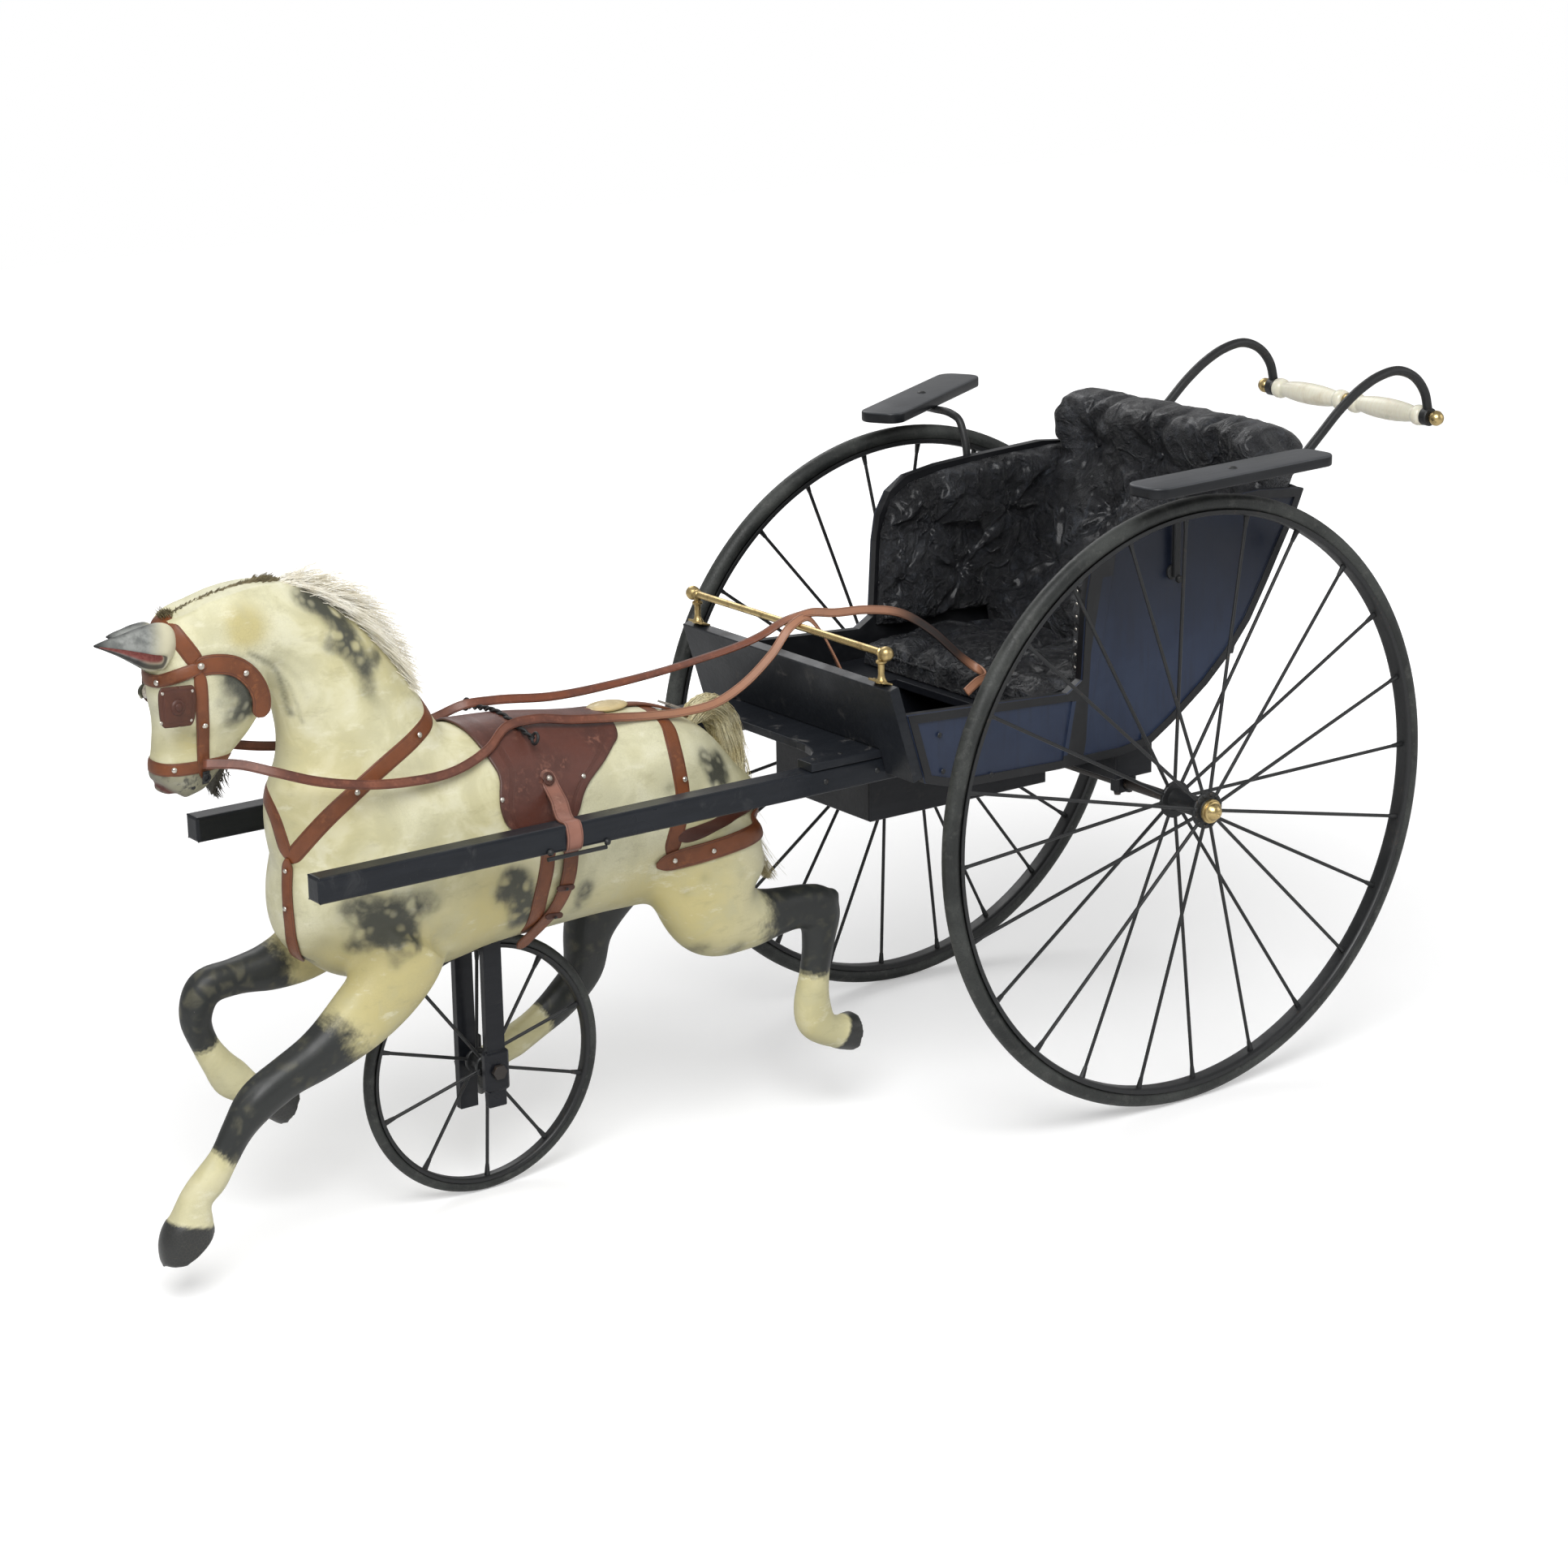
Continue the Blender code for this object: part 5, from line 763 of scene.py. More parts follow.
# the painter's dark clouds: x, z, reach, strength
clouds = [
    (-0.835, 0.5975, 0.012, 0.9), (-0.821, 0.589, 0.013, 0.95), (-0.809, 0.574, 0.014, 0.95),
    (-0.804, 0.56, 0.013, 0.9), (-0.8, 0.546, 0.013, 0.8), (-0.793, 0.533, 0.013, 0.75),
    (-0.794, 0.515, 0.012, 0.6), (-0.812, 0.556, 0.011, 0.7), (-0.827, 0.5585, 0.01, 0.5),
    (-0.785, 0.5, 0.012, 0.35), (-0.848, 0.603, 0.01, 0.5), (-0.776, 0.54, 0.01, 0.7),
    (-0.834, 0.326, 0.012, 0.6), (-0.816, 0.316, 0.016, 0.9), (-0.797, 0.32, 0.017, 1.0),
    (-0.782, 0.29, 0.014, 0.9), (-0.826, 0.289, 0.012, 0.7), (-0.807, 0.3, 0.016, 0.9),
    (-0.788, 0.305, 0.016, 0.9), (-0.77, 0.325, 0.015, 0.8), (-0.756, 0.318, 0.012, 0.5),
    (-0.823, 0.334, 0.014, 0.7), (-0.8, 0.272, 0.01, 0.4), (-0.84, 0.372, 0.012, 0.3),
    (-0.815, 0.38, 0.014, 0.25), (-0.675, 0.325, 0.014, 0.9), (-0.659, 0.297, 0.016, 1.0),
    (-0.665, 0.317, 0.016, 1.0), (-0.648, 0.284, 0.013, 0.9), (-0.682, 0.312, 0.012, 0.8),
    (-0.662, 0.277, 0.012, 0.7), (-0.592, 0.297, 0.014, 0.8), (-0.592, 0.279, 0.012, 0.6),
    (-0.606, 0.262, 0.01, 0.5), (-0.451, 0.394, 0.012, 0.7), (-0.441, 0.378, 0.013, 1.0),
    (-0.43, 0.37, 0.012, 0.9), (-0.431, 0.386, 0.012, 0.9), (-0.498, 0.377, 0.01, 0.6),
    (-0.47, 0.366, 0.012, 0.4), (-0.922, 0.547, 0.016, 0.85), (-0.909, 0.54, 0.017, 0.95),
    (-0.906, 0.518, 0.014, 0.9), (-0.918, 0.509, 0.012, 0.6), (-0.934, 0.523, 0.012, 0.35),
    (-0.929, 0.499, 0.01, 0.4), (-0.954, 0.499, 0.006, 0.5), (-0.974, 0.52, 0.01, 0.35),
    (-0.489, 0.276, 0.008, 0.4), (-0.472, 0.288, 0.009, 0.4), (-0.43, 0.284, 0.007, 0.35),
    (-0.47, 0.212, 0.016, 0.5), (-0.43, 0.202, 0.018, 0.6), (-0.5, 0.232, 0.014, 0.4),
    (-0.905, 0.6, 0.01, 0.25), (-0.985, 0.46, 0.008, 0.5),
]
creases = [(-0.9017, 0.5629), (-0.8907, 0.5568), (-0.8775, 0.5474), (-0.8658, 0.5262), (-0.8576, 0.4985)]


def horseMarks(mesh, points, hoof, grey):
    # where the painter's dark clouds, ochre and grey lie, and where shade is painted on the skin that faces
    # downwards
    flat = points * [1, 0, 1]
    bare = np.ones(len(points))
    for x, z, reach, power in clouds:
        bare *= 1 - min(power, 0.97) * near(flat, (x, 0, z), reach)
    cloud = 1 - bare
    mark(mesh, "cloud", cloud)
    ochre = 1.1 * near(flat, (-0.903, 0, 0.586), 0.022) + 0.7 * near(flat, (-0.8, 0, 0.255), 0.05)
    ochre += 0.6 * near(flat, (-0.69, 0, 0.31), 0.05) + 0.5 * near(flat, (-0.5, 0, 0.27), 0.06)
    ochre += 0.5 * near(flat, (-0.83, 0, 0.43), 0.05) + 0.9 * near(flat, (-0.955, 0, 0.493), 0.018)
    mark(mesh, "ochre", ochre + 0.42 * fade(points[:, 2], 0.36, 0.27))
    muzzle = fade(points[:, 2], 0.487, 0.455) * (points[:, 0] < -0.92) * (points[:, 2] > 0.41)
    mark(mesh, "muzzle", muzzle * 0.75)
    stroke = np.full(len(points), 9.0)
    for x, _, z in smoothLine([(x, 0, z) for x, z in creases], 0.003):
        for shift in (0, 0.0075):
            away = np.hypot(points[:, 0] - x - shift, points[:, 2] - z + shift)
            stroke = np.minimum(stroke, away + shift * 0.2)
    mark(mesh, "stroke", np.exp(-((stroke / 0.0024) ** 2)) * (np.abs(points[:, 1]) > 0.01))
    lips = np.exp(-((lipLine(points) / 0.0026) ** 2)) * fade(points[:, 0], -0.952, -0.96)
    mark(mesh, "lips", lips * (points[:, 2] < 0.475))
    nostrils = near(points, (-0.981, 0.017, 0.466), 0.005) + near(points, (-0.981, -0.017, 0.466), 0.005)
    mark(mesh, "nostrils", nostrils)
    # painted shade: a darker tone on the skin that faces downwards, below the level of the back
    mark(mesh, "under", np.clip(-meshNormals(mesh)[:, 2] - 0.15, 0, 1) * (points[:, 2] < 0.45))
    mark(mesh, "hoof", hoof)
    mark(mesh, "grey", grey)


def paintedCoat():
    # old airbrushed coat: cream over plaster, ochre clouds, charcoal dapples, crazed and dusty, with painted
    # shade on the skin that faces downwards
    paint = Paint("dappled_coat", Specular_IOR_Level=0.4, Coat_Weight=0.16, Coat_Roughness=0.3)
    broad = paint.noise(7, 4, 0.55)
    cloudy = paint.noise(24, 5, 0.6, twist=0.5)
    fine = paint.noise(120, 5, 0.7)
    warped = paint.node("ShaderNodeVectorMath", {"operation": "ADD"}, {
        0: paint.place,
        1: paint.node("ShaderNodeVectorMath", {"operation": "SCALE"}, {
            0: paint.node(
                "ShaderNodeTexNoise", None, {"Vector": paint.place, "Scale": 38.0, "Detail": 2.0}, "Color",
            ),
            "Scale": 0.018,
        }),
    })
    spots = paint.cells(50, "F1", warped, 0.9).ramp(0.1, 0.4)
    small = paint.cells(84, "F1", warped, 0.9).ramp(0.12, 0.45)
    cloud = paint.marked("cloud")
    dark = (cloud * (0.4 + cloudy * 1.15 + (fine - 0.5) * 0.5)).ramp(0.16, 0.9)
    dapple = dark * (0.26 + spots * (0.42 + small * 0.28))
    halo = (cloud * (0.3 + cloudy * 1.2)).ramp(0.02, 0.7) * 0.28
    shade = dapple.most(halo).most(paint.marked("stroke") * (0.25 + fine * 0.6))
    # the painted shade on downward-facing skin, broken up by noise
    under = paint.marked("under") * (0.4 + cloudy * 0.8)
    legs = (paint.marked("grey") + (fine - 0.5) * 0.35 + (cloudy - 0.5) * 0.9).ramp(0.22, 0.72)
    mottle = paint.cells(58, "DISTANCE_TO_EDGE", warped).ramp(0.05, 0.34) * cloudy.ramp(0.45, 0.7)
    brush = paint.noise(1.0, 5, 0.68, paint.stretch((26, 26, 70), (0, 0.6, 0)))
    tone = paint.blend(broad.ramp(0.3, 0.7), (0.57, 0.52, 0.265), (0.66, 0.64, 0.44))
    tone = paint.blend(cloudy.ramp(0.44, 0.68) * 0.6, tone, (0.72, 0.7, 0.53))
    ochre = (paint.marked("ochre") * (0.35 + cloudy * 1.1)).ramp(0.1, 0.9)
    tone = paint.blend(ochre * 0.75, tone, (0.5, 0.42, 0.15))
    tone = paint.blend(cloudy.ramp(0.58, 0.36) * 0.34, tone, (0.42, 0.4, 0.26))
    tone = paint.blend(brush.ramp(0.55, 0.7) * 0.3, tone, (0.34, 0.31, 0.17))
    tone = paint.blend(brush.ramp(0.44, 0.3) * 0.45, tone, (0.77, 0.75, 0.59))
    # painted shade: a darker olive tone on the skin that faces downwards
    tone = paint.blend(under.ramp(0.05, 0.8) * 0.6, tone, (0.21, 0.195, 0.095))
    tone = paint.blend(shade, tone, (0.034, 0.037, 0.03))
    tone = paint.blend(legs * (1.0 - mottle * 0.12), tone, (0.02, 0.022, 0.021))
    muzzle = (paint.marked("muzzle") * (0.5 + cloudy * 0.9)).ramp(0.12, 0.7)
    tone = paint.blend(muzzle * 0.72, tone, (0.12, 0.12, 0.105))
    tone = paint.blend(muzzle * fine.ramp(0.5, 0.66) * 0.85, tone, (0.035, 0.035, 0.033))
    tone = paint.blend(paint.marked("lips"), tone, (0.085, 0.012, 0.01))
    tone = paint.blend(paint.marked("nostrils"), tone, (0.03, 0.01, 0.01))
    tone = paint.blend(paint.marked("hoof"), tone, (0.03, 0.031, 0.03))
    craze = paint.cells(330, "DISTANCE_TO_EDGE").ramp(0.0, 0.05, 1, 0) * broad.ramp(0.45, 0.7)
    tone = paint.blend(craze * 0.22, tone, (0.22, 0.19, 0.12))
    chips = fine.ramp(0.68, 0.78) * cloudy.ramp(0.5, 0.7)
    tone = paint.blend(chips * 0.35, tone, (0.78, 0.75, 0.66))
    height = fine * 0.5 + cloudy * 0.7 - craze * 0.3
    rough = cloudy.ramp(0.3, 0.7, 0.42, 0.6) - paint.marked("hoof") * 0.12
    return paint.joined(tone, rough, height, 0.0007, 0.55)


finishes["coat"] = paintedCoat()


def makeHorse():
    mesh, points, hoof, grey = horseSkin()
    arch = Shape()
    size = {
        "cap_ends": True, "segments": 72, "radius1": horseSet["archRadius"],
        "radius2": horseSet["archRadius"],
    }
    bmesh.ops.create_cone(arch.bm, depth=2 * horseSet["archHalf"], **size)
    arch.place(facing("Y", frontHub))
    cutter = addObject("arch_room", arch.mesh("arch_room"))
    horseMarks(mesh, points, hoof, grey)
    cut = {"operation": "DIFFERENCE", "object": cutter, "solver": "EXACT"}
    mesh = shaped("horse_body", mesh, ("BOOLEAN", cut))
    bpy.data.objects.remove(cutter)
    mesh.materials.clear()
    body = finishPiece("horse_body", mesh, gig, "coat", (
        "horse_torso", "horse_neck_head", "near_foreleg", "off_foreleg", "near_hind_leg", "off_hind_leg",
    ), sharp=60)
    print("horse body", len(mesh.vertices), "points")
    return body


horse = makeHorse()
# the horse's skin in the toy's own frame, for the harness to lie on
skinPoints = [vert.co - origin for vert in horse.data.vertices]
skin = BVHTree.FromPolygons(skinPoints, [tuple(face.vertices) for face in horse.data.polygons])


def skinAt(place):
    # the skin nearest to a place, and the way out of it
    return skin.find_nearest(Vector(place))[:2]


def skinBelow(x):
    # the horse's back straight below a high place on its middle plane
    return skin.ray_cast(Vector((x, 0, 0.6)), Vector((0, 0, -1)))[:2]


def onSkin(x, z, side, lift=0.0, start=0.14):
    # the horse's surface met by a ray along y at (x, z), coming from one side
    hit, normal, _, _ = skin.ray_cast(Vector((x, side * start, z)), Vector((0, -side, 0)))
    if hit is None:
        hit, normal = skinAt((x, side * 0.05, z))
    return hit + normal * lift, normal


# wheels
wheelSet = {
    "near": {"place": (0, -0.232, 0.305), "body": "near_wheel", "phase": 2.0, "first": 1},
    "off": {"place": (0, 0.232, 0.305), "body": "off_wheel", "phase": 9.5, "first": -1},
    "front": {"place": frontHub, "body": "front_wheel_body", "phase": 18.0, "first": 1},
}
# steps is the number of faces round the rim
rearWheel = {
    "radius": 0.305, "capOut": 0.259, "tyre": 0.0085, "spokes": 24, "hubHalf": 0.027, "flange": 0.0185,
    "flangeHalf": 0.023,
    "hub": 0.0115, "bore": 0.0058, "spoke": 0.0018, "steps": 168,
}
frontWheel = {
    "radius": 0.1255, "tyre": 0.0055, "spokes": 10, "hubHalf": 0.015, "flange": 0.0125, "flangeHalf": 0.009,
    "hub": 0.0085, "bore": 0.0043, "spoke": 0.0017, "steps": 120,
}


def roundProfile(middle, radius, sides, start=0.0):
    angles = [start + 2 * math.pi * i / sides for i in range(sides + 1)]
    return [(middle + radius * math.cos(a), radius * math.sin(a)) for a in angles]


def makeWheel(name, spot, size):
    matrix = facing("Y", spot["place"])
    radius, tyre = size["radius"], size["tyre"]
    seat = radius - 2 * tyre - 0.0003
    rubber = Shape()
    # a round tyre with a moulding line on either side
    profile = []
    for i in range(33):
        angle = 2 * math.pi * i / 32
        swell = 1 - 0.05 * math.exp(-(((abs(math.degrees(angle) - 180) - 72) / 9) ** 2))
        profile.append((radius - tyre + tyre * swell * math.cos(angle), tyre * swell * math.sin(angle)))
    rubber.lathe(profile, matrix, size["steps"])
    tyreNode = "front_tyre" if name == "front" else f"{name}_rear_tyre"
    finishPiece(f"{name}_tyre_skin", rubber.mesh("tyre"), spot["body"], "rubber", (tyreNode,))
    metal = Shape()
    lip = seat + tyre * 0.35
    half = tyre * 1.02
    base = seat - 0.0022
    channel = [
        (base, 0), (base - 0.0004, half * 0.5), (base + 0.0002, half * 0.85), (base + 0.0012, half),
        (lip - 0.0003, half + 0.0002), (lip, half - 0.0005), (seat, tyre * 0.6), (seat, -tyre * 0.6),
        (lip, 0.0005 - half), (lip - 0.0003, -half - 0.0002), (base + 0.0012, -half),
        (base + 0.0002, -half * 0.85),
        (base - 0.0004, -half * 0.5), (base, 0),
    ]
    metal.lathe(channel, matrix, size["steps"])
    hub, flange, side, end = size["hub"], size["flange"], size["flangeHalf"], size["hubHalf"]
    barrel = [(size["bore"], -end), (hub - 0.0008, -end), (hub, -end + 0.0008)]
    for sign in (-1, 1):
        lobe = [
            (hub, -0.0022), (flange - 0.001, -0.002), (flange, -0.001), (flange, 0.001),
            (flange - 0.001, 0.002), (hub, 0.0022),
        ]
        barrel += [(r, sign * side + h) for r, h in lobe]
        if sign < 0:
            barrel += [(hub * 0.9, -side + 0.006), (hub * 0.86, 0), (hub * 0.9, side - 0.006)]
    barrel += [(hub, end - 0.0008), (hub - 0.0008, end), (size["bore"], end)]
    metal.lathe(barrel, matrix, 48)
    x, y, z = spot["place"]
    for i in range(size["spokes"]):
        angle = math.radians(spot["phase"]) + 2 * math.pi * i / size["spokes"]
        out = Vector((math.cos(angle), 0, math.sin(angle)))
        shift = spot["first"] * side * (-1 if i % 2 else 1)
        foot = Vector((x, y + shift, z)) + out * (flange - 0.0028)
        tip = Vector((x, y + shift * 0.08, z)) + out * (seat - 0.0012)
        metal.rod(foot, tip, size["spoke"], sides=10)
        way = (tip - foot).normalized()
        metal.rod(tip - way * 0.012, tip - way * 0.0005, size["spoke"] * 1.15, size["spoke"] * 1.7, 8)
        across = Vector((0, math.copysign(1, shift), 0))
        metal.ball(foot + across * 0.0022, 0.0024, (1, 0.6, 1), detail=8)
    wheelNode = "front_wheel" if name == "front" else f"{name}_rear_wheel"
    finishPiece(f"{name}_wheel_iron", metal.mesh("wheel"), spot["body"], "iron", (wheelNode,))


for name, spot in wheelSet.items():
    makeWheel(name, spot, frontWheel if name == "front" else rearWheel)


def makeHubCaps():
    # a turned brass cap with a stepped rim and a small dimple at its crown
    profile = [
        (0.0, 0.0122), (0.0012, 0.0123), (0.0022, 0.013), (0.004, 0.0127), (0.006, 0.0112), (0.0078, 0.0088),
        (0.0088, 0.0066), (0.01, 0.006), (0.0104, 0.005), (0.01, 0.0042), (0.0116, 0.0038), (0.012, 0.003),
        (0.012, 0.001), (0.0115, 0.0003), (0.0, 0.0003),
    ]
    for name, sign in sideSigns.items():
        shape = Shape()
        shape.lathe(profile, facing("Y", (0, sign * rearWheel["capOut"], rearWheel["radius"]), sign), 48)
        mesh = shape.mesh("hub_cap")
        finishPiece(f"{name}_cap_turned", mesh, f"{name}_wheel", "brass", (f"{name}_hub_cap",))


makeHubCaps()
print("wheels made")


# push handle, rails, armrests
handleSet = {"y": 0.116, "tube": 0.005, "bar": (0.425, 0.618), "rodHalf": 0.128, "knobY": 0.1285}
handleRoute = [
    (0.1435, 0.47), (0.1567, 0.492), (0.1697, 0.515), (0.1828, 0.538), (0.194, 0.556), (0.22, 0.5775),
    (0.246, 0.596), (0.273, 0.6185), (0.3, 0.641), (0.328, 0.6585), (0.352, 0.668), (0.381, 0.671),
    (0.405, 0.661), (0.42, 0.643), (0.425, 0.6255),
]


def makeHandle():
    barX, barZ = handleSet["bar"]
    for name, sign in sideSigns.items():
        y = sign * handleSet["y"]
        route = smoothLine([(x, y, z) for x, z in handleRoute], 0.004)
        mesh = tubeMesh("handle", [route], handleSet["tube"], 4)
        shape = Shape()
        shape.bm.from_mesh(mesh)
        ring = [
            (0.0042, -0.005), (0.0085, -0.005), (0.0095, -0.004), (0.0095, 0.004), (0.0085, 0.005),
            (0.0042, 0.005),
        ]
        shape.lathe([*ring, ring[0]], facing("Y", (barX, y, barZ)), 32)
        lean = Matrix.Rotation(math.radians(-31), 4, "Y")
        cleat = Matrix.Translation((0.1455, y, 0.4815)) @ lean
        shape.block((-0.004, -0.0065, -0.009), (0.0035, 0.0065, 0.009), 0.0012, 2, cleat)
        strap = Matrix.Translation((0.1735, y, 0.5195)) @ lean
        shape.block((-0.0045, -0.01, -0.005), (0.001, 0.01, 0.005), 0.0008, 2, strap)
        for side in (-1, 1):
            shape.ball((0.1745, y + side * 0.0078, 0.519), 0.0022, (0.6, 1, 1), detail=10)
        node = f"{name}_handle_tube"
        finishPiece(f"{name}_handle_iron", shape.mesh("handle"), gig, "iron", (node,), sharp=40)
    rod = Shape()
    rod.rod((barX, -handleSet["rodHalf"], barZ), (barX, handleSet["rodHalf"], barZ), 0.0035, sides=20)
    collar = [
        (0, -0.0045), (0.0065, -0.0045), (0.0085, -0.003), (0.0078, 0), (0.0085, 0.003), (0.0065, 0.0045),
        (0, 0.0045),
    ]
    rod.lathe(collar, facing("Y", (barX, 0, barZ)), 32)
    knob = [
        (0, 0.008), (0.003, 0.0077), (0.0058, 0.0056), (0.0078, 0.002), (0.008, -0.001), (0.0066, -0.0042),
        (0.0048, -0.0062), (0, -0.0066),
    ]
    for sign in (-1, 1):
        rod.lathe(knob, facing("Y", (barX, sign * handleSet["knobY"], barZ), sign), 28)
    finishPiece("handle_rod_brass", rod.mesh("rod"), gig, "brass", ("handle_rod",))
    shares = [
        (0.0, 0.55), (0.004, 0.7), (0.022, 0.9), (0.045, 0.94), (0.075, 0.94), (0.098, 0.9), (0.112, 0.74),
        (0.125, 0.68), (0.15, 0.72), (0.24, 0.86), (0.36, 0.965), (0.5, 1.0), (0.64, 0.965), (0.76, 0.86),
        (0.85, 0.72), (0.875, 0.68), (0.888, 0.74), (0.902, 0.9), (0.925, 0.94), (0.955, 0.94), (0.978, 0.9),
        (0.996, 0.7), (1.0, 0.55),
    ]
    low, high = 0.0048, 0.1107
    for name, sign in sideSigns.items():
        shape = Shape()
        profile = [(0.0115 * share, low + (high - low) * at) for at, share in shares]
        profile = [(0.004, low), *profile, (0.004, high), (0.004, low)]
        shape.lathe(profile, facing("Y", (barX, 0, barZ), sign), 48)
        mesh = shape.mesh("grip")
        finishPiece(
            f"{name}_grip_turned", mesh, f"{name}_grip_body", "ivory", (f"{name}_grip",),
            sharp=50,
        )


makeHandle()


def screwHead(shape, place, radius, axis="Z", sign=1):
    # a low round head
    dome = [(0, radius * 0.42), (radius * 0.6, radius * 0.34), (radius * 0.92, radius * 0.12), (radius, 0)]
    shape.lathe([*dome, (0, 0)], facing(axis, place, sign), 20)


armSet = {"length": 0.246, "width": 0.047, "thick": 0.011, "top": 0.637, "corner": 0.016, "screwY": 0.254}
# each arm: side, angle, the screw's place along the gig
arms = {"near": (-1, 4, 0.026), "off": (1, 31, 0.048)}


def makeArmrests():
    for name, (sign, angle, screwX) in arms.items():
        bm = bmesh.new()
        bmesh.ops.create_cube(bm, size=1)
        size = Matrix.Diagonal((armSet["length"], armSet["width"], armSet["thick"], 1))
        bmesh.ops.transform(bm, matrix=size, verts=bm.verts)
        upright = [edge for edge in bm.edges if abs(edge.verts[0].co.z - edge.verts[1].co.z) > 0.005]
        corner = {"affect": "EDGES", "segments": 8, "profile": 0.5, "material": -1}
        bmesh.ops.bevel(bm, geom=upright, offset=armSet["corner"], **corner)
        rims = [edge for edge in bm.edges if abs(edge.verts[0].co.z - edge.verts[1].co.z) < 1e-6]
        rims = [edge for edge in rims if edge.calc_face_angle(0) > 0.5]
        bmesh.ops.bevel(bm, geom=rims, offset=0.0018, affect="EDGES", segments=3, profile=0.5, material=-1)
        shape = Shape()
        shape.bm.free()
        shape.bm = bm
        place = Matrix.Translation((screwX, sign * armSet["screwY"], armSet["top"] - armSet["thick"] / 2))
        shape.place(place @ Matrix.Rotation(math.radians(angle), 4, "Z"))
        board = shape.mesh("armrest")
        body = f"{name}_arm"
        finishPiece(
            f"{name}_armrest_board", board, body, "arm", (f"{name}_armrest",), sharp=50,
        )


staySet = {"side": 0.1768, "level": 0.6227, "radius": 0.0041}


def makeStays():
    # a bent iron from the side panel out over the wheel, flattened under the board
    for name, (sign, _, screwX) in arms.items():
        side, run, screwY = staySet["side"], staySet["level"], armSet["screwY"]
        route = [
            (0, side, 0.518), (0, side, 0.56), (0, side + 0.001, 0.588), (0, side + 0.006, 0.6045),
            (0, side + 0.014, run - 0.005), (0, side + 0.026, run - 0.001), (0, 0.232, run), (0, screwY, run),
        ]
        line = smoothLine([(screwX + x, sign * y, z) for x, y, z in route], 0.003)
        shape = Shape()
        shape.bm.from_mesh(tubeMesh("stay", [line], staySet["radius"], 4))
        disc = [
            (0, 0.001), (0.0112, 0.001), (0.012, 0.0002), (0.012, -0.0016), (0.0105, -0.0026), (0, -0.0026),
        ]
        shape.lathe(disc, facing("Z", (screwX, sign * screwY, 0.6247)), 32)
        foot = [(0, 0.0026), (0.0062, 0.0022), (0.0075, 0.001), (0.0075, -0.0012), (0, -0.0012)]
        shape.lathe(foot, facing("Y", (screwX, sign * 0.1718, 0.522), sign), 28)
        shape.ball((screwX, sign * 0.1815, 0.5165), 0.004, detail=14)
        screwHead(shape, (screwX, sign * screwY, 0.6369), 0.0049)
        shape.rod((screwX, sign * screwY, 0.62), (screwX, sign * screwY, 0.6372), 0.0028, sides=14)
        finishPiece(
            f"{name}_stay_iron", shape.mesh("stay"), gig, "iron", (f"{name}_armrest_stay",), sharp=40,
        )


railSet = {"x": -0.3137, "z": 0.492, "half": 0.158, "post": 0.151, "rod": 0.0035}


def makeDashRail():
    x, railZ, half, postY, rod = railSet.values()
    shape = Shape()
    shape.rod((x, -half, railZ), (x, half, railZ), rod, sides=20)
    knob = [
        (0, 0.0075), (0.003, 0.007), (0.0058, 0.0048), (0.0072, 0.0012), (0.0068, -0.002), (0.0048, -0.0046),
        (0.0056, -0.0056), (0.0048, -0.0068), (0, -0.0068),
    ]
    for sign in (-1, 1):
        shape.lathe(knob, facing("Y", (x, sign * half, railZ), sign), 28)
        post = [
            (0, railZ), (0.004, railZ - 0.002), (0.0032, railZ - 0.0065), (0.0052, railZ - 0.0078),
            (0.0052, railZ - 0.0096),
            (0.0032, railZ - 0.011), (0.003, 0.472), (0.0036, 0.468), (0.0056, 0.465), (0.0056, 0.4635),
            (0, 0.4635),
        ]
        shape.lathe(post, Matrix.Translation((x, sign * postY, 0)), 24)
        shape.ball((x, sign * postY, railZ), 0.0052, (1, 1, 0.9), detail=18)
        foot = Matrix.Translation((x, sign * (postY - 0.002), 0.4626))
        lean = foot @ Matrix.Rotation(math.radians(16.7), 4, "Y")
        shape.block((-0.006, -0.0115, 0), (0.006, 0.0115, 0.0021), 0.0006, 2, lean)
        for side in (-1, 1):
            head = lean @ Matrix.Translation((0, side * 0.0086, 0.002))
            shape.lathe([(0, 0.0009), (0.0014, 0.0006), (0.0019, 0), (0, 0)], head, 14)
    finishPiece("dash_rail_brass", shape.mesh("rail"), gig, "brass", ("dash_rail",), sharp=45)


def armPaint():
    # black edges, and a top painted a lighter satin grey as a painted highlight
    paint = Paint("armrest_paint", Specular_IOR_Level=0.3)
    cloud = paint.noise(14, 4, 0.6)
    grain = paint.noise(1.0, 4, 0.6, paint.stretch((20, 140, 140)))
    specks = paint.cells(300, "F1").ramp(0.1, 0.02) * cloud.ramp(0.45, 0.75) * 0.5
    # painted highlight: the top face is coloured a lighter grey than the edges
    top = paint.axis("Z").ramp(armSet["top"] - 0.002, armSet["top"] - 0.0008)
    grey = paint.blend(cloud.ramp(0.3, 0.7), (0.04, 0.043, 0.048), (0.066, 0.069, 0.075))
    tone = paint.blend(top, (0.01, 0.011, 0.013), grey)
    tone = paint.blend(grain.ramp(0.5, 0.75) * 0.3, tone, (0.02, 0.021, 0.024))
    tone = paint.blend(specks, tone, (0.2, 0.2, 0.2))
    return paint.joined(tone, cloud.ramp(0.3, 0.7, 0.3, 0.44), grain, 0.0005, 0.4)


finishes["arm"] = armPaint()
makeArmrests()
makeStays()
makeDashRail()
print("handle, armrests and rail made")


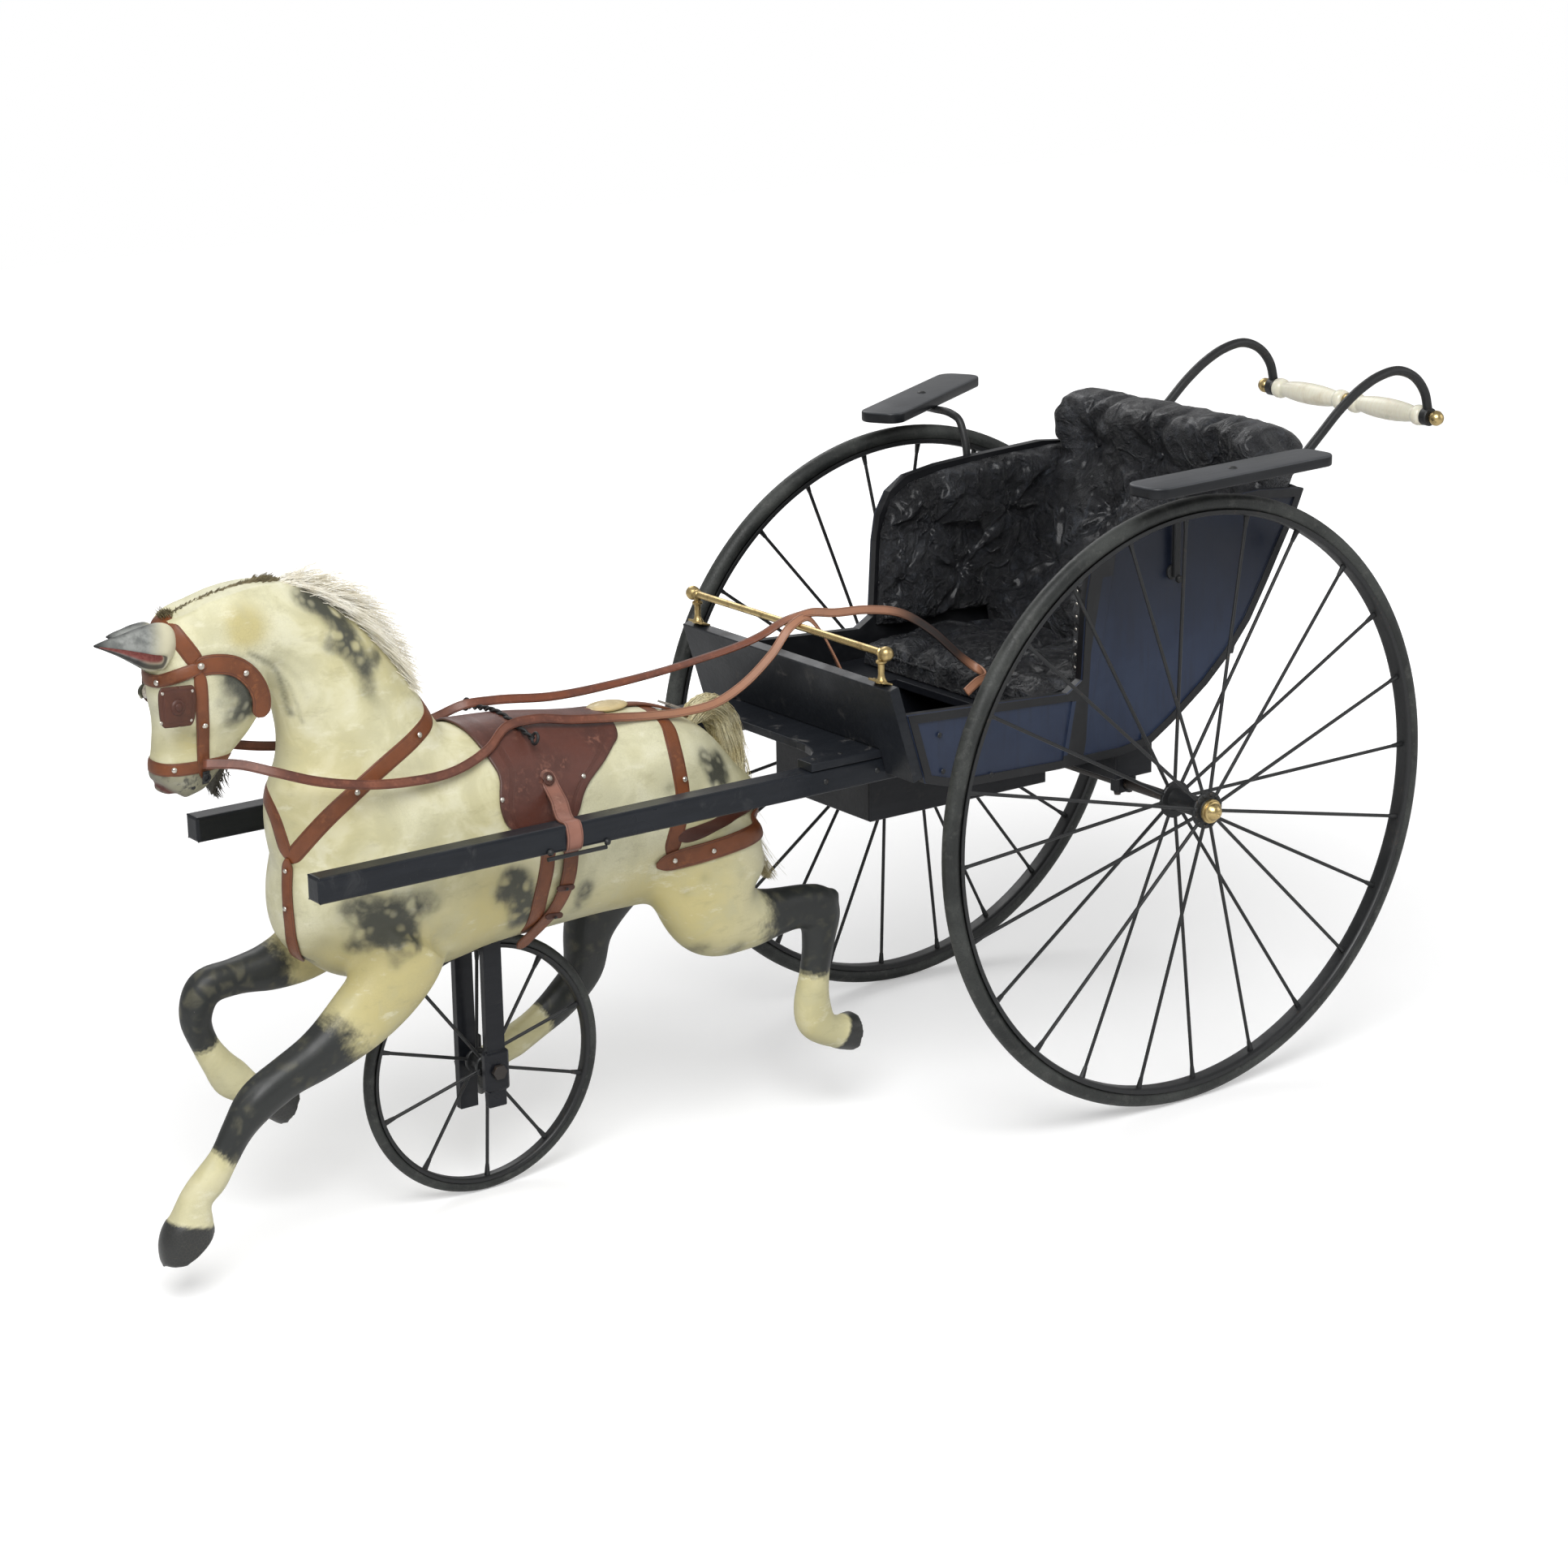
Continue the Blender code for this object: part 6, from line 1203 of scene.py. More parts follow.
# painted wood and iron left as modelled, with eased edges
def sidePaint():
    # navy field inside a raised black moulding, rubbed pale in places, with painted shade darkening its upper
    # part
    paint = Paint("side_panel_paint", Specular_IOR_Level=0.45)
    out = (paint.axis("Y") - origin.y).sum("ABSOLUTE")
    # the raised frame is black, but its broad post keeps only a narrow black line
    ahead, high = paint.axis("X") - origin.x, paint.axis("Z")
    post = ahead - (high - 0.352) * 0.2 + 0.104
    wing = ahead - (high - 0.432) * 0.064 + 0.088
    behindPost = post.ramp(0.0048, 0.0054) * wing.ramp(0.0085, 0.0091) * post.ramp(0.0195, 0.019)
    beforePost = post.ramp(-0.0036, -0.0042) * post.ramp(-0.01, -0.0095) * high.ramp(0.413, 0.4125)
    bare = behindPost.most(beforePost) * high.ramp(0.3605, 0.3611) * high.ramp(0.53, 0.5294)
    moulding = out.ramp(0.1713, 0.1716) * (1 - bare)
    inner = out.ramp(0.1699, 0.1696)
    broad = paint.noise(5, 3, 0.5)
    cloud = paint.noise(17, 5, 0.62, twist=0.5)
    brush = paint.noise(1.0, 4, 0.6, paint.stretch((150, 30, 16)))
    scratches = paint.noise(1.0, 4, 0.7, paint.stretch((40, 40, 420), (0, 0.5, 0))).ramp(0.68, 0.78)
    # painted shade: the navy darkens towards the top of the panel, and its lighter patches keep to the lower
    # part
    low = high.ramp(0.56, 0.42) * 0.65 + broad.ramp(0.3, 0.7) * 0.35
    tone = paint.blend(low, (0.0055, 0.0085, 0.0185), (0.017, 0.029, 0.066))
    tone = paint.blend(cloud.ramp(0.44, 0.75) * low * 0.5, tone, (0.034, 0.05, 0.09))
    tone = paint.blend(brush.ramp(0.45, 0.75) * 0.3, tone, (0.01, 0.012, 0.02))
    tone = paint.blend(scratches * cloud.ramp(0.5, 0.7) * 0.5, tone, (0.16, 0.17, 0.19))
    black = paint.blend(cloud.ramp(0.45, 0.75) * 0.5, (0.007, 0.0075, 0.009), (0.03, 0.031, 0.034))
    tone = paint.blend(moulding.most(inner), tone, black)
    height = brush * 0.5 + cloud * 0.4 - scratches * 0.5
    return paint.joined(tone, cloud.ramp(0.3, 0.7, 0.3, 0.48), height, 0.0005, 0.45)


finishes["side"] = sidePaint()
cadLooks = {
    "near_side_panel": ("side", "blue_paint", 0.0007), "off_side_panel": ("side", "blue_paint", 0.0007),
    "near_shaft": ("shaft", "black_paint", 0.0016), "off_shaft": ("shaft", "black_paint", 0.0016),
    "footboard": ("board", "black_paint", 0.0009), "body_floor": ("black", "black_paint", 0.0006),
    "foot_well": ("black", "black_paint", 0.001), "axle_beam": ("black", "black_paint", 0.001),
    "dashboard": ("board", "black_paint", 0.0009), "back_panel": ("black", "black_paint", 0.0006),
    "near_fork_post": ("black", "black_paint", 0.0009), "off_fork_post": ("black", "black_paint", 0.0009),
    "rear_axle": ("rust", "iron", 0.0004), "front_axle": ("rust", "iron", 0.0004),
}


def dressCad():
    for node, (finish, slot, ease) in cadLooks.items():
        piece = bpy.data.objects[node]
        weld = piece.modifiers.new("weld", "WELD")
        weld.merge_threshold = 1e-5
        soft = piece.modifiers.new("soft_edges", "BEVEL")
        soft.width = ease
        soft.segments = 2
        soft.limit_method = "ANGLE"
        soft.angle_limit = math.radians(38)
        soft.harden_normals = False
        piece.data.materials.clear()
        piece.data.materials.append(finishes[finish])


dressCad()


def gigTrim():
    # nail heads, screws and brackets that hold the boards together
    nails = Shape()
    for i in range(9):
        nails.ball((-0.0863 + 0.0004 * i, -0.1585, 0.442 + i * 0.0125), 0.0015, (0.55, 1, 1), detail=8)
    finishPiece("wing_nails", nails.mesh("nails"), gig, "silver")
    heads = Shape()
    for sign in (-1, 1):
        for x, z in (
            (-0.258, 0.372), (-0.262, 0.408), (0.08, 0.415), (0.158, 0.56), (-0.01, 0.362), (-0.2, 0.358),
        ):
            screwHead(heads, (x, sign * 0.1724, z), 0.0026, "Y", sign)
        for x in (-0.36, -0.3, -0.18, -0.06):
            screwHead(heads, (x, sign * 0.1252, 0.37), 0.0028, "Y", sign)
        for x in (-0.366, -0.335, -0.3):
            screwHead(heads, (x, sign * 0.114, 0.3904), 0.0026)
    finishPiece("gig_screws", heads.mesh("screws"), gig, "iron")
    iron = Shape()
    for sign in (-1, 1):
        # hinge-like bracket where the body meets the shaft, and the axle clips' bolts
        iron.block((-0.05, sign * 0.1262 - 0.0014, 0.356), (-0.012, sign * 0.1262 + 0.0014, 0.3815), 0.0006)
        for x in (-0.044, -0.018):
            iron.lathe(
                [(0, 0.0024), (0.0034, 0.0024), (0.004, 0), (0, 0)],
                facing("Y", (x, sign * 0.1276, 0.369), sign), 6,
            )
        for x in (-0.0075, 0.0075):
            bolt = facing("Z", (x, sign * 0.132, 0.2966), -1)
            iron.lathe([(0, 0.003), (0.0034, 0.003), (0.004, 0.0004), (0.004, 0), (0, 0)], bolt, 6)
    finishPiece("body_brackets", iron.mesh("brackets"), gig, "rust", sharp=30)


gigTrim()
print("gig dressed")


# upholstery
padSet = {"pressure": 3.0, "frames": 16, "slack": -0.1, "reach": 0.006}
rearCurve = [
    (0.012, 0.36), (0.027, 0.369), (0.043, 0.38), (0.073, 0.401), (0.103, 0.4275), (0.129, 0.458),
    (0.151, 0.494), (0.168, 0.524), (0.185, 0.553), (0.198, 0.582), (0.2195, 0.6294),
]


def quilting(u, v, tufts):
    # how far each button pulls the hide in, and the folds that run out from it
    depth = 0.0
    fold = 0.0
    for tuftU, tuftV, wide, high, spread, folds in tufts:
        across, up = (u - tuftU) * wide, (v - tuftV) * high
        distance = math.hypot(across, up)
        depth = max(depth, math.exp(-((distance / spread) ** 1.15)))
        angle = math.atan2(up, across)
        spot = Vector((math.cos(angle) * 1.7, math.sin(angle) * 1.7, tuftU * 9 + tuftV * 5))
        ray = math.cos(angle * folds + noise.noise(spot) * 2.4)
        fold += ray * math.exp(-distance / (spread * 2.2)) * min(1.0, distance / (spread * 0.35))
    return depth, fold


def wave(turns):
    return math.cos(2 * math.pi * turns)


def hump(away, reach):
    return math.exp(-((away / reach) ** 2))


def stuffed(u, v, edgeU, edgeV):
    reach = min(1.0, min(u, 1 - u) / edgeU)
    climb = min(1.0, min(v, 1 - v) / edgeV)
    return math.sqrt(1 - (1 - reach) ** 2) * math.sqrt(1 - (1 - climb) ** 2)


def simulate(name, mesh, held):
    # the hide, a little too big for its pad, is blown up over the stuffing while seams and buttons stay put
    holder = addObject(name, mesh)
    group = holder.vertex_groups.new(name="held")
    group.add([int(i) for i in np.nonzero(held > 0.5)[0]], 1.0, "REPLACE")
    cloth = holder.modifiers.new("cloth", "CLOTH")
    values = cloth.settings
    values.vertex_group_mass = "held"
    values.quality = 6
    values.mass = 0.12
    values.tension_stiffness = values.compression_stiffness = 14
    values.shear_stiffness = 5
    values.bending_stiffness = 0.12
    values.air_damping = 3
    values.use_pressure = True
    values.uniform_pressure_force = padSet["pressure"]
    values.shrink_min = padSet["slack"]
    values.shrink_max = padSet["slack"]
    values.effector_weights.gravity = 0
    cloth.point_cache.frame_start = 1
    cloth.point_cache.frame_end = padSet["frames"]
    scene = bpy.context.scene
    for frameNumber in range(1, padSet["frames"] + 1):
        scene.frame_set(frameNumber)
    made = bpy.data.meshes.new_from_object(holder.evaluated_get(bpy.context.evaluated_depsgraph_get()))
    moved = meshPoints(made)
    bpy.data.objects.remove(holder)
    bpy.data.meshes.remove(made)
    scene.frame_set(1)
    return moved


def makePad(name, columns, rows, front, back, tufts, node, finish="hide", wrinkle=0.0028):
    # a closed hide: a quilted face welded round its border to a plain back
    bm = bmesh.new()
    loose = bm.verts.layers.float.new("loose")
    for face, place in (("front", front), ("back", back)):
        made = bmesh.ops.create_grid(bm, x_segments=columns, y_segments=rows, size=0.5)["verts"]
        for vert in made:
            u, v = vert.co.x + 0.5, vert.co.y + 0.5
            free = face == "front" and 0.001 < u < 0.999 and 0.001 < v < 0.999
            for tuftU, tuftV, wide, high, *_ in tufts:
                if math.hypot((u - tuftU) * wide, (v - tuftV) * high) < 0.0045:
                    free = False
            vert[loose] = 1.0 if free else 0.0
            vert.co = place(u, v)
    bmesh.ops.remove_doubles(bm, verts=bm.verts, dist=1e-5)
    bmesh.ops.recalc_face_normals(bm, faces=bm.faces)
    mesh = bpy.data.meshes.new(name)
    bm.to_mesh(mesh)
    bm.free()
    start = meshPoints(mesh)
    free = np.empty(len(start), np.float32)
    mesh.attributes["loose"].data.foreach_get("value", free)
    moved = simulate(name, mesh, 1 - free)
    change = moved - start
    length = np.linalg.norm(change, axis=1)
    most, mean = float(length.max() * 1000), float(length.mean() * 1000)
    print(name, "moved", round(most, 1), "mm at most,", round(mean, 2), "mean")
    capped = change * (np.minimum(length, padSet["reach"]) / np.maximum(length, 1e-9))[:, None]
    setPoints(mesh, start + capped)
    # fine creases in the loose hide
    points = meshPoints(mesh)
    normals = meshNormals(mesh)
    crease = np.array(
        [1 - 2 * abs(noise.fractal(Vector(p) * 30 + Vector((3, 1, 7)), 0.9, 2.0, 4)) for p in points]
    )
    small = np.array([noise.fractal(Vector(p) * 95, 0.8, 2.1, 3) for p in points])
    relief = (crease - 0.6) * wrinkle + small * wrinkle * 0.35
    setPoints(mesh, points + normals * relief[:, None] * free[:, None])
    piece = finishPiece(name, mesh, gig, finish, (node,), sharp=180, subdivide=1)
    return piece


def addButtons(name, spots):
    # covered buttons, each a flattened dome sunk in its tuft
    shape = Shape()
    for place, way in spots:
        profile = [
            (0, 0.0026), (0.0022, 0.0024), (0.0042, 0.0014), (0.0055, 0.0), (0.005, -0.0012), (0, -0.0014),
        ]
        shape.lathe(profile, standing(place + way * 0.0008, way), 18)
    finishPiece(name, shape.mesh("buttons"), gig, "seat")


def surfaceAt(front, u, v):
    # the place and the outward way of a pad's face
    step = 0.02
    middle = Vector(front(u, v))
    across = Vector(front(u + step, v)) - Vector(front(u - step, v))
    up = Vector(front(u, v + step)) - Vector(front(u, v - step))
    return middle, across.cross(up).normalized()


def alongCurve(line, share):
    places = np.array(line)
    at = distances(places)

    def spot(where):
        where = min(max(where, 0.0), at[-1])
        return np.array([np.interp(where, at, places[:, 0]), np.interp(where, at, places[:, 1])])

    here = share * at[-1]
    way = spot(here + 0.012) - spot(here - 0.012)
    way /= np.linalg.norm(way)
    return spot(here), np.array([-way[1], way[0]])


backSet = {
    "half": 0.1614, "lift": 0.0076, "full": 0.0335, "tuft": 0.0155, "roll": 0.8, "fold": 0.003,
    "ruche": 0.0011,
    "pleat": 0.0013,
}


def makeBackPad():
    half, lift = backSet["half"], backSet["lift"]
    line = [(x, z) for x, z in rearCurve if z > 0.4]
    line = [(0.0672, 0.3968), *line]
    tufts = [(u, 0.8, 0.32, 0.27, 0.03, 7) for u in (0.2, 0.5, 0.8)]
    tufts += [(u, 0.56, 0.32, 0.27, 0.027, 6) for u in (0.35, 0.65)]
    tufts += [(u, 0.32, 0.32, 0.27, 0.027, 6) for u in (0.2, 0.5, 0.8)]

    def thickness(u, v):
        roll = 1 + backSet["roll"] * hump(v - 0.885, 0.095)
        depth, fold = quilting(u, v, tufts)
        shape = stuffed(u, v, 0.06, 0.085)
        full = backSet["full"] * roll * shape - backSet["tuft"] * depth * shape
        ruche = backSet["ruche"] * wave(v * 17 + 0.4 * math.sin(u * 9)) * hump(min(u, 1 - u), 0.1)
        pleat = backSet["pleat"] * wave(u * 13 + 0.25 * math.sin(v * 21)) * fade(v, 0.84, 0.93)
        return full + (backSet["fold"] * fold + ruche + pleat) * shape

    def place(u, v, thick):
        corner = 1 - min(1.0, min(u, 1 - u) / 0.09)
        spot, square = alongCurve(line, v * (1 - 0.045 * corner**2))
        x, z = spot + square * (lift + thick)
        return (x, half * (2 * u - 1), z)

    def front(u, v):
        return place(u, v, max(0.0, float(thickness(u, v))))

    def back(u, v):
        return place(u, v, -0.004 * float(fade(v, 0.86, 0.93)) * stuffed(u, v, 0.06, 0.05))

    makePad("back_pad_hide", 92, 74, front, back, tufts, "back_pad")
    spots = []
    for tuft in tufts:
        middle, way = surfaceAt(front, tuft[0], tuft[1])
        _, square = alongCurve(line, tuft[1])
        spots.append((middle, Vector((square[0], 0, square[1]))))
    addButtons("back_pad_buttons", spots)


wingSet = {"inner": 0.1614, "full": 0.0205, "tuft": 0.0115, "fold": 0.0028, "ruche": 0.001, "swell": 0.0012}
wingLow = [(-0.086, 0.4225), (0.0, 0.4225), (0.08, 0.4225), (0.118, 0.4225)]
wingHigh = [(-0.079, 0.518), (-0.066, 0.552), (-0.042, 0.5675), (0.0, 0.5755), (0.06, 0.581), (0.168, 0.585)]


def alongEdge(line, share):
    places = np.array(line)
    at = distances(places)
    return [float(np.interp(share * at[-1], at, places[:, column])) for column in (0, 1)]


def makeWingPads():
    inner = wingSet["inner"]
    tufts = [
        (0.32, 0.66, 0.24, 0.15, 0.026, 6), (0.5, 0.3, 0.24, 0.15, 0.026, 7),
        (0.72, 0.66, 0.24, 0.15, 0.024, 6),
    ]

    def thickness(u, v):
        depth, fold = quilting(u, v, tufts)
        shape = stuffed(u, v, 0.11, 0.15)
        groove = hump(u - 0.4 - 0.1 * (1 - v), 0.035) * fade(v, 0.7, 0.45)
        ruche = wingSet["ruche"] * wave(u * 15 + v * 2.5) * hump(min(v, 1 - v), 0.16)
        swell = wingSet["swell"] * math.sin(u * 17 + v * 6) * math.sin(v * 9 - u * 4)
        full = wingSet["full"] * shape - wingSet["tuft"] * depth * shape - 0.005 * groove * shape
        return full + (wingSet["fold"] * fold + ruche + swell) * shape

    for name, sign in sideSigns.items():

        def place(u, v, thick, sign=sign):
            low = alongEdge(wingLow, u)
            high = alongEdge(wingHigh, u)
            x = low[0] + v * (high[0] - low[0])
            z = low[1] + v * (high[1] - low[1])
            return (x, sign * (inner - thick), z)

        def front(u, v):
            return place(u, v, max(0.0, thickness(u, v)))

        def back(u, v):
            return place(u, v, 0.0)

        makePad(f"{name}_wing_hide", 84, 58, front, back, tufts, f"{name}_wing_pad")
        spots = [(Vector(front(u, v)), Vector((0, -sign, 0))) for u, v, *_ in tufts]
        addButtons(f"{name}_wing_buttons", spots)


cushionSet = {
    "front": -0.118, "rear": 0.056, "half": 0.1414, "low": 0.3909, "edge": 0.015, "crown": 0.0138,
    "tuft": 0.0085,
    "fold": 0.0017, "welt": 0.0017,
}


def makeCushion():
    frontX, rearX, half, low = (cushionSet[key] for key in ("front", "rear", "half", "low"))
    length = rearX - frontX
    tufts = [(u, v, length, 2 * half, 0.019, 6) for u in (0.3, 0.7) for v in (0.2, 0.5, 0.8)]

    def thickness(u, v):
        depth, fold = quilting(u, v, tufts)
        # a boxed edge: the face climbs steeply from the lower seam, then crowns
        reach = min(1.0, min(u, 1 - u) * length / 0.006) * min(1.0, min(v, 1 - v) * 2 * half / 0.006)
        crown = stuffed(u, v, 0.2, 0.13)
        climb = cushionSet["edge"] * math.sqrt(max(0.0, 1 - (1 - reach) ** 2))
        full = climb + cushionSet["crown"] * crown - cushionSet["tuft"] * depth
        swell = 0.0009 * math.sin(u * 13 + v * 31) * math.sin(v * 17 - u * 8)
        return full * min(1.0, reach * 4) + (cushionSet["fold"] * fold + swell) * crown

    def front(u, v):
        return (frontX + u * length, half * (2 * v - 1), low + max(0.0, thickness(u, v)))

    def back(u, v):
        return (frontX + u * length, half * (2 * v - 1), low)

    makePad("seat_cushion_hide", 72, 96, front, back, tufts, "seat_cushion", "seat", 0.0011)
    addButtons("cushion_buttons", [(Vector(front(u, v)), Vector((0, 0, 1))) for u, v, *_ in tufts])
    # a corded welt round the cushion's upper edge
    edge = 0.003
    corners = [
        (frontX + edge, -half + edge), (rearX - 0.008, -half + edge), (rearX - 0.008, half - edge),
        (frontX + edge, half - edge),
    ]
    line = []
    for (ax, ay), (bx, by) in zip(corners, corners[1:] + corners[:1]):
        for i in range(24):
            t = i / 24
            z = low + cushionSet["edge"] + 0.0004 * math.sin(i * 1.7)
            line.append((ax + (bx - ax) * t, ay + (by - ay) * t, z))
    line.append(line[0])
    welt = tubeMesh("welt", [line], cushionSet["welt"], 3)
    finishPiece("cushion_welt", welt, gig, "seat", sharp=180)


makeBackPad()
makeWingPads()
makeCushion()
print("upholstery made")


# harness, with straps pressed onto the horse's skin
strapSet = {"thick": 0.0024, "lift": 0.0004, "step": 0.004, "smooth": 3}


def strapMesh(name, route, width, lift=0.0, ends=(0.35, 0.35), across=12, lie=None, face=None, step=None):
    # lie is the way across for a strap in the air, face the way that a flat strap beside the skin looks
    step = step or strapSet["step"]
    line = smoothLine(route, step)
    count = len(line) - 1
    ways = headings(line)
    snapped = lie is None and face is None
    normals = []
    for place, way in zip(line, ways):
        if face is not None:
            normals.append(np.array(face, float))
        elif lie is not None:
            flat = np.array(lie, float)
            normals.append(np.cross(way, flat - way * flat.dot(way)))
        else:
            normals.append(np.array(skinAt(place[:3])[1]))
    normals = np.array(normals)
    ease(normals, 5)
    normals /= np.linalg.norm(normals, axis=1)[:, None]
    sides = np.cross(normals, ways)
    sides /= np.linalg.norm(sides, axis=1)[:, None]
    spots = np.zeros((count + 1, across + 1, 3))
    for i in range(count + 1):
        # rounded ends
        reach = min(i * step / (width * ends[0] + 1e-9), (count - i) * step / (width * ends[1] + 1e-9), 1.0)
        half = width / 2 * math.sqrt(max(0.0, 1 - (1 - max(0.04, reach)) ** 2))
        for j in range(across + 1):
            share = 2 * j / across - 1
            spot = line[i, :3] + sides[i] * half * share
            if snapped:
                hit, normal = skinAt(spot)
                spot = np.array(hit + normal * (strapSet["lift"] + lift))
                spot += normals[i] * 0.0005 * (1 - share**4)
            spots[i, j] = spot
    if snapped:
        ease(spots, strapSet["smooth"])

    def place(u, v):
        return Vector(spots[min(count, int(round(v * count))), min(across, int(round(u * across)))])

    return gridMesh(name, across, count, place, lambda u, v: {"across": 2 * u - 1, "along": v})


def addStrap(name, mesh, finish="tan", replaced=(), thick=None):
    return finishPiece(name, mesh, gig, finish, replaced, 50, 1, thick or strapSet["thick"])


def sideRoute(points, side, lift=0.0):
    # points given as x and z, laid on the horse from one side
    return [tuple(onSkin(x, z, side, lift)[0]) for x, z in points]


def overBack(rows, middle):
    # a route up the near side, over the places in the middle and down the off side
    return sideRoute(rows, -1) + middle + sideRoute(rows, 1)[::-1]


def nearest(x, y, z):
    return tuple(skinAt((x, y, z))[0])


def aroundUpright(centre, angles, reach):
    # places where a level ring meets the skin; angle 0 points to the horse's tail, 90 to the near side
    found = []
    for degrees in angles:
        out = Vector((math.cos(math.radians(degrees)), -math.sin(math.radians(degrees)), 0))
        hit = skin.ray_cast(Vector(centre) + out * reach, -out)[0]
        if hit is not None:
            found.append(tuple(hit))
    return found


def stud(shape, place, normal, radius=0.0026, high=0.5):
    normal = Vector(normal).normalized()
    tall = radius * high
    profile = [
        (0, tall), (radius * 0.5, tall * 0.86), (radius * 0.85, tall * 0.42), (radius, 0),
        (radius * 0.9, -0.0006), (0, -0.0006),
    ]
    shape.lathe(profile, standing(place, normal), 18)


def studAt(shape, x, z, side, radius=0.0026, lift=0.0034, high=0.5):
    hit, normal = onSkin(x, z, side)
    stud(shape, hit + normal * lift, normal, radius, high)


finishes["saddle"] = tanLeather("saddle_leather", (0.105, 0.03, 0.018), (0.27, 0.11, 0.07), 0.75)
finishes["tug"] = tanLeather("tug_leather", (0.3, 0.13, 0.09), (0.46, 0.26, 0.19), 0.5)

# rows of the saddle from the backbone down: height as a share, front x, rear x
saddleRows = [
    (0.0, -0.69, -0.53), (0.12, -0.688, -0.531), (0.28, -0.683, -0.535), (0.36, -0.679, -0.541),
    (0.47, -0.6765, -0.5545), (0.552, -0.68, -0.5673), (0.622, -0.6822, -0.5803), (0.762, -0.6822, -0.5944),
    (0.881, -0.6774, -0.6), (0.95, -0.67, -0.605), (1.0, -0.656, -0.618),
]
saddleSet = {
    "low": 0.362, "top": 0.433, "thick": 0.0026, "swell": 0.004, "grid": (30, 84),
    "studs": [(-0.6799, 0.3991), (-0.5898, 0.4031)],
}


def makeSaddle():
    # one hide over the back, its lower edges curved like a flap on each flank
    rows = smoothLine([(front, rear, share) for share, front, rear in saddleRows], 0.01)
    shares = rows[:, 2]

    def place(u, v):
        # v runs from the near edge over the back to the off edge
        share = abs(2 * v - 1)
        frontX = float(np.interp(share, shares, rows[:, 0]))
        rearX = float(np.interp(share, shares, rows[:, 1]))
        x = frontX + u * (rearX - frontX)
        tilt = (1 - 2 * v) / 0.42 * math.radians(56)
        out = Vector((0, -math.sin(tilt), math.cos(tilt)))
        blend = float(fade(share, 0.3, 0.42))
        spot = None
        if blend < 1:
            spot = skin.ray_cast(Vector((x, 0, 0.375)) + out * 0.2, -out)[0]
        if blend > 0:
            z = saddleSet["top"] - (share - 0.3) / 0.7 * (saddleSet["top"] - saddleSet["low"])
            flank = onSkin(x, z, -1 if v < 0.5 else 1)[0]
            spot = flank if spot is None else spot.lerp(flank, blend)
        hit, normal = skinAt(spot)
        return hit + normal * 0.0004

    # the two ways of laying it are eased into each other
    wide, long = saddleSet["grid"]
    spots = np.array([[tuple(place(i / wide, j / long)) for i in range(wide + 1)] for j in range(long + 1)])
    ease(spots, 6)

    def eased(u, v):
        hit, normal = skinAt(spots[int(round(v * long)), int(round(u * wide))])
        return hit + normal * 0.0004

    def marks(u, v):
        return {"across": max(abs(2 * u - 1), abs(2 * v - 1) ** 3), "along": v}

    mesh = gridMesh("saddle_hide", wide, long, eased, marks)
    # the padded seat swells over the backbone
    points = meshPoints(mesh)
    points[:, 2] += saddleSet["swell"] * near(points * [1, 1, 0], (-0.625, 0, 0), 0.05)
    setPoints(mesh, points)
    finishPiece("saddle_hide", mesh, gig, "saddle", ("saddle",), 50, 1, saddleSet["thick"])
    metal, washers = Shape(), Shape()
    for side in (-1, 1):
        for x, z in saddleSet["studs"]:
            studAt(metal, x, z, side, 0.0024)
        studAt(metal, -0.6288, 0.4072, side, 0.003, 0.0072, 0.7)
        studAt(washers, -0.6288, 0.4072, side, 0.0062, 0.006, 0.14)
    finishPiece("saddle_studs", metal.mesh("studs"), gig, "silver")
    finishPiece("saddle_washers", washers.mesh("washers"), gig, "tanDark", sharp=60)


tugSet = {
    "x": -0.638, "width": 0.0172, "girth": 0.016, "girthEnd": 0.0158, "keeper": 0.006, "over": 0.3834,
    "under": 0.3566, "outside": 0.1264, "rod": (-0.668, -0.606),
}
keepers = [(-0.6184, 0.3073), (-0.624, 0.28)]
girthRows = [(-0.613, 0.335), (-0.616, 0.31), (-0.624, 0.285), (-0.633, 0.266)]


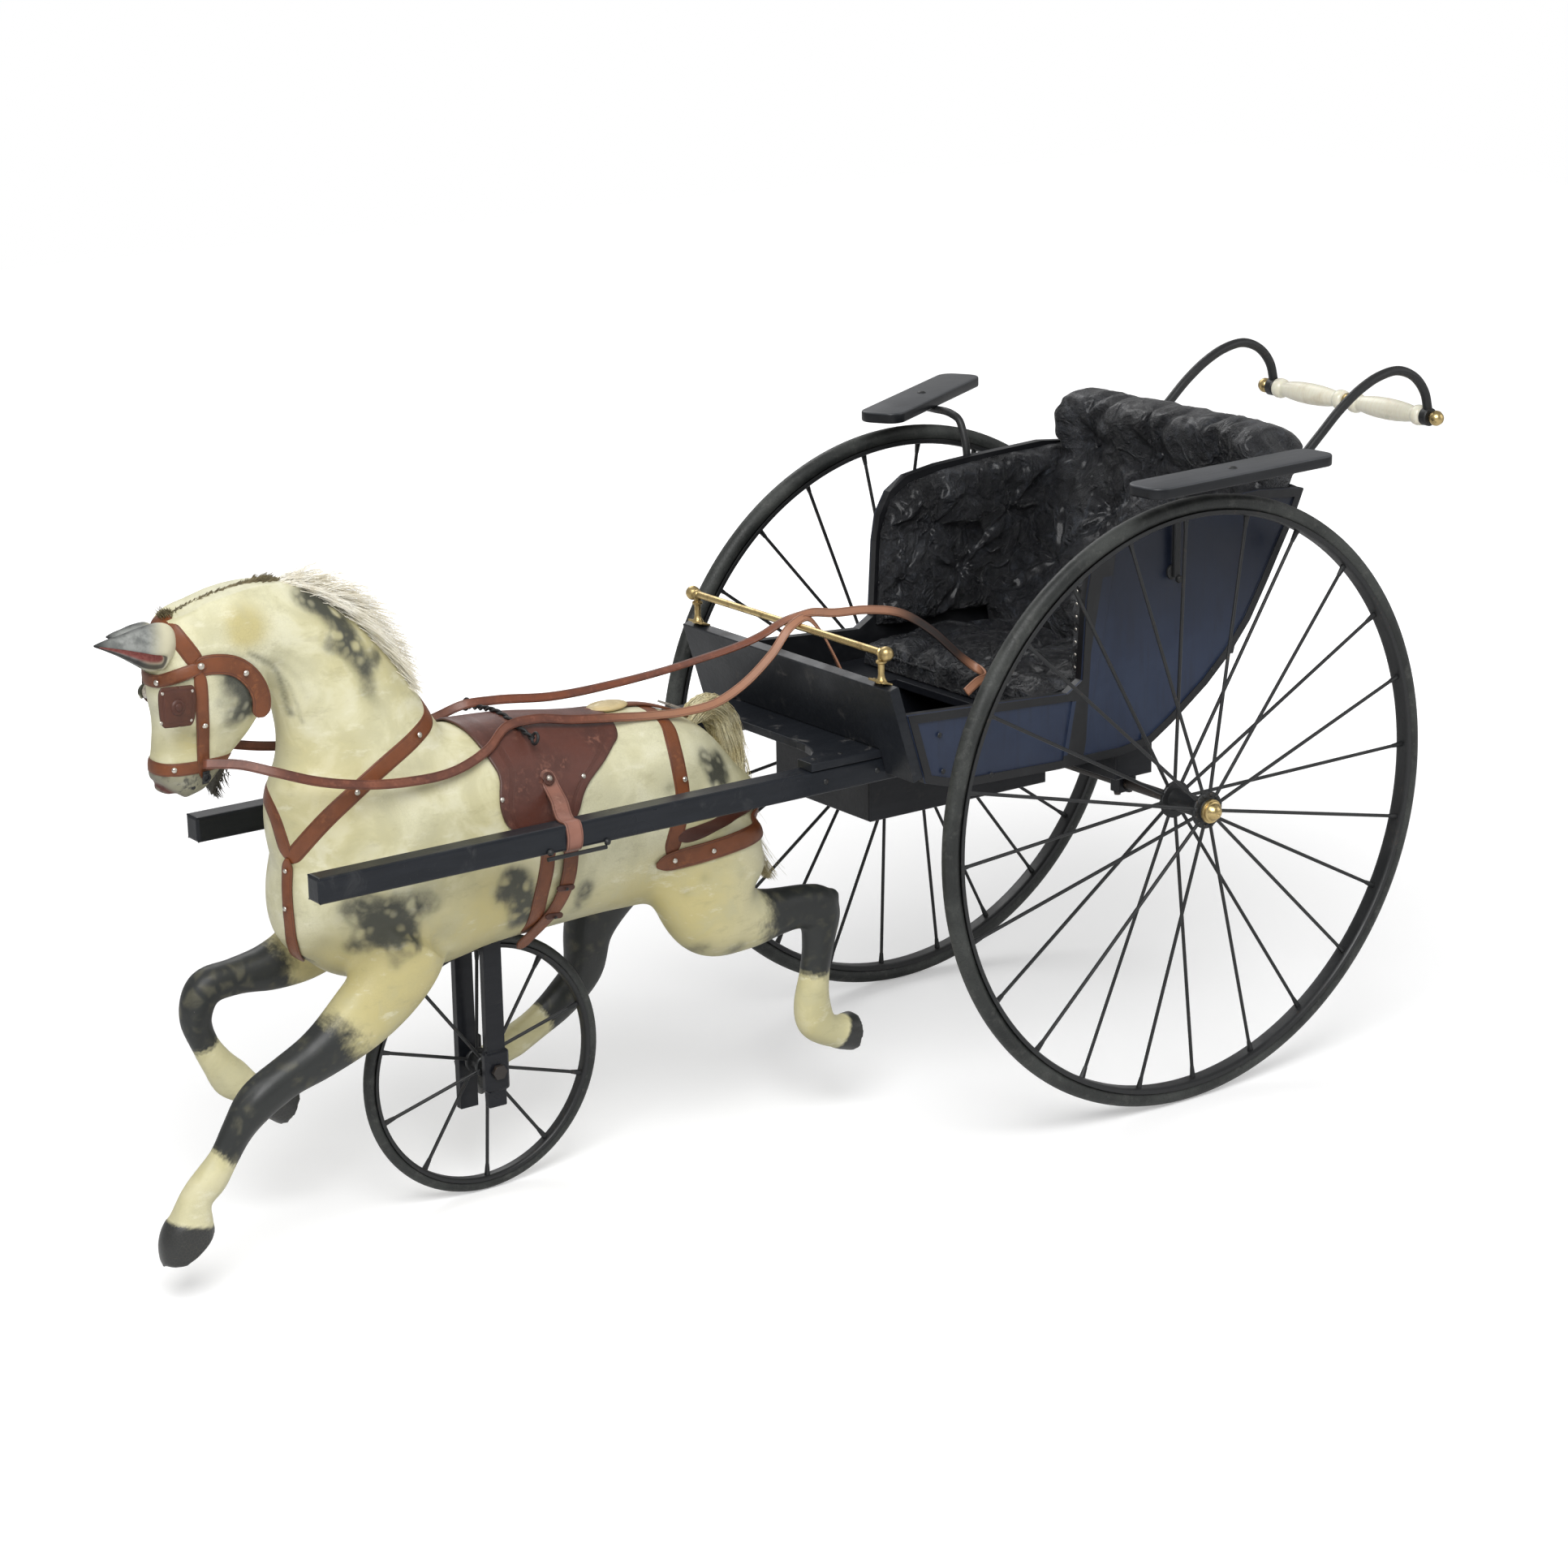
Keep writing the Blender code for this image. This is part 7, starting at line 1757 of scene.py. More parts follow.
def makeTugs():
    # from the saddle's ring stud down over the shaft, round it, and on as two girth straps
    x, over, under, outside = tugSet["x"], tugSet["over"], tugSet["under"], tugSet["outside"]
    for name, side in sideSigns.items():
        start = onSkin(-0.63, 0.415, side, 0.0042)[0]
        lower = onSkin(-0.6265, 0.4005, side, 0.0046)[0]
        loop = [
            tuple(start), tuple(lower), (x + 0.007, side * 0.0915, 0.3925), (x + 0.003, side * 0.102, 0.3865),
            (x, side * 0.112, over + 0.0003), (x, side * 0.1235, over - 0.0004), (x, side * outside, 0.377),
            (x, side * outside, 0.362), (x, side * 0.1235, under - 0.0002), (x, side * 0.112, under - 0.0006),
            (x, side * 0.104, under - 0.001),
        ]
        mesh = strapMesh("tug", loop, tugSet["width"], 0, (0.5, 0.1), 10, (1, 0, 0), None, 0.003)
        addStrap(f"{name}_tug", mesh, "tug")
        inner = [(-0.6345, side * 0.102, under - 0.0012), (-0.635, side * 0.0915, 0.348)]
        inner += sideRoute([(-0.6355, 0.342), (-0.637, 0.33), (-0.641, 0.3), (-0.6405, 0.275)], side, 0.0014)
        inner += [nearest(-0.64, side * 0.04, 0.24), nearest(-0.64, side * 0.01, 0.23)]
        mesh = strapMesh("girth", inner, tugSet["girth"], 0, (0.1, 0.3), 10, (1, 0, 0))
        addStrap(f"{name}_girth", mesh, "tan", (f"{name}_girth_strap",))
        outer = [(-0.612, side * 0.104, under - 0.002), (-0.6125, side * 0.0925, 0.347)]
        outer += sideRoute([(-0.6126, 0.344)] + girthRows, side, 0.0046)
        outer += [(-0.64, side * 0.04, 0.25), (-0.646, side * 0.034, 0.241)]
        mesh = strapMesh("girth_end", outer, tugSet["girthEnd"], 0, (0.1, 0.5), 10, (1, 0, 0))
        addStrap(f"{name}_girth_end", mesh, "tan", (), 0.0022)
        for i, (loopX, loopZ) in enumerate(keepers):
            across = [(loopX - 0.01, loopZ + 0.001), (loopX, loopZ), (loopX + 0.01, loopZ - 0.001)]
            across = sideRoute(across, side, 0.0066)
            mesh = strapMesh("keeper", across, tugSet["keeper"], 0, (0.2, 0.2), 4, (0, 0, 1), None, 0.002)
            addStrap(f"{name}_girth_keeper_{i + 1}", mesh, "tanDark", (), 0.0018)
        metal = Shape()
        for loopX, loopZ in keepers:
            studAt(metal, loopX, loopZ, side, 0.0016, 0.0086)
        # an iron rod under the shaft's lower edge, and a knob at each end
        begin, end = tugSet["rod"]
        metal.rod((begin, side * 0.1275, 0.355), (end, side * 0.1275, 0.355), 0.002, sides=12)
        for knobX, knobZ in ((-0.664, 0.3605), (-0.604, 0.359)):
            stud(metal, (knobX, side * 0.1262, knobZ), (0, side, 0), 0.0034, 0.9)
        finishPiece(f"{name}_girth_iron", metal.mesh("iron"), gig, "iron", sharp=40)


breastSet = {"neck": 0.0162, "chest": 0.0132}
neckRoute = [
    (-0.8676, -0.0192, 0.365), (-0.8662, -0.0228, 0.3702), (-0.8621, -0.0313, 0.3805),
    (-0.8545, -0.0409, 0.394), (-0.8453, -0.0473, 0.4056), (-0.8167, -0.0533, 0.4282),
    (-0.786, -0.0541, 0.448), (-0.7479, -0.0451, 0.4659), (-0.726, -0.0282, 0.4749), (-0.7167, 0.0, 0.49),
    (-0.726, 0.0282, 0.4749), (-0.7479, 0.0451, 0.4659), (-0.786, 0.0541, 0.448), (-0.8167, 0.0533, 0.433),
    (-0.838, 0.048, 0.426), (-0.856, 0.033, 0.42), (-0.868, 0.012, 0.419), (-0.8728, -0.008, 0.4062),
    (-0.871, -0.015, 0.3862), (-0.8676, -0.018, 0.3681),
]
chestRoute = [
    (-0.8676, -0.0192, 0.37), (-0.8674, -0.017, 0.3614), (-0.8687, -0.0169, 0.3445), (-0.8705, -0.02, 0.3284),
    (-0.8698, -0.0204, 0.3042), (-0.8608, -0.0095, 0.2773), (-0.848, 0.01, 0.262),
]


def makeBreastHarness():
    # the neck strap is one loop that meets at a Y on the chest, where the chest strap starts
    mesh = strapMesh(
        "neck_strap", [nearest(*spot) for spot in neckRoute], breastSet["neck"], 0.0002, (0.2, 0.2),
    )
    addStrap("neck_strap", mesh, "tan", ("breast_strap",))
    mesh = strapMesh(
        "chest_strap", [nearest(*spot) for spot in chestRoute], breastSet["chest"], 0.0022, (0.4, 0.3),
    )
    addStrap("chest_strap", mesh)
    metal = Shape()
    for side in (-1, 1):
        studAt(metal, -0.7479, 0.4659, side)
        studAt(metal, -0.8159, 0.4281, side)
    for spot in ((-0.8674, -0.017, 0.358), (-0.8705, -0.02, 0.324)):
        hit, normal = skinAt(spot)
        stud(metal, hit + normal * 0.0052, normal, 0.0022)
    finishPiece("breast_studs", metal.mesh("studs"), gig, "silver")


breechSet = {
    "wide": 0.0185, "crupper": 0.0125, "hipWide": 0.0172, "second": 0.0135, "level": 0.319,
    "studs": [(-0.4968, 0.3075), (-0.4632, 0.3135)],
}
seatRows = [
    (-0.516, 0.3053), (-0.501, 0.3065), (-0.4839, 0.31), (-0.4612, 0.314), (-0.435, 0.317), (-0.415, 0.3185),
    (-0.403, 0.319),
]
secondRows = [(-0.493, 0.3265), (-0.4747, 0.33), (-0.4516, 0.333), (-0.42, 0.3355), (-0.404, 0.336)]
hipRows = [
    (-0.5017, 0.3106), (-0.4965, 0.3248), (-0.4891, 0.3448), (-0.4843, 0.3689), (-0.4855, 0.3865),
    (-0.4853, 0.4009), (-0.4832, 0.4141), (-0.4775, 0.4261),
]


def makeBreeching():
    metal = Shape()
    top = [nearest(-0.473, -0.02, 0.46), nearest(-0.4705, 0.0, 0.47), nearest(-0.473, 0.02, 0.46)]
    mesh = strapMesh("hip_strap", overBack(hipRows, top), breechSet["hipWide"], 0.0002)
    addStrap("hip_strap", mesh, "tan", ("breeching",))
    # the seat strap round the buttocks, with a pointed front end on each side, and a darker one above it
    # whose dark leather is partly painted shade
    rear = aroundUpright((-0.43, 0, breechSet["level"]), (50, 25, 0, -25, -50), 0.12)
    mesh = strapMesh("seat_strap", overBack(seatRows, rear), breechSet["wide"], 0.0026, (0.8, 0.8))
    addStrap("seat_strap", mesh, "tan", (), 0.0026)
    rear = aroundUpright((-0.43, 0, 0.336), (50, 25, 0, -25, -50), 0.12)
    mesh = strapMesh("second", overBack(secondRows, rear), breechSet["second"], 0.0004)
    # dark leather here is partly real colour and partly painted shade, where the strap lies between the shaft
    # and the seat strap
    addStrap("breeching_second_strap", mesh, "tanDark", (), 0.0022)
    for side in (-1, 1):
        studAt(metal, -0.4826, 0.3822, side)
        for x, z in breechSet["studs"]:
            studAt(metal, x, z, side, 0.0024, 0.0056)
    # the crupper from the saddle along the croup to the dock, with its buckle and a worn pad in front
    back = [tuple(skinBelow(float(x))[0]) for x in np.linspace(-0.545, -0.428, 14)]
    mesh = strapMesh("crupper", back, breechSet["crupper"], 0.0028, (0.2, 0.3), 10)
    addStrap("crupper", mesh, "tan", ("crupper_strap",), 0.0022)
    hit, normal = skinBelow(-0.452)
    place = standing(hit + normal * 0.0064, normal)
    for low, high in (
        ((-0.0095, -0.0085, -0.001), (-0.0078, 0.0085, 0.001)),
        ((0.0078, -0.0085, -0.001), (0.0095, 0.0085, 0.001)),
        ((-0.0095, -0.0085, -0.001), (0.0095, -0.0068, 0.001)),
        ((-0.0095, 0.0068, -0.001), (0.0095, 0.0085, 0.001)),
    ):
        metal.block(low, high, 0.0004, 2, place)
    finishPiece("breeching_studs", metal.mesh("studs"), gig, "silver")
    pad = Shape()
    pad.ball((0, 0, 0), 0.017, detail=28)
    mesh = pad.mesh("pad")
    hit = skinBelow(-0.52)[0]
    mesh.transform(Matrix.Translation(hit + Vector((0, 0, 0.003))) @ Matrix.Diagonal((1.25, 0.85, 0.24, 1)))
    mark(mesh, "across", np.zeros(len(mesh.vertices)))
    finishPiece("crupper_pad", mesh, gig, "pale", sharp=180)


bridleSet = {"head": 0.016, "brow": 0.0118, "cheek": 0.012, "jowl": 0.018, "nose": 0.0118, "thick": 0.0022}
headpieceRows = [(-0.948, 0.556), (-0.95, 0.5616), (-0.9568, 0.5746), (-0.9628, 0.5852), (-0.9661, 0.5947)]
browRows = [(-0.943, 0.56), (-0.96, 0.555), (-0.972, 0.5505)]
cheekRows = [
    (-0.9495, 0.558), (-0.9489, 0.5391), (-0.949, 0.5174), (-0.9465, 0.4938), (-0.9469, 0.4719),
    (-0.9475, 0.458),
]
jowlRows = [
    (-0.954, 0.5585), (-0.936, 0.56), (-0.917, 0.555), (-0.9025, 0.5415), (-0.8946, 0.523), (-0.895, 0.505),
]
# each blinker: rear edge x, side, level, width, height, turn
blinkerSet = {
    "near": (-0.958, 0.0375, 0.5285, 0.0415, 0.035, 12), "off": (-0.95, 0.029, 0.53, 0.024, 0.03, 12),
}


def makeBridle():
    metal = Shape()
    top = nearest(-0.969, 0, 0.605)
    mesh = strapMesh("headpiece", overBack(headpieceRows, [top]), bridleSet["head"], 0.0002, (0.2, 0.2), 10)
    addStrap("headpiece", mesh, "tan", ("bridle",), bridleSet["thick"])
    front = aroundUpright((-0.955, 0, 0.547), (212, 180, 148), 0.1)[::-1]
    brow = overBack(browRows, front)
    mesh = strapMesh("browband", brow, bridleSet["brow"], 0.0022, (0.3, 0.3), 10)
    addStrap("browband", mesh, "tan", (), bridleSet["thick"])
    for name, side in sideSigns.items():
        mesh = strapMesh("cheek", sideRoute(cheekRows, side), bridleSet["cheek"], 0.0014, (0.4, 0.3), 10)
        addStrap(f"{name}_cheek_strap", mesh)
        # the jowl strap stands flat beside the jaw
        jowl = []
        for x, z in jowlRows:
            inward = 0.3 * float(fade(x, -0.94, -0.905))
            hit, normal = onSkin(x + (-0.928 - x) * inward, z + (0.53 - z) * inward, side)
            jowl.append((x, hit.y + side * 0.0026, z))
        mesh = strapMesh("jowl", jowl, bridleSet["jowl"], 0, (0.4, 0.4), 10, None, (0, side, 0))
        addStrap(f"{name}_jowl_strap", mesh)
        stud(metal, (-0.91, jowl[2][1] + side * 0.0028, 0.549), (0, side, 0), 0.0026)
        studAt(metal, -0.9478, 0.5089, side, 0.0025, 0.005)
        studAt(metal, -0.9479, 0.56, side, 0.003, 0.007)
        rear, away, level, width, high, turned = blinkerSet[name]
        # the blinker, a stiff dished plate with a boss, riveted to the cheek strap
        turn = Matrix.Rotation(math.radians(turned * (1 if side < 0 else -1)), 4, "Z")
        lean = Matrix.Translation((rear, side * away, level)) @ turn
        lean = lean @ Matrix.Rotation(math.radians(7), 4, "Y")

        def blinker(u, v, side=side, width=width, high=high):
            x = -width * (1 - u) * (1 - 0.12 * (1 - v))
            z = high * (v - 0.5)
            corner = (abs(2 * u - 1) ** 5 + abs(2 * v - 1) ** 5) * 0.0022
            x += math.copysign(corner * abs(2 * v - 1) ** 3, 0.5 - u)
            dish = 0.0024 * (1 - (2 * u - 1) ** 2) * (1 - (2 * v - 1) ** 2)
            return Vector((x, side * (0.0008 + dish), z))

        def marks(u, v):
            return {"across": max(abs(2 * u - 1), abs(2 * v - 1)), "along": v}

        mesh = gridMesh("blinker", 16, 16, blinker, marks)
        mesh.transform(lean)
        addStrap(f"{name}_blinker_plate", mesh, "plate", (f"{name}_blinker",), bridleSet["thick"])
        boss = lean @ Matrix.Translation((-width * 0.5, side * 0.005, 0)) @ facing("Y", (0, 0, 0), side)
        ring = [
            (0, 0.003), (0.0024, 0.0028), (0.004, 0.0014), (0.0052, 0.0019), (0.0066, 0.0012), (0.0074, 0),
            (0, 0),
        ]
        hold = Shape()
        hold.lathe(ring, boss, 28)
        finishPiece(f"{name}_blinker_boss", hold.mesh("boss"), gig, "tanDark", sharp=60)
        for u, v in ((0.12, 0.86), (0.12, 0.14), (0.88, 0.86), (0.88, 0.14)):
            place = Matrix.Translation((-width * u, side * 0.003, high * (v - 0.5)))
            rivet = lean @ place @ facing("Y", (0, 0, 0), side)
            metal.lathe([(0, 0.0011), (0.0012, 0.0008), (0.0017, 0), (0, 0)], rivet, 12)
    # the noseband, once round the muzzle
    nose = aroundUpright((-0.95, 0, 0.469), range(0, 361, 20), 0.09)
    mesh = strapMesh("noseband", nose, bridleSet["nose"], 0.0008, (0.05, 0.05), 10)
    addStrap("noseband", mesh, "tan", (), bridleSet["thick"])
    studAt(metal, -0.9728, 0.4696, -1, 0.0024, 0.0046)
    hit, normal = skinAt((-0.98, -0.016, 0.547))
    stud(metal, hit + normal * 0.0052, normal, 0.0025)
    finishPiece("bridle_studs", metal.mesh("studs"), gig, "silver")
    # the bit: a small dark cheek piece on each side and a bar through the mouth
    bit = Shape()
    for side in (-1, 1):
        hit, normal = onSkin(-0.9475, 0.461, side)
        base = hit + normal * 0.0056
        bit.block((-0.0034, -0.006, -0.0007), (0.0034, 0.006, 0.0007), 0.0005, 2, standing(base, normal))
        bit.lathe(roundProfile(0.0036, 0.0009, 10), standing(base + normal * 0.0012, normal), 24)
    bit.rod((-0.956, -0.022, 0.451), (-0.956, 0.022, 0.451), 0.002, sides=12)
    finishPiece("bit_iron", bit.mesh("bit"), gig, "iron", sharp=45)


terretSet = {
    "near": (-0.635, -0.055, 0.445), "off": (-0.6364, 0.055, 0.4526), "lift": 0.0075, "wire": 0.0015,
    "ring": 0.0048,
}


def makeTerret():
    # two dark wires twisted together over the saddle's front, ending in a ring on each side
    top = Vector(nearest(-0.6357, 0, 0.47)) + Vector((0, 0, terretSet["lift"]))
    line = smoothLine([terretSet["near"], tuple(top), terretSet["off"]], 0.0012)
    wires = []
    for start in (0, math.pi):
        wire = []
        for i, place in enumerate(line):
            angle = start + i * 0.36
            offset = np.array([math.cos(angle), 0, math.sin(angle)]) * terretSet["wire"] * 0.95
            wire.append(tuple(place + offset))
        wires.append(wire)
    for end, sign in ((line[0], -1), (line[-1], 1)):
        centre = end + np.array([0, sign * 0.004, 0.001])
        ring = []
        for i in range(29):
            angle = 2 * math.pi * i / 28
            way = np.array([0.3 * math.sin(angle), math.cos(angle), math.sin(angle)])
            ring.append(tuple(centre + terretSet["ring"] * way))
        wires.append(ring)
    mesh = tubeMesh("terret", wires, terretSet["wire"], 2)
    finishPiece("terret_wire", mesh, gig, "iron", ("terret_bar",), sharp=180)


makeSaddle()
makeTugs()
makeBreastHarness()
makeBreeching()
makeBridle()
makeTerret()
print("harness made")


# ears, eyes and hair
def paintedEar():
    paint = Paint("ear_coat", Specular_IOR_Level=0.35)
    cloud = paint.noise(70, 4, 0.65)
    fine = paint.noise(240, 4, 0.7)
    tone = paint.blend(cloud.ramp(0.38, 0.66), (0.27, 0.28, 0.265), (0.13, 0.137, 0.13))
    tone = paint.blend(paint.marked("root"), tone, (0.6, 0.57, 0.41))
    tone = paint.blend(paint.marked("tip"), tone, (0.022, 0.023, 0.023))
    pink = paint.blend(fine.ramp(0.35, 0.7), (0.4, 0.13, 0.11), (0.25, 0.06, 0.055))
    tone = paint.blend(paint.marked("inside").ramp(0.22, 0.46), tone, pink)
    # painted shade: a dark band round the edge of the ear's opening
    rim = paint.marked("inside").ramp(0.02, 0.1) * paint.marked("inside").ramp(0.34, 0.2)
    tone = paint.blend(rim * 0.85, tone, (0.03, 0.026, 0.026))
    return paint.joined(tone, cloud.ramp(0.3, 0.7, 0.5, 0.65), fine, 0.0004, 0.4)


def glassEye():
    paint = Paint("glass_eye", Roughness=0.05, Coat_Weight=0.6, Coat_Roughness=0.03, Specular_IOR_Level=0.7)
    iris = paint.marked("iris")
    streak = paint.noise(500, 3, 0.6)
    tone = paint.blend(iris.ramp(0.7, 0.78), (0.085, 0.035, 0.012), (0.55, 0.5, 0.42))
    tone = paint.blend(streak.ramp(0.4, 0.7) * 0.4, tone, (0.03, 0.012, 0.006))
    tone = paint.blend(iris.ramp(0.36, 0.3), tone, (0.003, 0.003, 0.003))
    return paint.set(Base_Color=tone).material


def strandHair(name, root, tip, dark):
    # hair colours vary from strand to strand and from lock to lock, between the root and the tip colours
    paint = Paint(name, Specular_IOR_Level=0.3)
    lock = paint.noise(60, 4, 0.6)
    strand = paint.noise(900, 2, 0.5)
    tone = paint.blend(lock.ramp(0.3, 0.7), root, tip)
    tone = paint.blend(strand.ramp(0.5, 0.75) * 0.5, tone, dark)
    tone = paint.blend(strand.ramp(0.5, 0.28) * 0.45, tone, tuple(min(0.95, c * 1.25) for c in tip))
    return paint.set(Base_Color=tone, Roughness=lock.ramp(0.3, 0.7, 0.45, 0.65)).material


finishes["ear"] = paintedEar()
finishes["eye"] = glassEye()
finishes["mane"] = strandHair("mane_hair", (0.8, 0.74, 0.58), (0.95, 0.93, 0.85), (0.55, 0.47, 0.3))
finishes["tail"] = strandHair("tail_hair", (0.5, 0.42, 0.21), (0.76, 0.71, 0.5), (0.16, 0.13, 0.06))
finishes["scruff"] = strandHair(
    "worn_scruff", (0.085, 0.068, 0.036), (0.21, 0.175, 0.095), (0.022, 0.018, 0.012),
)
finishes["tuft"] = strandHair("chin_hair", (0.03, 0.028, 0.022), (0.06, 0.056, 0.045), (0.012, 0.011, 0.01))

# one ear from its root to its tip: x, side, z, half depth, half width
earRows = [
    (-0.964, 0.014, 0.5735, 0.015, 0.0085), (-0.9715, 0.0175, 0.576, 0.0225, 0.0115),
    (-0.983, 0.0205, 0.5785, 0.024, 0.0125), (-0.9988, 0.022, 0.5823, 0.0182, 0.0105),
    (-1.0155, 0.0225, 0.5857, 0.0104, 0.007), (-1.0285, 0.0225, 0.588, 0.0052, 0.0042),
    (-1.0385, 0.0225, 0.5893, 0.001, 0.001),
]
earSet = {"cup": 303, "open": 0.78, "hollow": 0.88, "offScale": 0.8, "offDrop": 0.006, "offBack": 0.032}


def makeEars():
    for name, sign in sideSigns.items():
        scale = 1 if sign < 0 else earSet["offScale"]
        drop = 0 if sign < 0 else earSet["offDrop"]
        back = 0 if sign < 0 else earSet["offBack"]
        rows = []
        for x, side, z, depth, width in earRows:
            share = (-0.964 - x) / 0.0745
            # the upper edge stays put where the depth is scaled
            level = z + depth * 0.5 * (1 - scale) - drop
            rows.append((x + back * share, sign * side, level, depth * scale * 0.92, width))
        rows = smoothLine(rows, 0.0016)
        ways = headings(rows)
        last = len(rows) - 1

        def cupped(angle, v):
            # 1 in the middle of the ear's opening and 0 outside it
            away = abs(math.remainder(angle - math.radians(earSet["cup"]), 2 * math.pi))
            cup = min(1.0, away / earSet["open"])
            return (1 - cup * cup) * float(fade(v, 0.1, 0.26)) * float(fade(v, 1.0, 0.86))

        def ear(u, v):
            i = int(round(v * last))
            angle = 2 * math.pi * u
            reach = 1 - earSet["hollow"] * cupped(angle, v) ** 0.7
            row, way = rows[i], ways[i]
            up = np.array([-way[2], 0, way[0]]) * (-1 if way[0] < 0 else 1)
            flat = np.array([0, sign * row[4] * math.cos(angle), 0])
            return Vector(row[:3] + (up * row[3] * math.sin(angle) + flat) * reach)

        def marks(u, v):
            angle = 2 * math.pi * u
            top = math.exp(-((math.remainder(angle - math.radians(92), 2 * math.pi) / 0.4) ** 2))
            tip = max(float(fade(v, 0.84, 0.98)), 0.8 * top * float(fade(v, 0.2, 0.45)))
            return {"inside": cupped(angle, v), "tip": tip, "root": float(fade(v, 0.46, 0.18))}

        mesh = gridMesh("ear", 56, last, ear, marks)
        finishPiece(f"{name}_ear_skin", mesh, gig, "ear", (f"{name}_ear",), sharp=180, subdivide=1)


eyeSet = {
    "place": (-0.97, 0.025, 0.53), "radius": 0.0072, "look": (-0.35, 0.93, 0.1), "lid": (0.0071, 0.0017),
}


def makeEyes():
    for name, sign in sideSigns.items():
        shape = Shape()
        mirror = Vector((1, sign, 1))
        out = (Vector(eyeSet["look"]) * mirror).normalized()
        centre = Vector(eyeSet["place"]) * mirror
        shape.ball(centre, eyeSet["radius"], detail=32)
        mesh = shape.mesh("eye")
        around = meshPoints(mesh) - np.array(centre)
        mark(mesh, "iris", np.arccos(np.clip(around @ np.array(out) / eyeSet["radius"], -1, 1)))
        finishPiece(f"{name}_eye_glass", mesh, gig, "eye", (f"{name}_eye",), sharp=180)
        lids = Shape()
        oval = standing(centre + out * 0.0022, out) @ Matrix.Diagonal((1.15, 0.8, 1, 1))
        lids.lathe(roundProfile(*eyeSet["lid"], 12), oval, 36)
        mesh = lids.mesh("lids")
        mark(mesh, "cloud", np.full(len(mesh.vertices), 0.9))
        finishPiece(f"{name}_eyelids", mesh, gig, "coat", sharp=180)


# shares of its length at which a short hair has a point
stubShares = (0, 0.33, 0.66, 1.0)


def makeStrands(name, starts, radius, finish, replaced=()):
    # starts: lists of places along each strand; each is tapered to its tip
    lines = []
    for line in starts:
        count = len(line)
        lines.append([(*place, 1.0 - 0.75 * (i / (count - 1)) ** 2) for i, place in enumerate(line)])
    mesh = tubeMesh(name, lines, radius, 0)
    return finishPiece(name, mesh, gig, finish, replaced, sharp=180)


maneSet = {
    "strands": 3200, "length": 0.04, "lift": 0.3, "spread": 0.42, "radius": 0.0003, "steps": 6, "scruff": 760,
    "tuft": 90, "stub": 0.0005,
}
# the crest line, where the mane is rooted, as x and z
crestLine = [
    (-0.856, 0.614), (-0.842, 0.608), (-0.826, 0.596), (-0.808, 0.583), (-0.792, 0.566), (-0.778, 0.546),
    (-0.766, 0.525), (-0.757, 0.508), (-0.748, 0.493),
]


def makeMane():
    rng = random.Random(7)
    line = smoothLine([(x, 0, z) for x, z in crestLine], 0.002)
    ways = headings(line)
    strands = []
    for _ in range(maneSet["strands"]):
        share = rng.random() ** 0.85
        i = int(share * (len(line) - 1))
        y = rng.gauss(0, 0.0055)
        hit, normal = skinAt((line[i][0], y, line[i][2]))
        way = Vector(ways[i])
        out = Vector((normal.x, 0.35 * normal.y, normal.z)).normalized()
        grown = math.sin(math.pi * min(1.0, 0.16 + share * 0.92)) ** 0.6
        length = maneSet["length"] * (0.5 + 0.85 * rng.random()) * (0.4 + 0.8 * grown)
        lift = maneSet["lift"] + rng.gauss(0, 0.24) + 0.25 * grown
        draped = rng.random() < 0.22
        spread = rng.gauss(0, maneSet["spread"] * 0.35) - (0.55 if draped else 0)
        heading = out * (0.25 if draped else lift) + way * (0.85 + rng.gauss(0, 0.18))
        heading = (heading + Vector((0, spread, 0))).normalized()
        place = hit - normal * 0.0012
        strand = [tuple(place)]
        curl = rng.gauss(0, 0.1)
        for step in range(maneSet["steps"]):
            place = place + heading * length / maneSet["steps"]
            if draped:
                hit, normal = skinAt(place)
                place = hit + normal * max(0.0008, (place - hit).dot(normal))
            heading = (heading + Vector((0, curl * 0.4, -0.075 - 0.03 * grown)) + out * 0.015).normalized()
            strand.append(tuple(place))
        strands.append(strand)
    makeStrands("mane_hair", strands, maneSet["radius"], "mane", ("mane",))
    # the worn brown stub at the crest's front and the scruff along the poll
    scruff = []
    front = smoothLine([(x, 0, z + 0.004) for x, z in topLine[2:10]], 0.001)
    for _ in range(maneSet["scruff"]):
        spot = front[int(rng.random() * (len(front) - 1))]
        stub = math.exp(-(((spot[0] + 0.869) / 0.013) ** 2))
        if stub < 0.05 and rng.random() < 0.35:
            continue
        hit, normal = skinAt((spot[0], rng.gauss(0, 0.0016 + 0.003 * stub), spot[2]))
        length = 0.003 + 0.0085 * stub * rng.random() + 0.002 * rng.random()
        heading = (normal * (0.45 + 0.5 * rng.random()) + Vector((0.9, rng.gauss(0, 0.4), 0.1))).normalized()
        place = hit - normal * 0.0008
        scruff.append(
            [tuple(place + heading * length * t + Vector((0, 0, -0.0008 * t * t))) for t in stubShares]
        )
    for _ in range(maneSet["tuft"]):
        # a dark tuft where the headpiece crosses the poll
        hit, normal = skinAt((-0.965 + rng.gauss(0, 0.0035), rng.gauss(0, 0.004), 0.61))
        heading = (normal + Vector((rng.gauss(-0.4, 0.5), rng.gauss(0, 0.5), 0))).normalized()
        scruff.append([tuple(hit + heading * (0.008 * t * (0.5 + 0.5 * rng.random()))) for t in stubShares])
    makeStrands("crest_scruff", scruff, maneSet["stub"], "scruff")


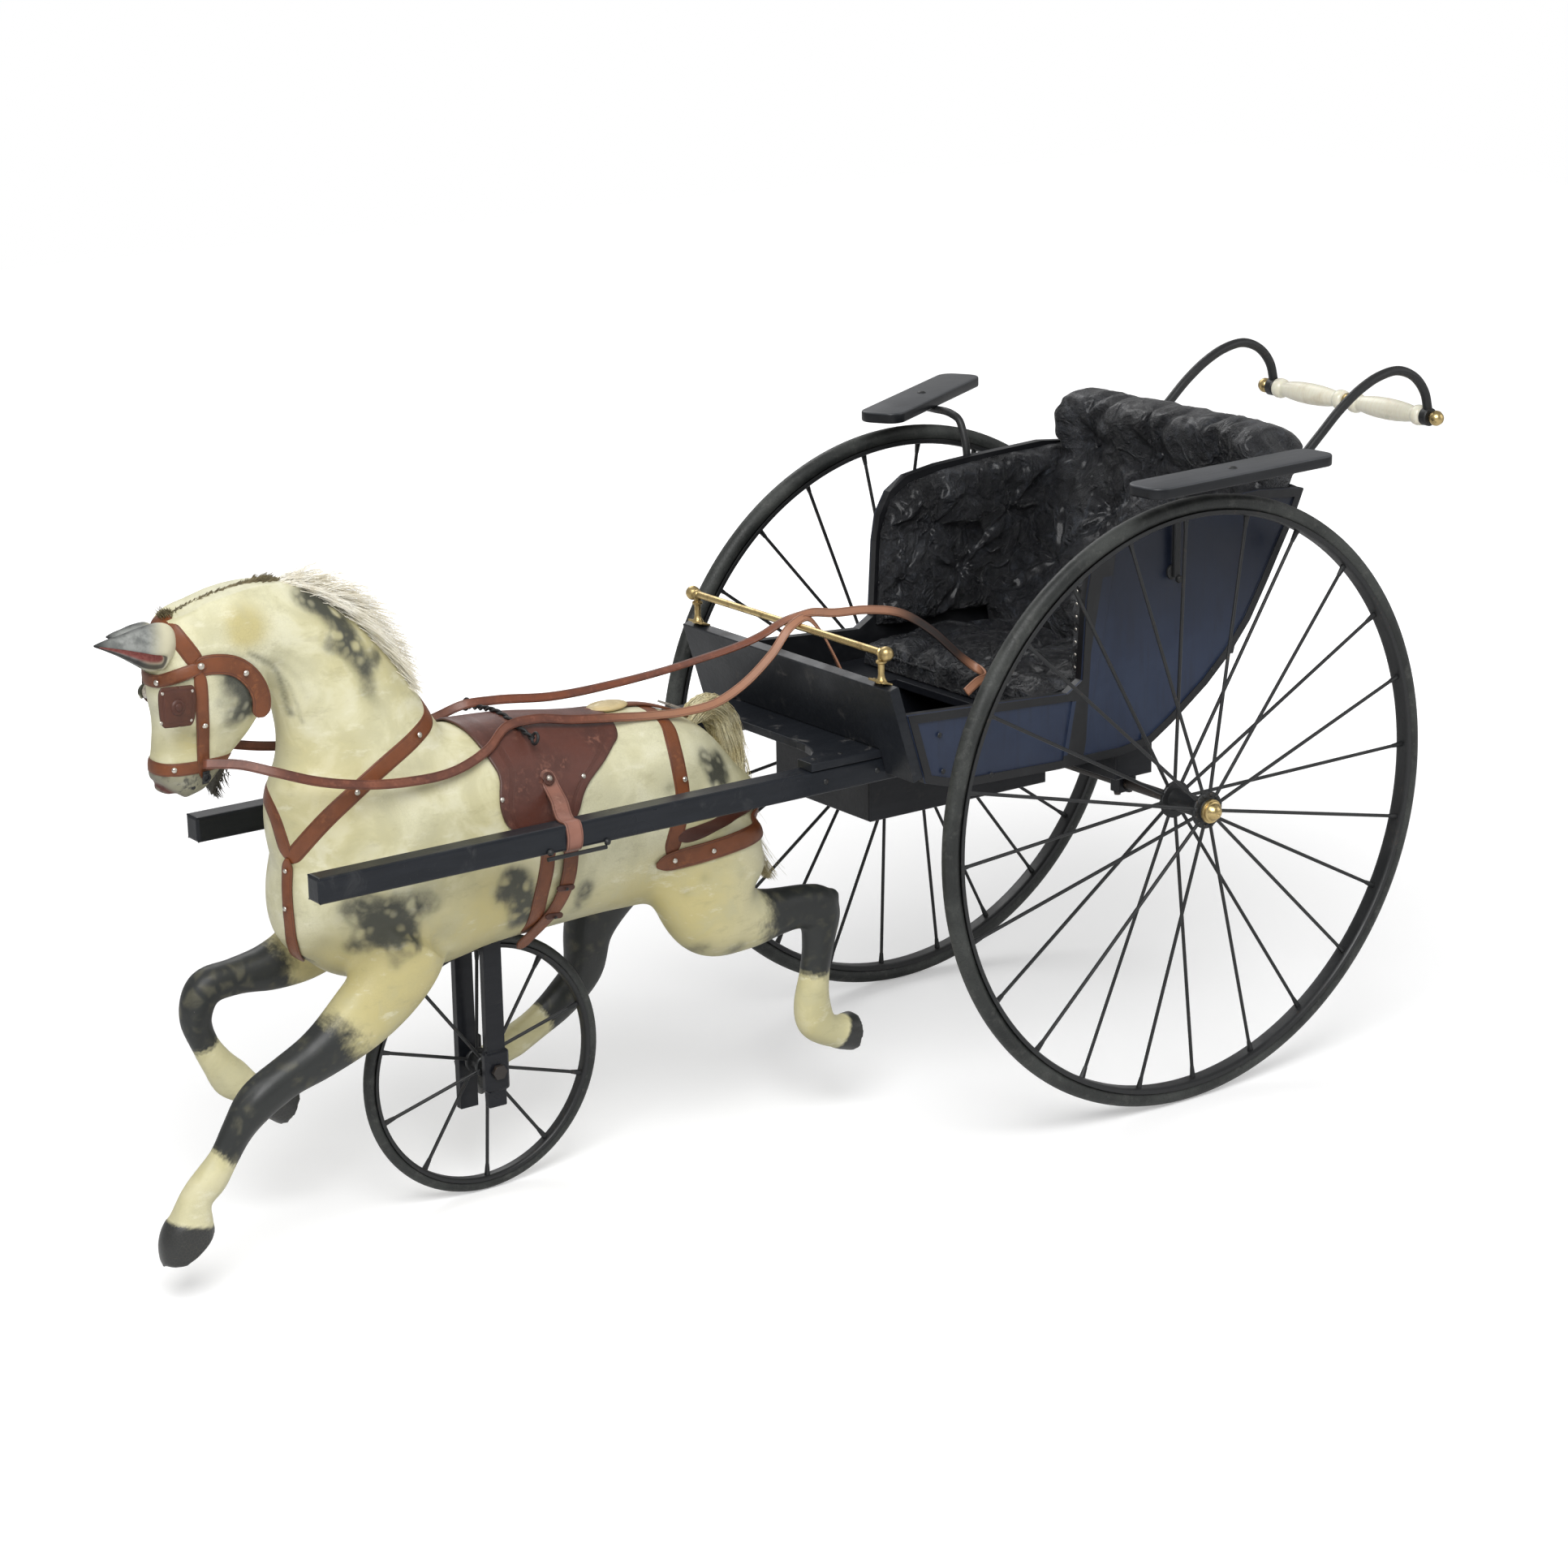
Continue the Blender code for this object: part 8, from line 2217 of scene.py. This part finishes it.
tailSet = {"strands": 1900, "radius": 0.00036, "stray": 0.22}
tailRows = [
    (-0.432, 0.408, 0.006), (-0.424, 0.42, 0.011), (-0.41, 0.4255, 0.0135), (-0.397, 0.417, 0.0145),
    (-0.388, 0.396, 0.014), (-0.383, 0.37, 0.0125), (-0.381, 0.345, 0.0105), (-0.376, 0.315, 0.0075),
    (-0.364, 0.285, 0.005), (-0.35, 0.255, 0.003), (-0.341, 0.24, 0.0012),
]


def makeTail():
    rng = random.Random(11)
    line = smoothLine([(x, 0, z, wide) for x, z, wide in tailRows], 0.004)
    ways = headings(line)
    last = len(line) - 1
    strands = []
    for _ in range(tailSet["strands"]):
        reach = rng.random() ** 0.5
        angle = rng.random() * 2 * math.pi
        begin = int(last * 0.42 * rng.random() ** 1.6)
        end = min(last, begin + int(last * (0.3 + 0.62 * rng.random() ** 1.2)))
        if end - begin < 4:
            continue
        drift = rng.gauss(0, 1.3)
        sway = rng.gauss(0, 0.0018)
        loose = rng.random() < tailSet["stray"]
        blown = rng.gauss(0.006, 0.006) if loose else rng.gauss(0, 0.001)
        strand = []
        for i in range(begin, end + 1, 2):
            t = (i - begin) / (end - begin)
            turn = angle + drift * t * 0.6
            way = ways[i]
            side = np.array([0, 1, 0])
            up = np.cross(way, side)
            wide = line[i][3] * reach * (1 + 0.16 * math.sin(i * 0.5 + angle * 3))
            offset = up * math.cos(turn) * wide + side * math.sin(turn) * wide * 0.9
            strand.append(tuple(line[i][:3] + offset + side * sway * t * 3 + np.array([blown * t * t, 0, 0])))
        strands.append(strand)
    makeStrands("tail_hair", strands, tailSet["radius"], "tail", ("tail",))


chinSet = {"hairs": 150, "radius": 0.0005, "rough": 0.001, "seed": 1}
chinRows = [
    (-0.9265, 0.476, 0.0125, 0.0125), (-0.9265, 0.464, 0.013, 0.011), (-0.9272, 0.45, 0.0085, 0.007),
    (-0.9285, 0.4345, 0.0012, 0.0012),
]


def makeChin():
    # the dark wedge of horsehair under the jaw
    shape = Shape()
    addLoft(shape, chinRows, 0, 2.0, 24, 0.003)
    mesh = shape.mesh("chin")
    points = meshPoints(mesh)
    # noise_vector takes its offsets from the clock unless a seed is set
    noise.seed_set(chinSet["seed"])
    points += np.array([noise.noise_vector(Vector(p) * 160) for p in points]) * chinSet["rough"]
    setPoints(mesh, points)
    finishPiece("chin_wedge", mesh, gig, "tuft", sharp=180)
    rng = random.Random(5)
    strands = []
    for _ in range(chinSet["hairs"]):
        share = rng.random()
        x = -0.9215 - 0.006 * share + rng.gauss(0, 0.007 * (1 - share))
        spot = Vector((x, rng.gauss(0, 0.0045), 0.458 - 0.02 * share))
        heading = Vector((rng.gauss(0, 0.22), rng.gauss(0, 0.25), -1)).normalized()
        length = 0.004 + 0.007 * rng.random()
        strands.append(
            [tuple(spot + heading * length * t + Vector((0.002 * t * t, 0, 0))) for t in stubShares]
        )
    makeStrands("chin_tuft", strands, chinSet["radius"], "tuft")


# reins
reinSet = {"width": 0.0085, "thick": 0.002}
reinRoutes = {
    "near": [
        (-0.951, -0.033, 0.474), (-0.925, -0.048, 0.472), (-0.901, -0.064, 0.465), (-0.864, -0.074, 0.452),
        (-0.824, -0.076, 0.442), (-0.775, -0.074, 0.435), (-0.725, -0.068, 0.434), (-0.678, -0.053, 0.444),
        (-0.65, -0.038, 0.456), (-0.62, -0.035, 0.457), (-0.58, -0.036, 0.45), (-0.537, -0.036, 0.4445),
        (-0.49, -0.033, 0.438), (-0.45, -0.03, 0.4345), (-0.415, -0.029, 0.437), (-0.388, -0.028, 0.447),
        (-0.35, -0.026, 0.472), (-0.324, -0.024, 0.496), (-0.304, -0.022, 0.501), (-0.29, -0.026, 0.486),
        (-0.282, -0.033, 0.466), (-0.276, -0.04, 0.445), (-0.272, -0.044, 0.425),
    ],
    "off": [
        (-0.951, 0.033, 0.474), (-0.922, 0.05, 0.469), (-0.889, 0.066, 0.46), (-0.838, 0.076, 0.446),
        (-0.78, 0.076, 0.438), (-0.725, 0.069, 0.44), (-0.68, 0.054, 0.447), (-0.65, 0.039, 0.46),
        (-0.62, 0.034, 0.4605), (-0.564, 0.028, 0.456), (-0.49, 0.019, 0.46), (-0.415, 0.01, 0.4695),
        (-0.348, -0.008, 0.488), (-0.324, -0.014, 0.5), (-0.303, -0.019, 0.504), (-0.27, -0.02, 0.499),
        (-0.23, -0.021, 0.496), (-0.192, -0.026, 0.487), (-0.166, -0.04, 0.468), (-0.144, -0.052, 0.444),
        (-0.127, -0.06, 0.427), (-0.133, -0.078, 0.424), (-0.156, -0.093, 0.425), (-0.174, -0.099, 0.419),
    ],
}


def reinLeather():
    # tan on the grain side, and nearly black along the off rein's stretch that dips down into the seat
    paint = Paint("rein_strap", Specular_IOR_Level=0.5, Coat_Weight=0.1, Coat_Roughness=0.35)
    cloud = paint.noise(30, 4, 0.6)
    fine = paint.noise(170, 4, 0.65)
    across = paint.marked("across").sum("ABSOLUTE")
    line = across.ramp(0.62, 0.7) * across.ramp(0.88, 0.8)
    tone = paint.blend(cloud.ramp(0.3, 0.72), (0.185, 0.054, 0.023), (0.085, 0.024, 0.013))
    tone = paint.blend(fine.ramp(0.5, 0.74) * 0.45, tone, (0.3, 0.105, 0.06))
    tone = paint.blend(paint.marked("pale") * 0.6, tone, (0.48, 0.245, 0.145))
    tone = paint.blend(paint.marked("black"), tone, (0.02, 0.014, 0.012))
    tone = paint.blend(line * 0.55, tone, (0.055, 0.018, 0.01))
    height = fine * 0.5 - line * 0.8
    return paint.joined(tone, cloud.ramp(0.3, 0.75, 0.36, 0.55), height, 0.0004, 0.5)


finishes["reins"] = reinLeather()


def makeReins():
    for name, route in reinRoutes.items():
        line = smoothLine(route, 0.004)
        ways = headings(line)
        count = len(line) - 1
        sides = []
        for place, way in zip(line, ways):
            # upright beside the neck, turning flat over the gig
            flat = float(fade(place[0], -0.7, -0.4))
            if name == "near":
                lie = np.array([0, 0.45 + 0.3 * flat, 0.9 - 0.25 * flat])
            elif place[0] > -0.3:
                lie = np.array([0, 0.45, 0.9])
            else:
                lie = np.array([0, 0.45 + 0.45 * flat, 0.9 - 0.55 * flat])
            side = lie - way * lie.dot(way)
            sides.append(side / np.linalg.norm(side))
        sides = np.array(sides)
        ease(sides, 8)
        sides /= np.linalg.norm(sides, axis=1)[:, None]

        def place(u, v):
            i = min(count, int(round(v * count)))
            up = np.cross(ways[i], sides[i])
            half = reinSet["width"] / 2
            return Vector(line[i] + sides[i] * half * (2 * u - 1) - up * reinSet["thick"] / 2)

        def marks(u, v):
            x = line[min(count, int(round(v * count)))][0]
            pale = float(fade(x, -0.58, -0.46)) if name == "near" else float(fade(x, -0.36, -0.28))
            black = float(fade(x, -0.215, -0.175) * fade(v, 0.93, 0.9)) if name == "off" else 0.0
            return {"across": 2 * u - 1, "along": v, "pale": pale, "black": black}

        mesh = gridMesh(f"{name}_rein", 6, count, place, marks)
        piece = finishPiece(
            f"{name}_rein_strap", mesh, gig, "reins", (f"{name}_rein",), 50, 0,
            reinSet["thick"],
        )
        length = float(np.linalg.norm(np.diff(line, axis=0), axis=1).sum())
        print(name, "rein is", round(length, 3), "m long")


makeEars()
makeEyes()
makeMane()
makeTail()
makeChin()
makeReins()
print("ears, eyes, hair and reins made")


# the picture's floor and background
def studioFloor():
    # white to the camera, apart from the shadow that the object throws on it
    paint = Paint("studio_floor", Base_Color=(0.8, 0.8, 0.8), Roughness=0.9, Emission_Strength=1.0)
    seen = paint.node("ShaderNodeLightPath", out="Is Camera Ray")
    ahead, aside = paint.axis("X"), paint.axis("Y")
    far = ahead * ahead + aside * aside
    glow = paint.blend(far.ramp(0.4, 3.5), (0.3, 0.3, 0.3), (0.75, 0.75, 0.75))
    return paint.set(Emission_Color=paint.blend(seen, (0, 0, 0), glow)).material


studioSet = {"light": 0.38, "backdrop": 1.0, "floor": -0.0005}


def makeWorld():
    world = bpy.data.worlds.new("studio")
    bpy.context.scene.world = world
    world.use_nodes = True
    tree = world.node_tree
    background = tree.nodes["Background"]
    background.inputs["Color"].default_value = (1, 1, 1, 1)
    seen = tree.nodes.new("ShaderNodeLightPath")
    strength = tree.nodes.new("ShaderNodeMapRange")
    strength.inputs["To Min"].default_value = studioSet["light"]
    strength.inputs["To Max"].default_value = studioSet["backdrop"]
    tree.links.new(seen.outputs["Is Camera Ray"], strength.inputs["Value"])
    tree.links.new(strength.outputs["Result"], background.inputs["Strength"])
    bpy.context.scene.view_settings.view_transform = "Standard"


def addFloor():
    shape = Shape()
    bmesh.ops.create_grid(shape.bm, x_segments=2, y_segments=2, size=6)
    mesh = shape.mesh("studio_floor")
    mesh.transform(Matrix.Translation((0, 0, studioSet["floor"])))
    floor = addObject("studio_floor", mesh)
    mesh.materials.append(studioFloor())


makeWorld()
addFloor()
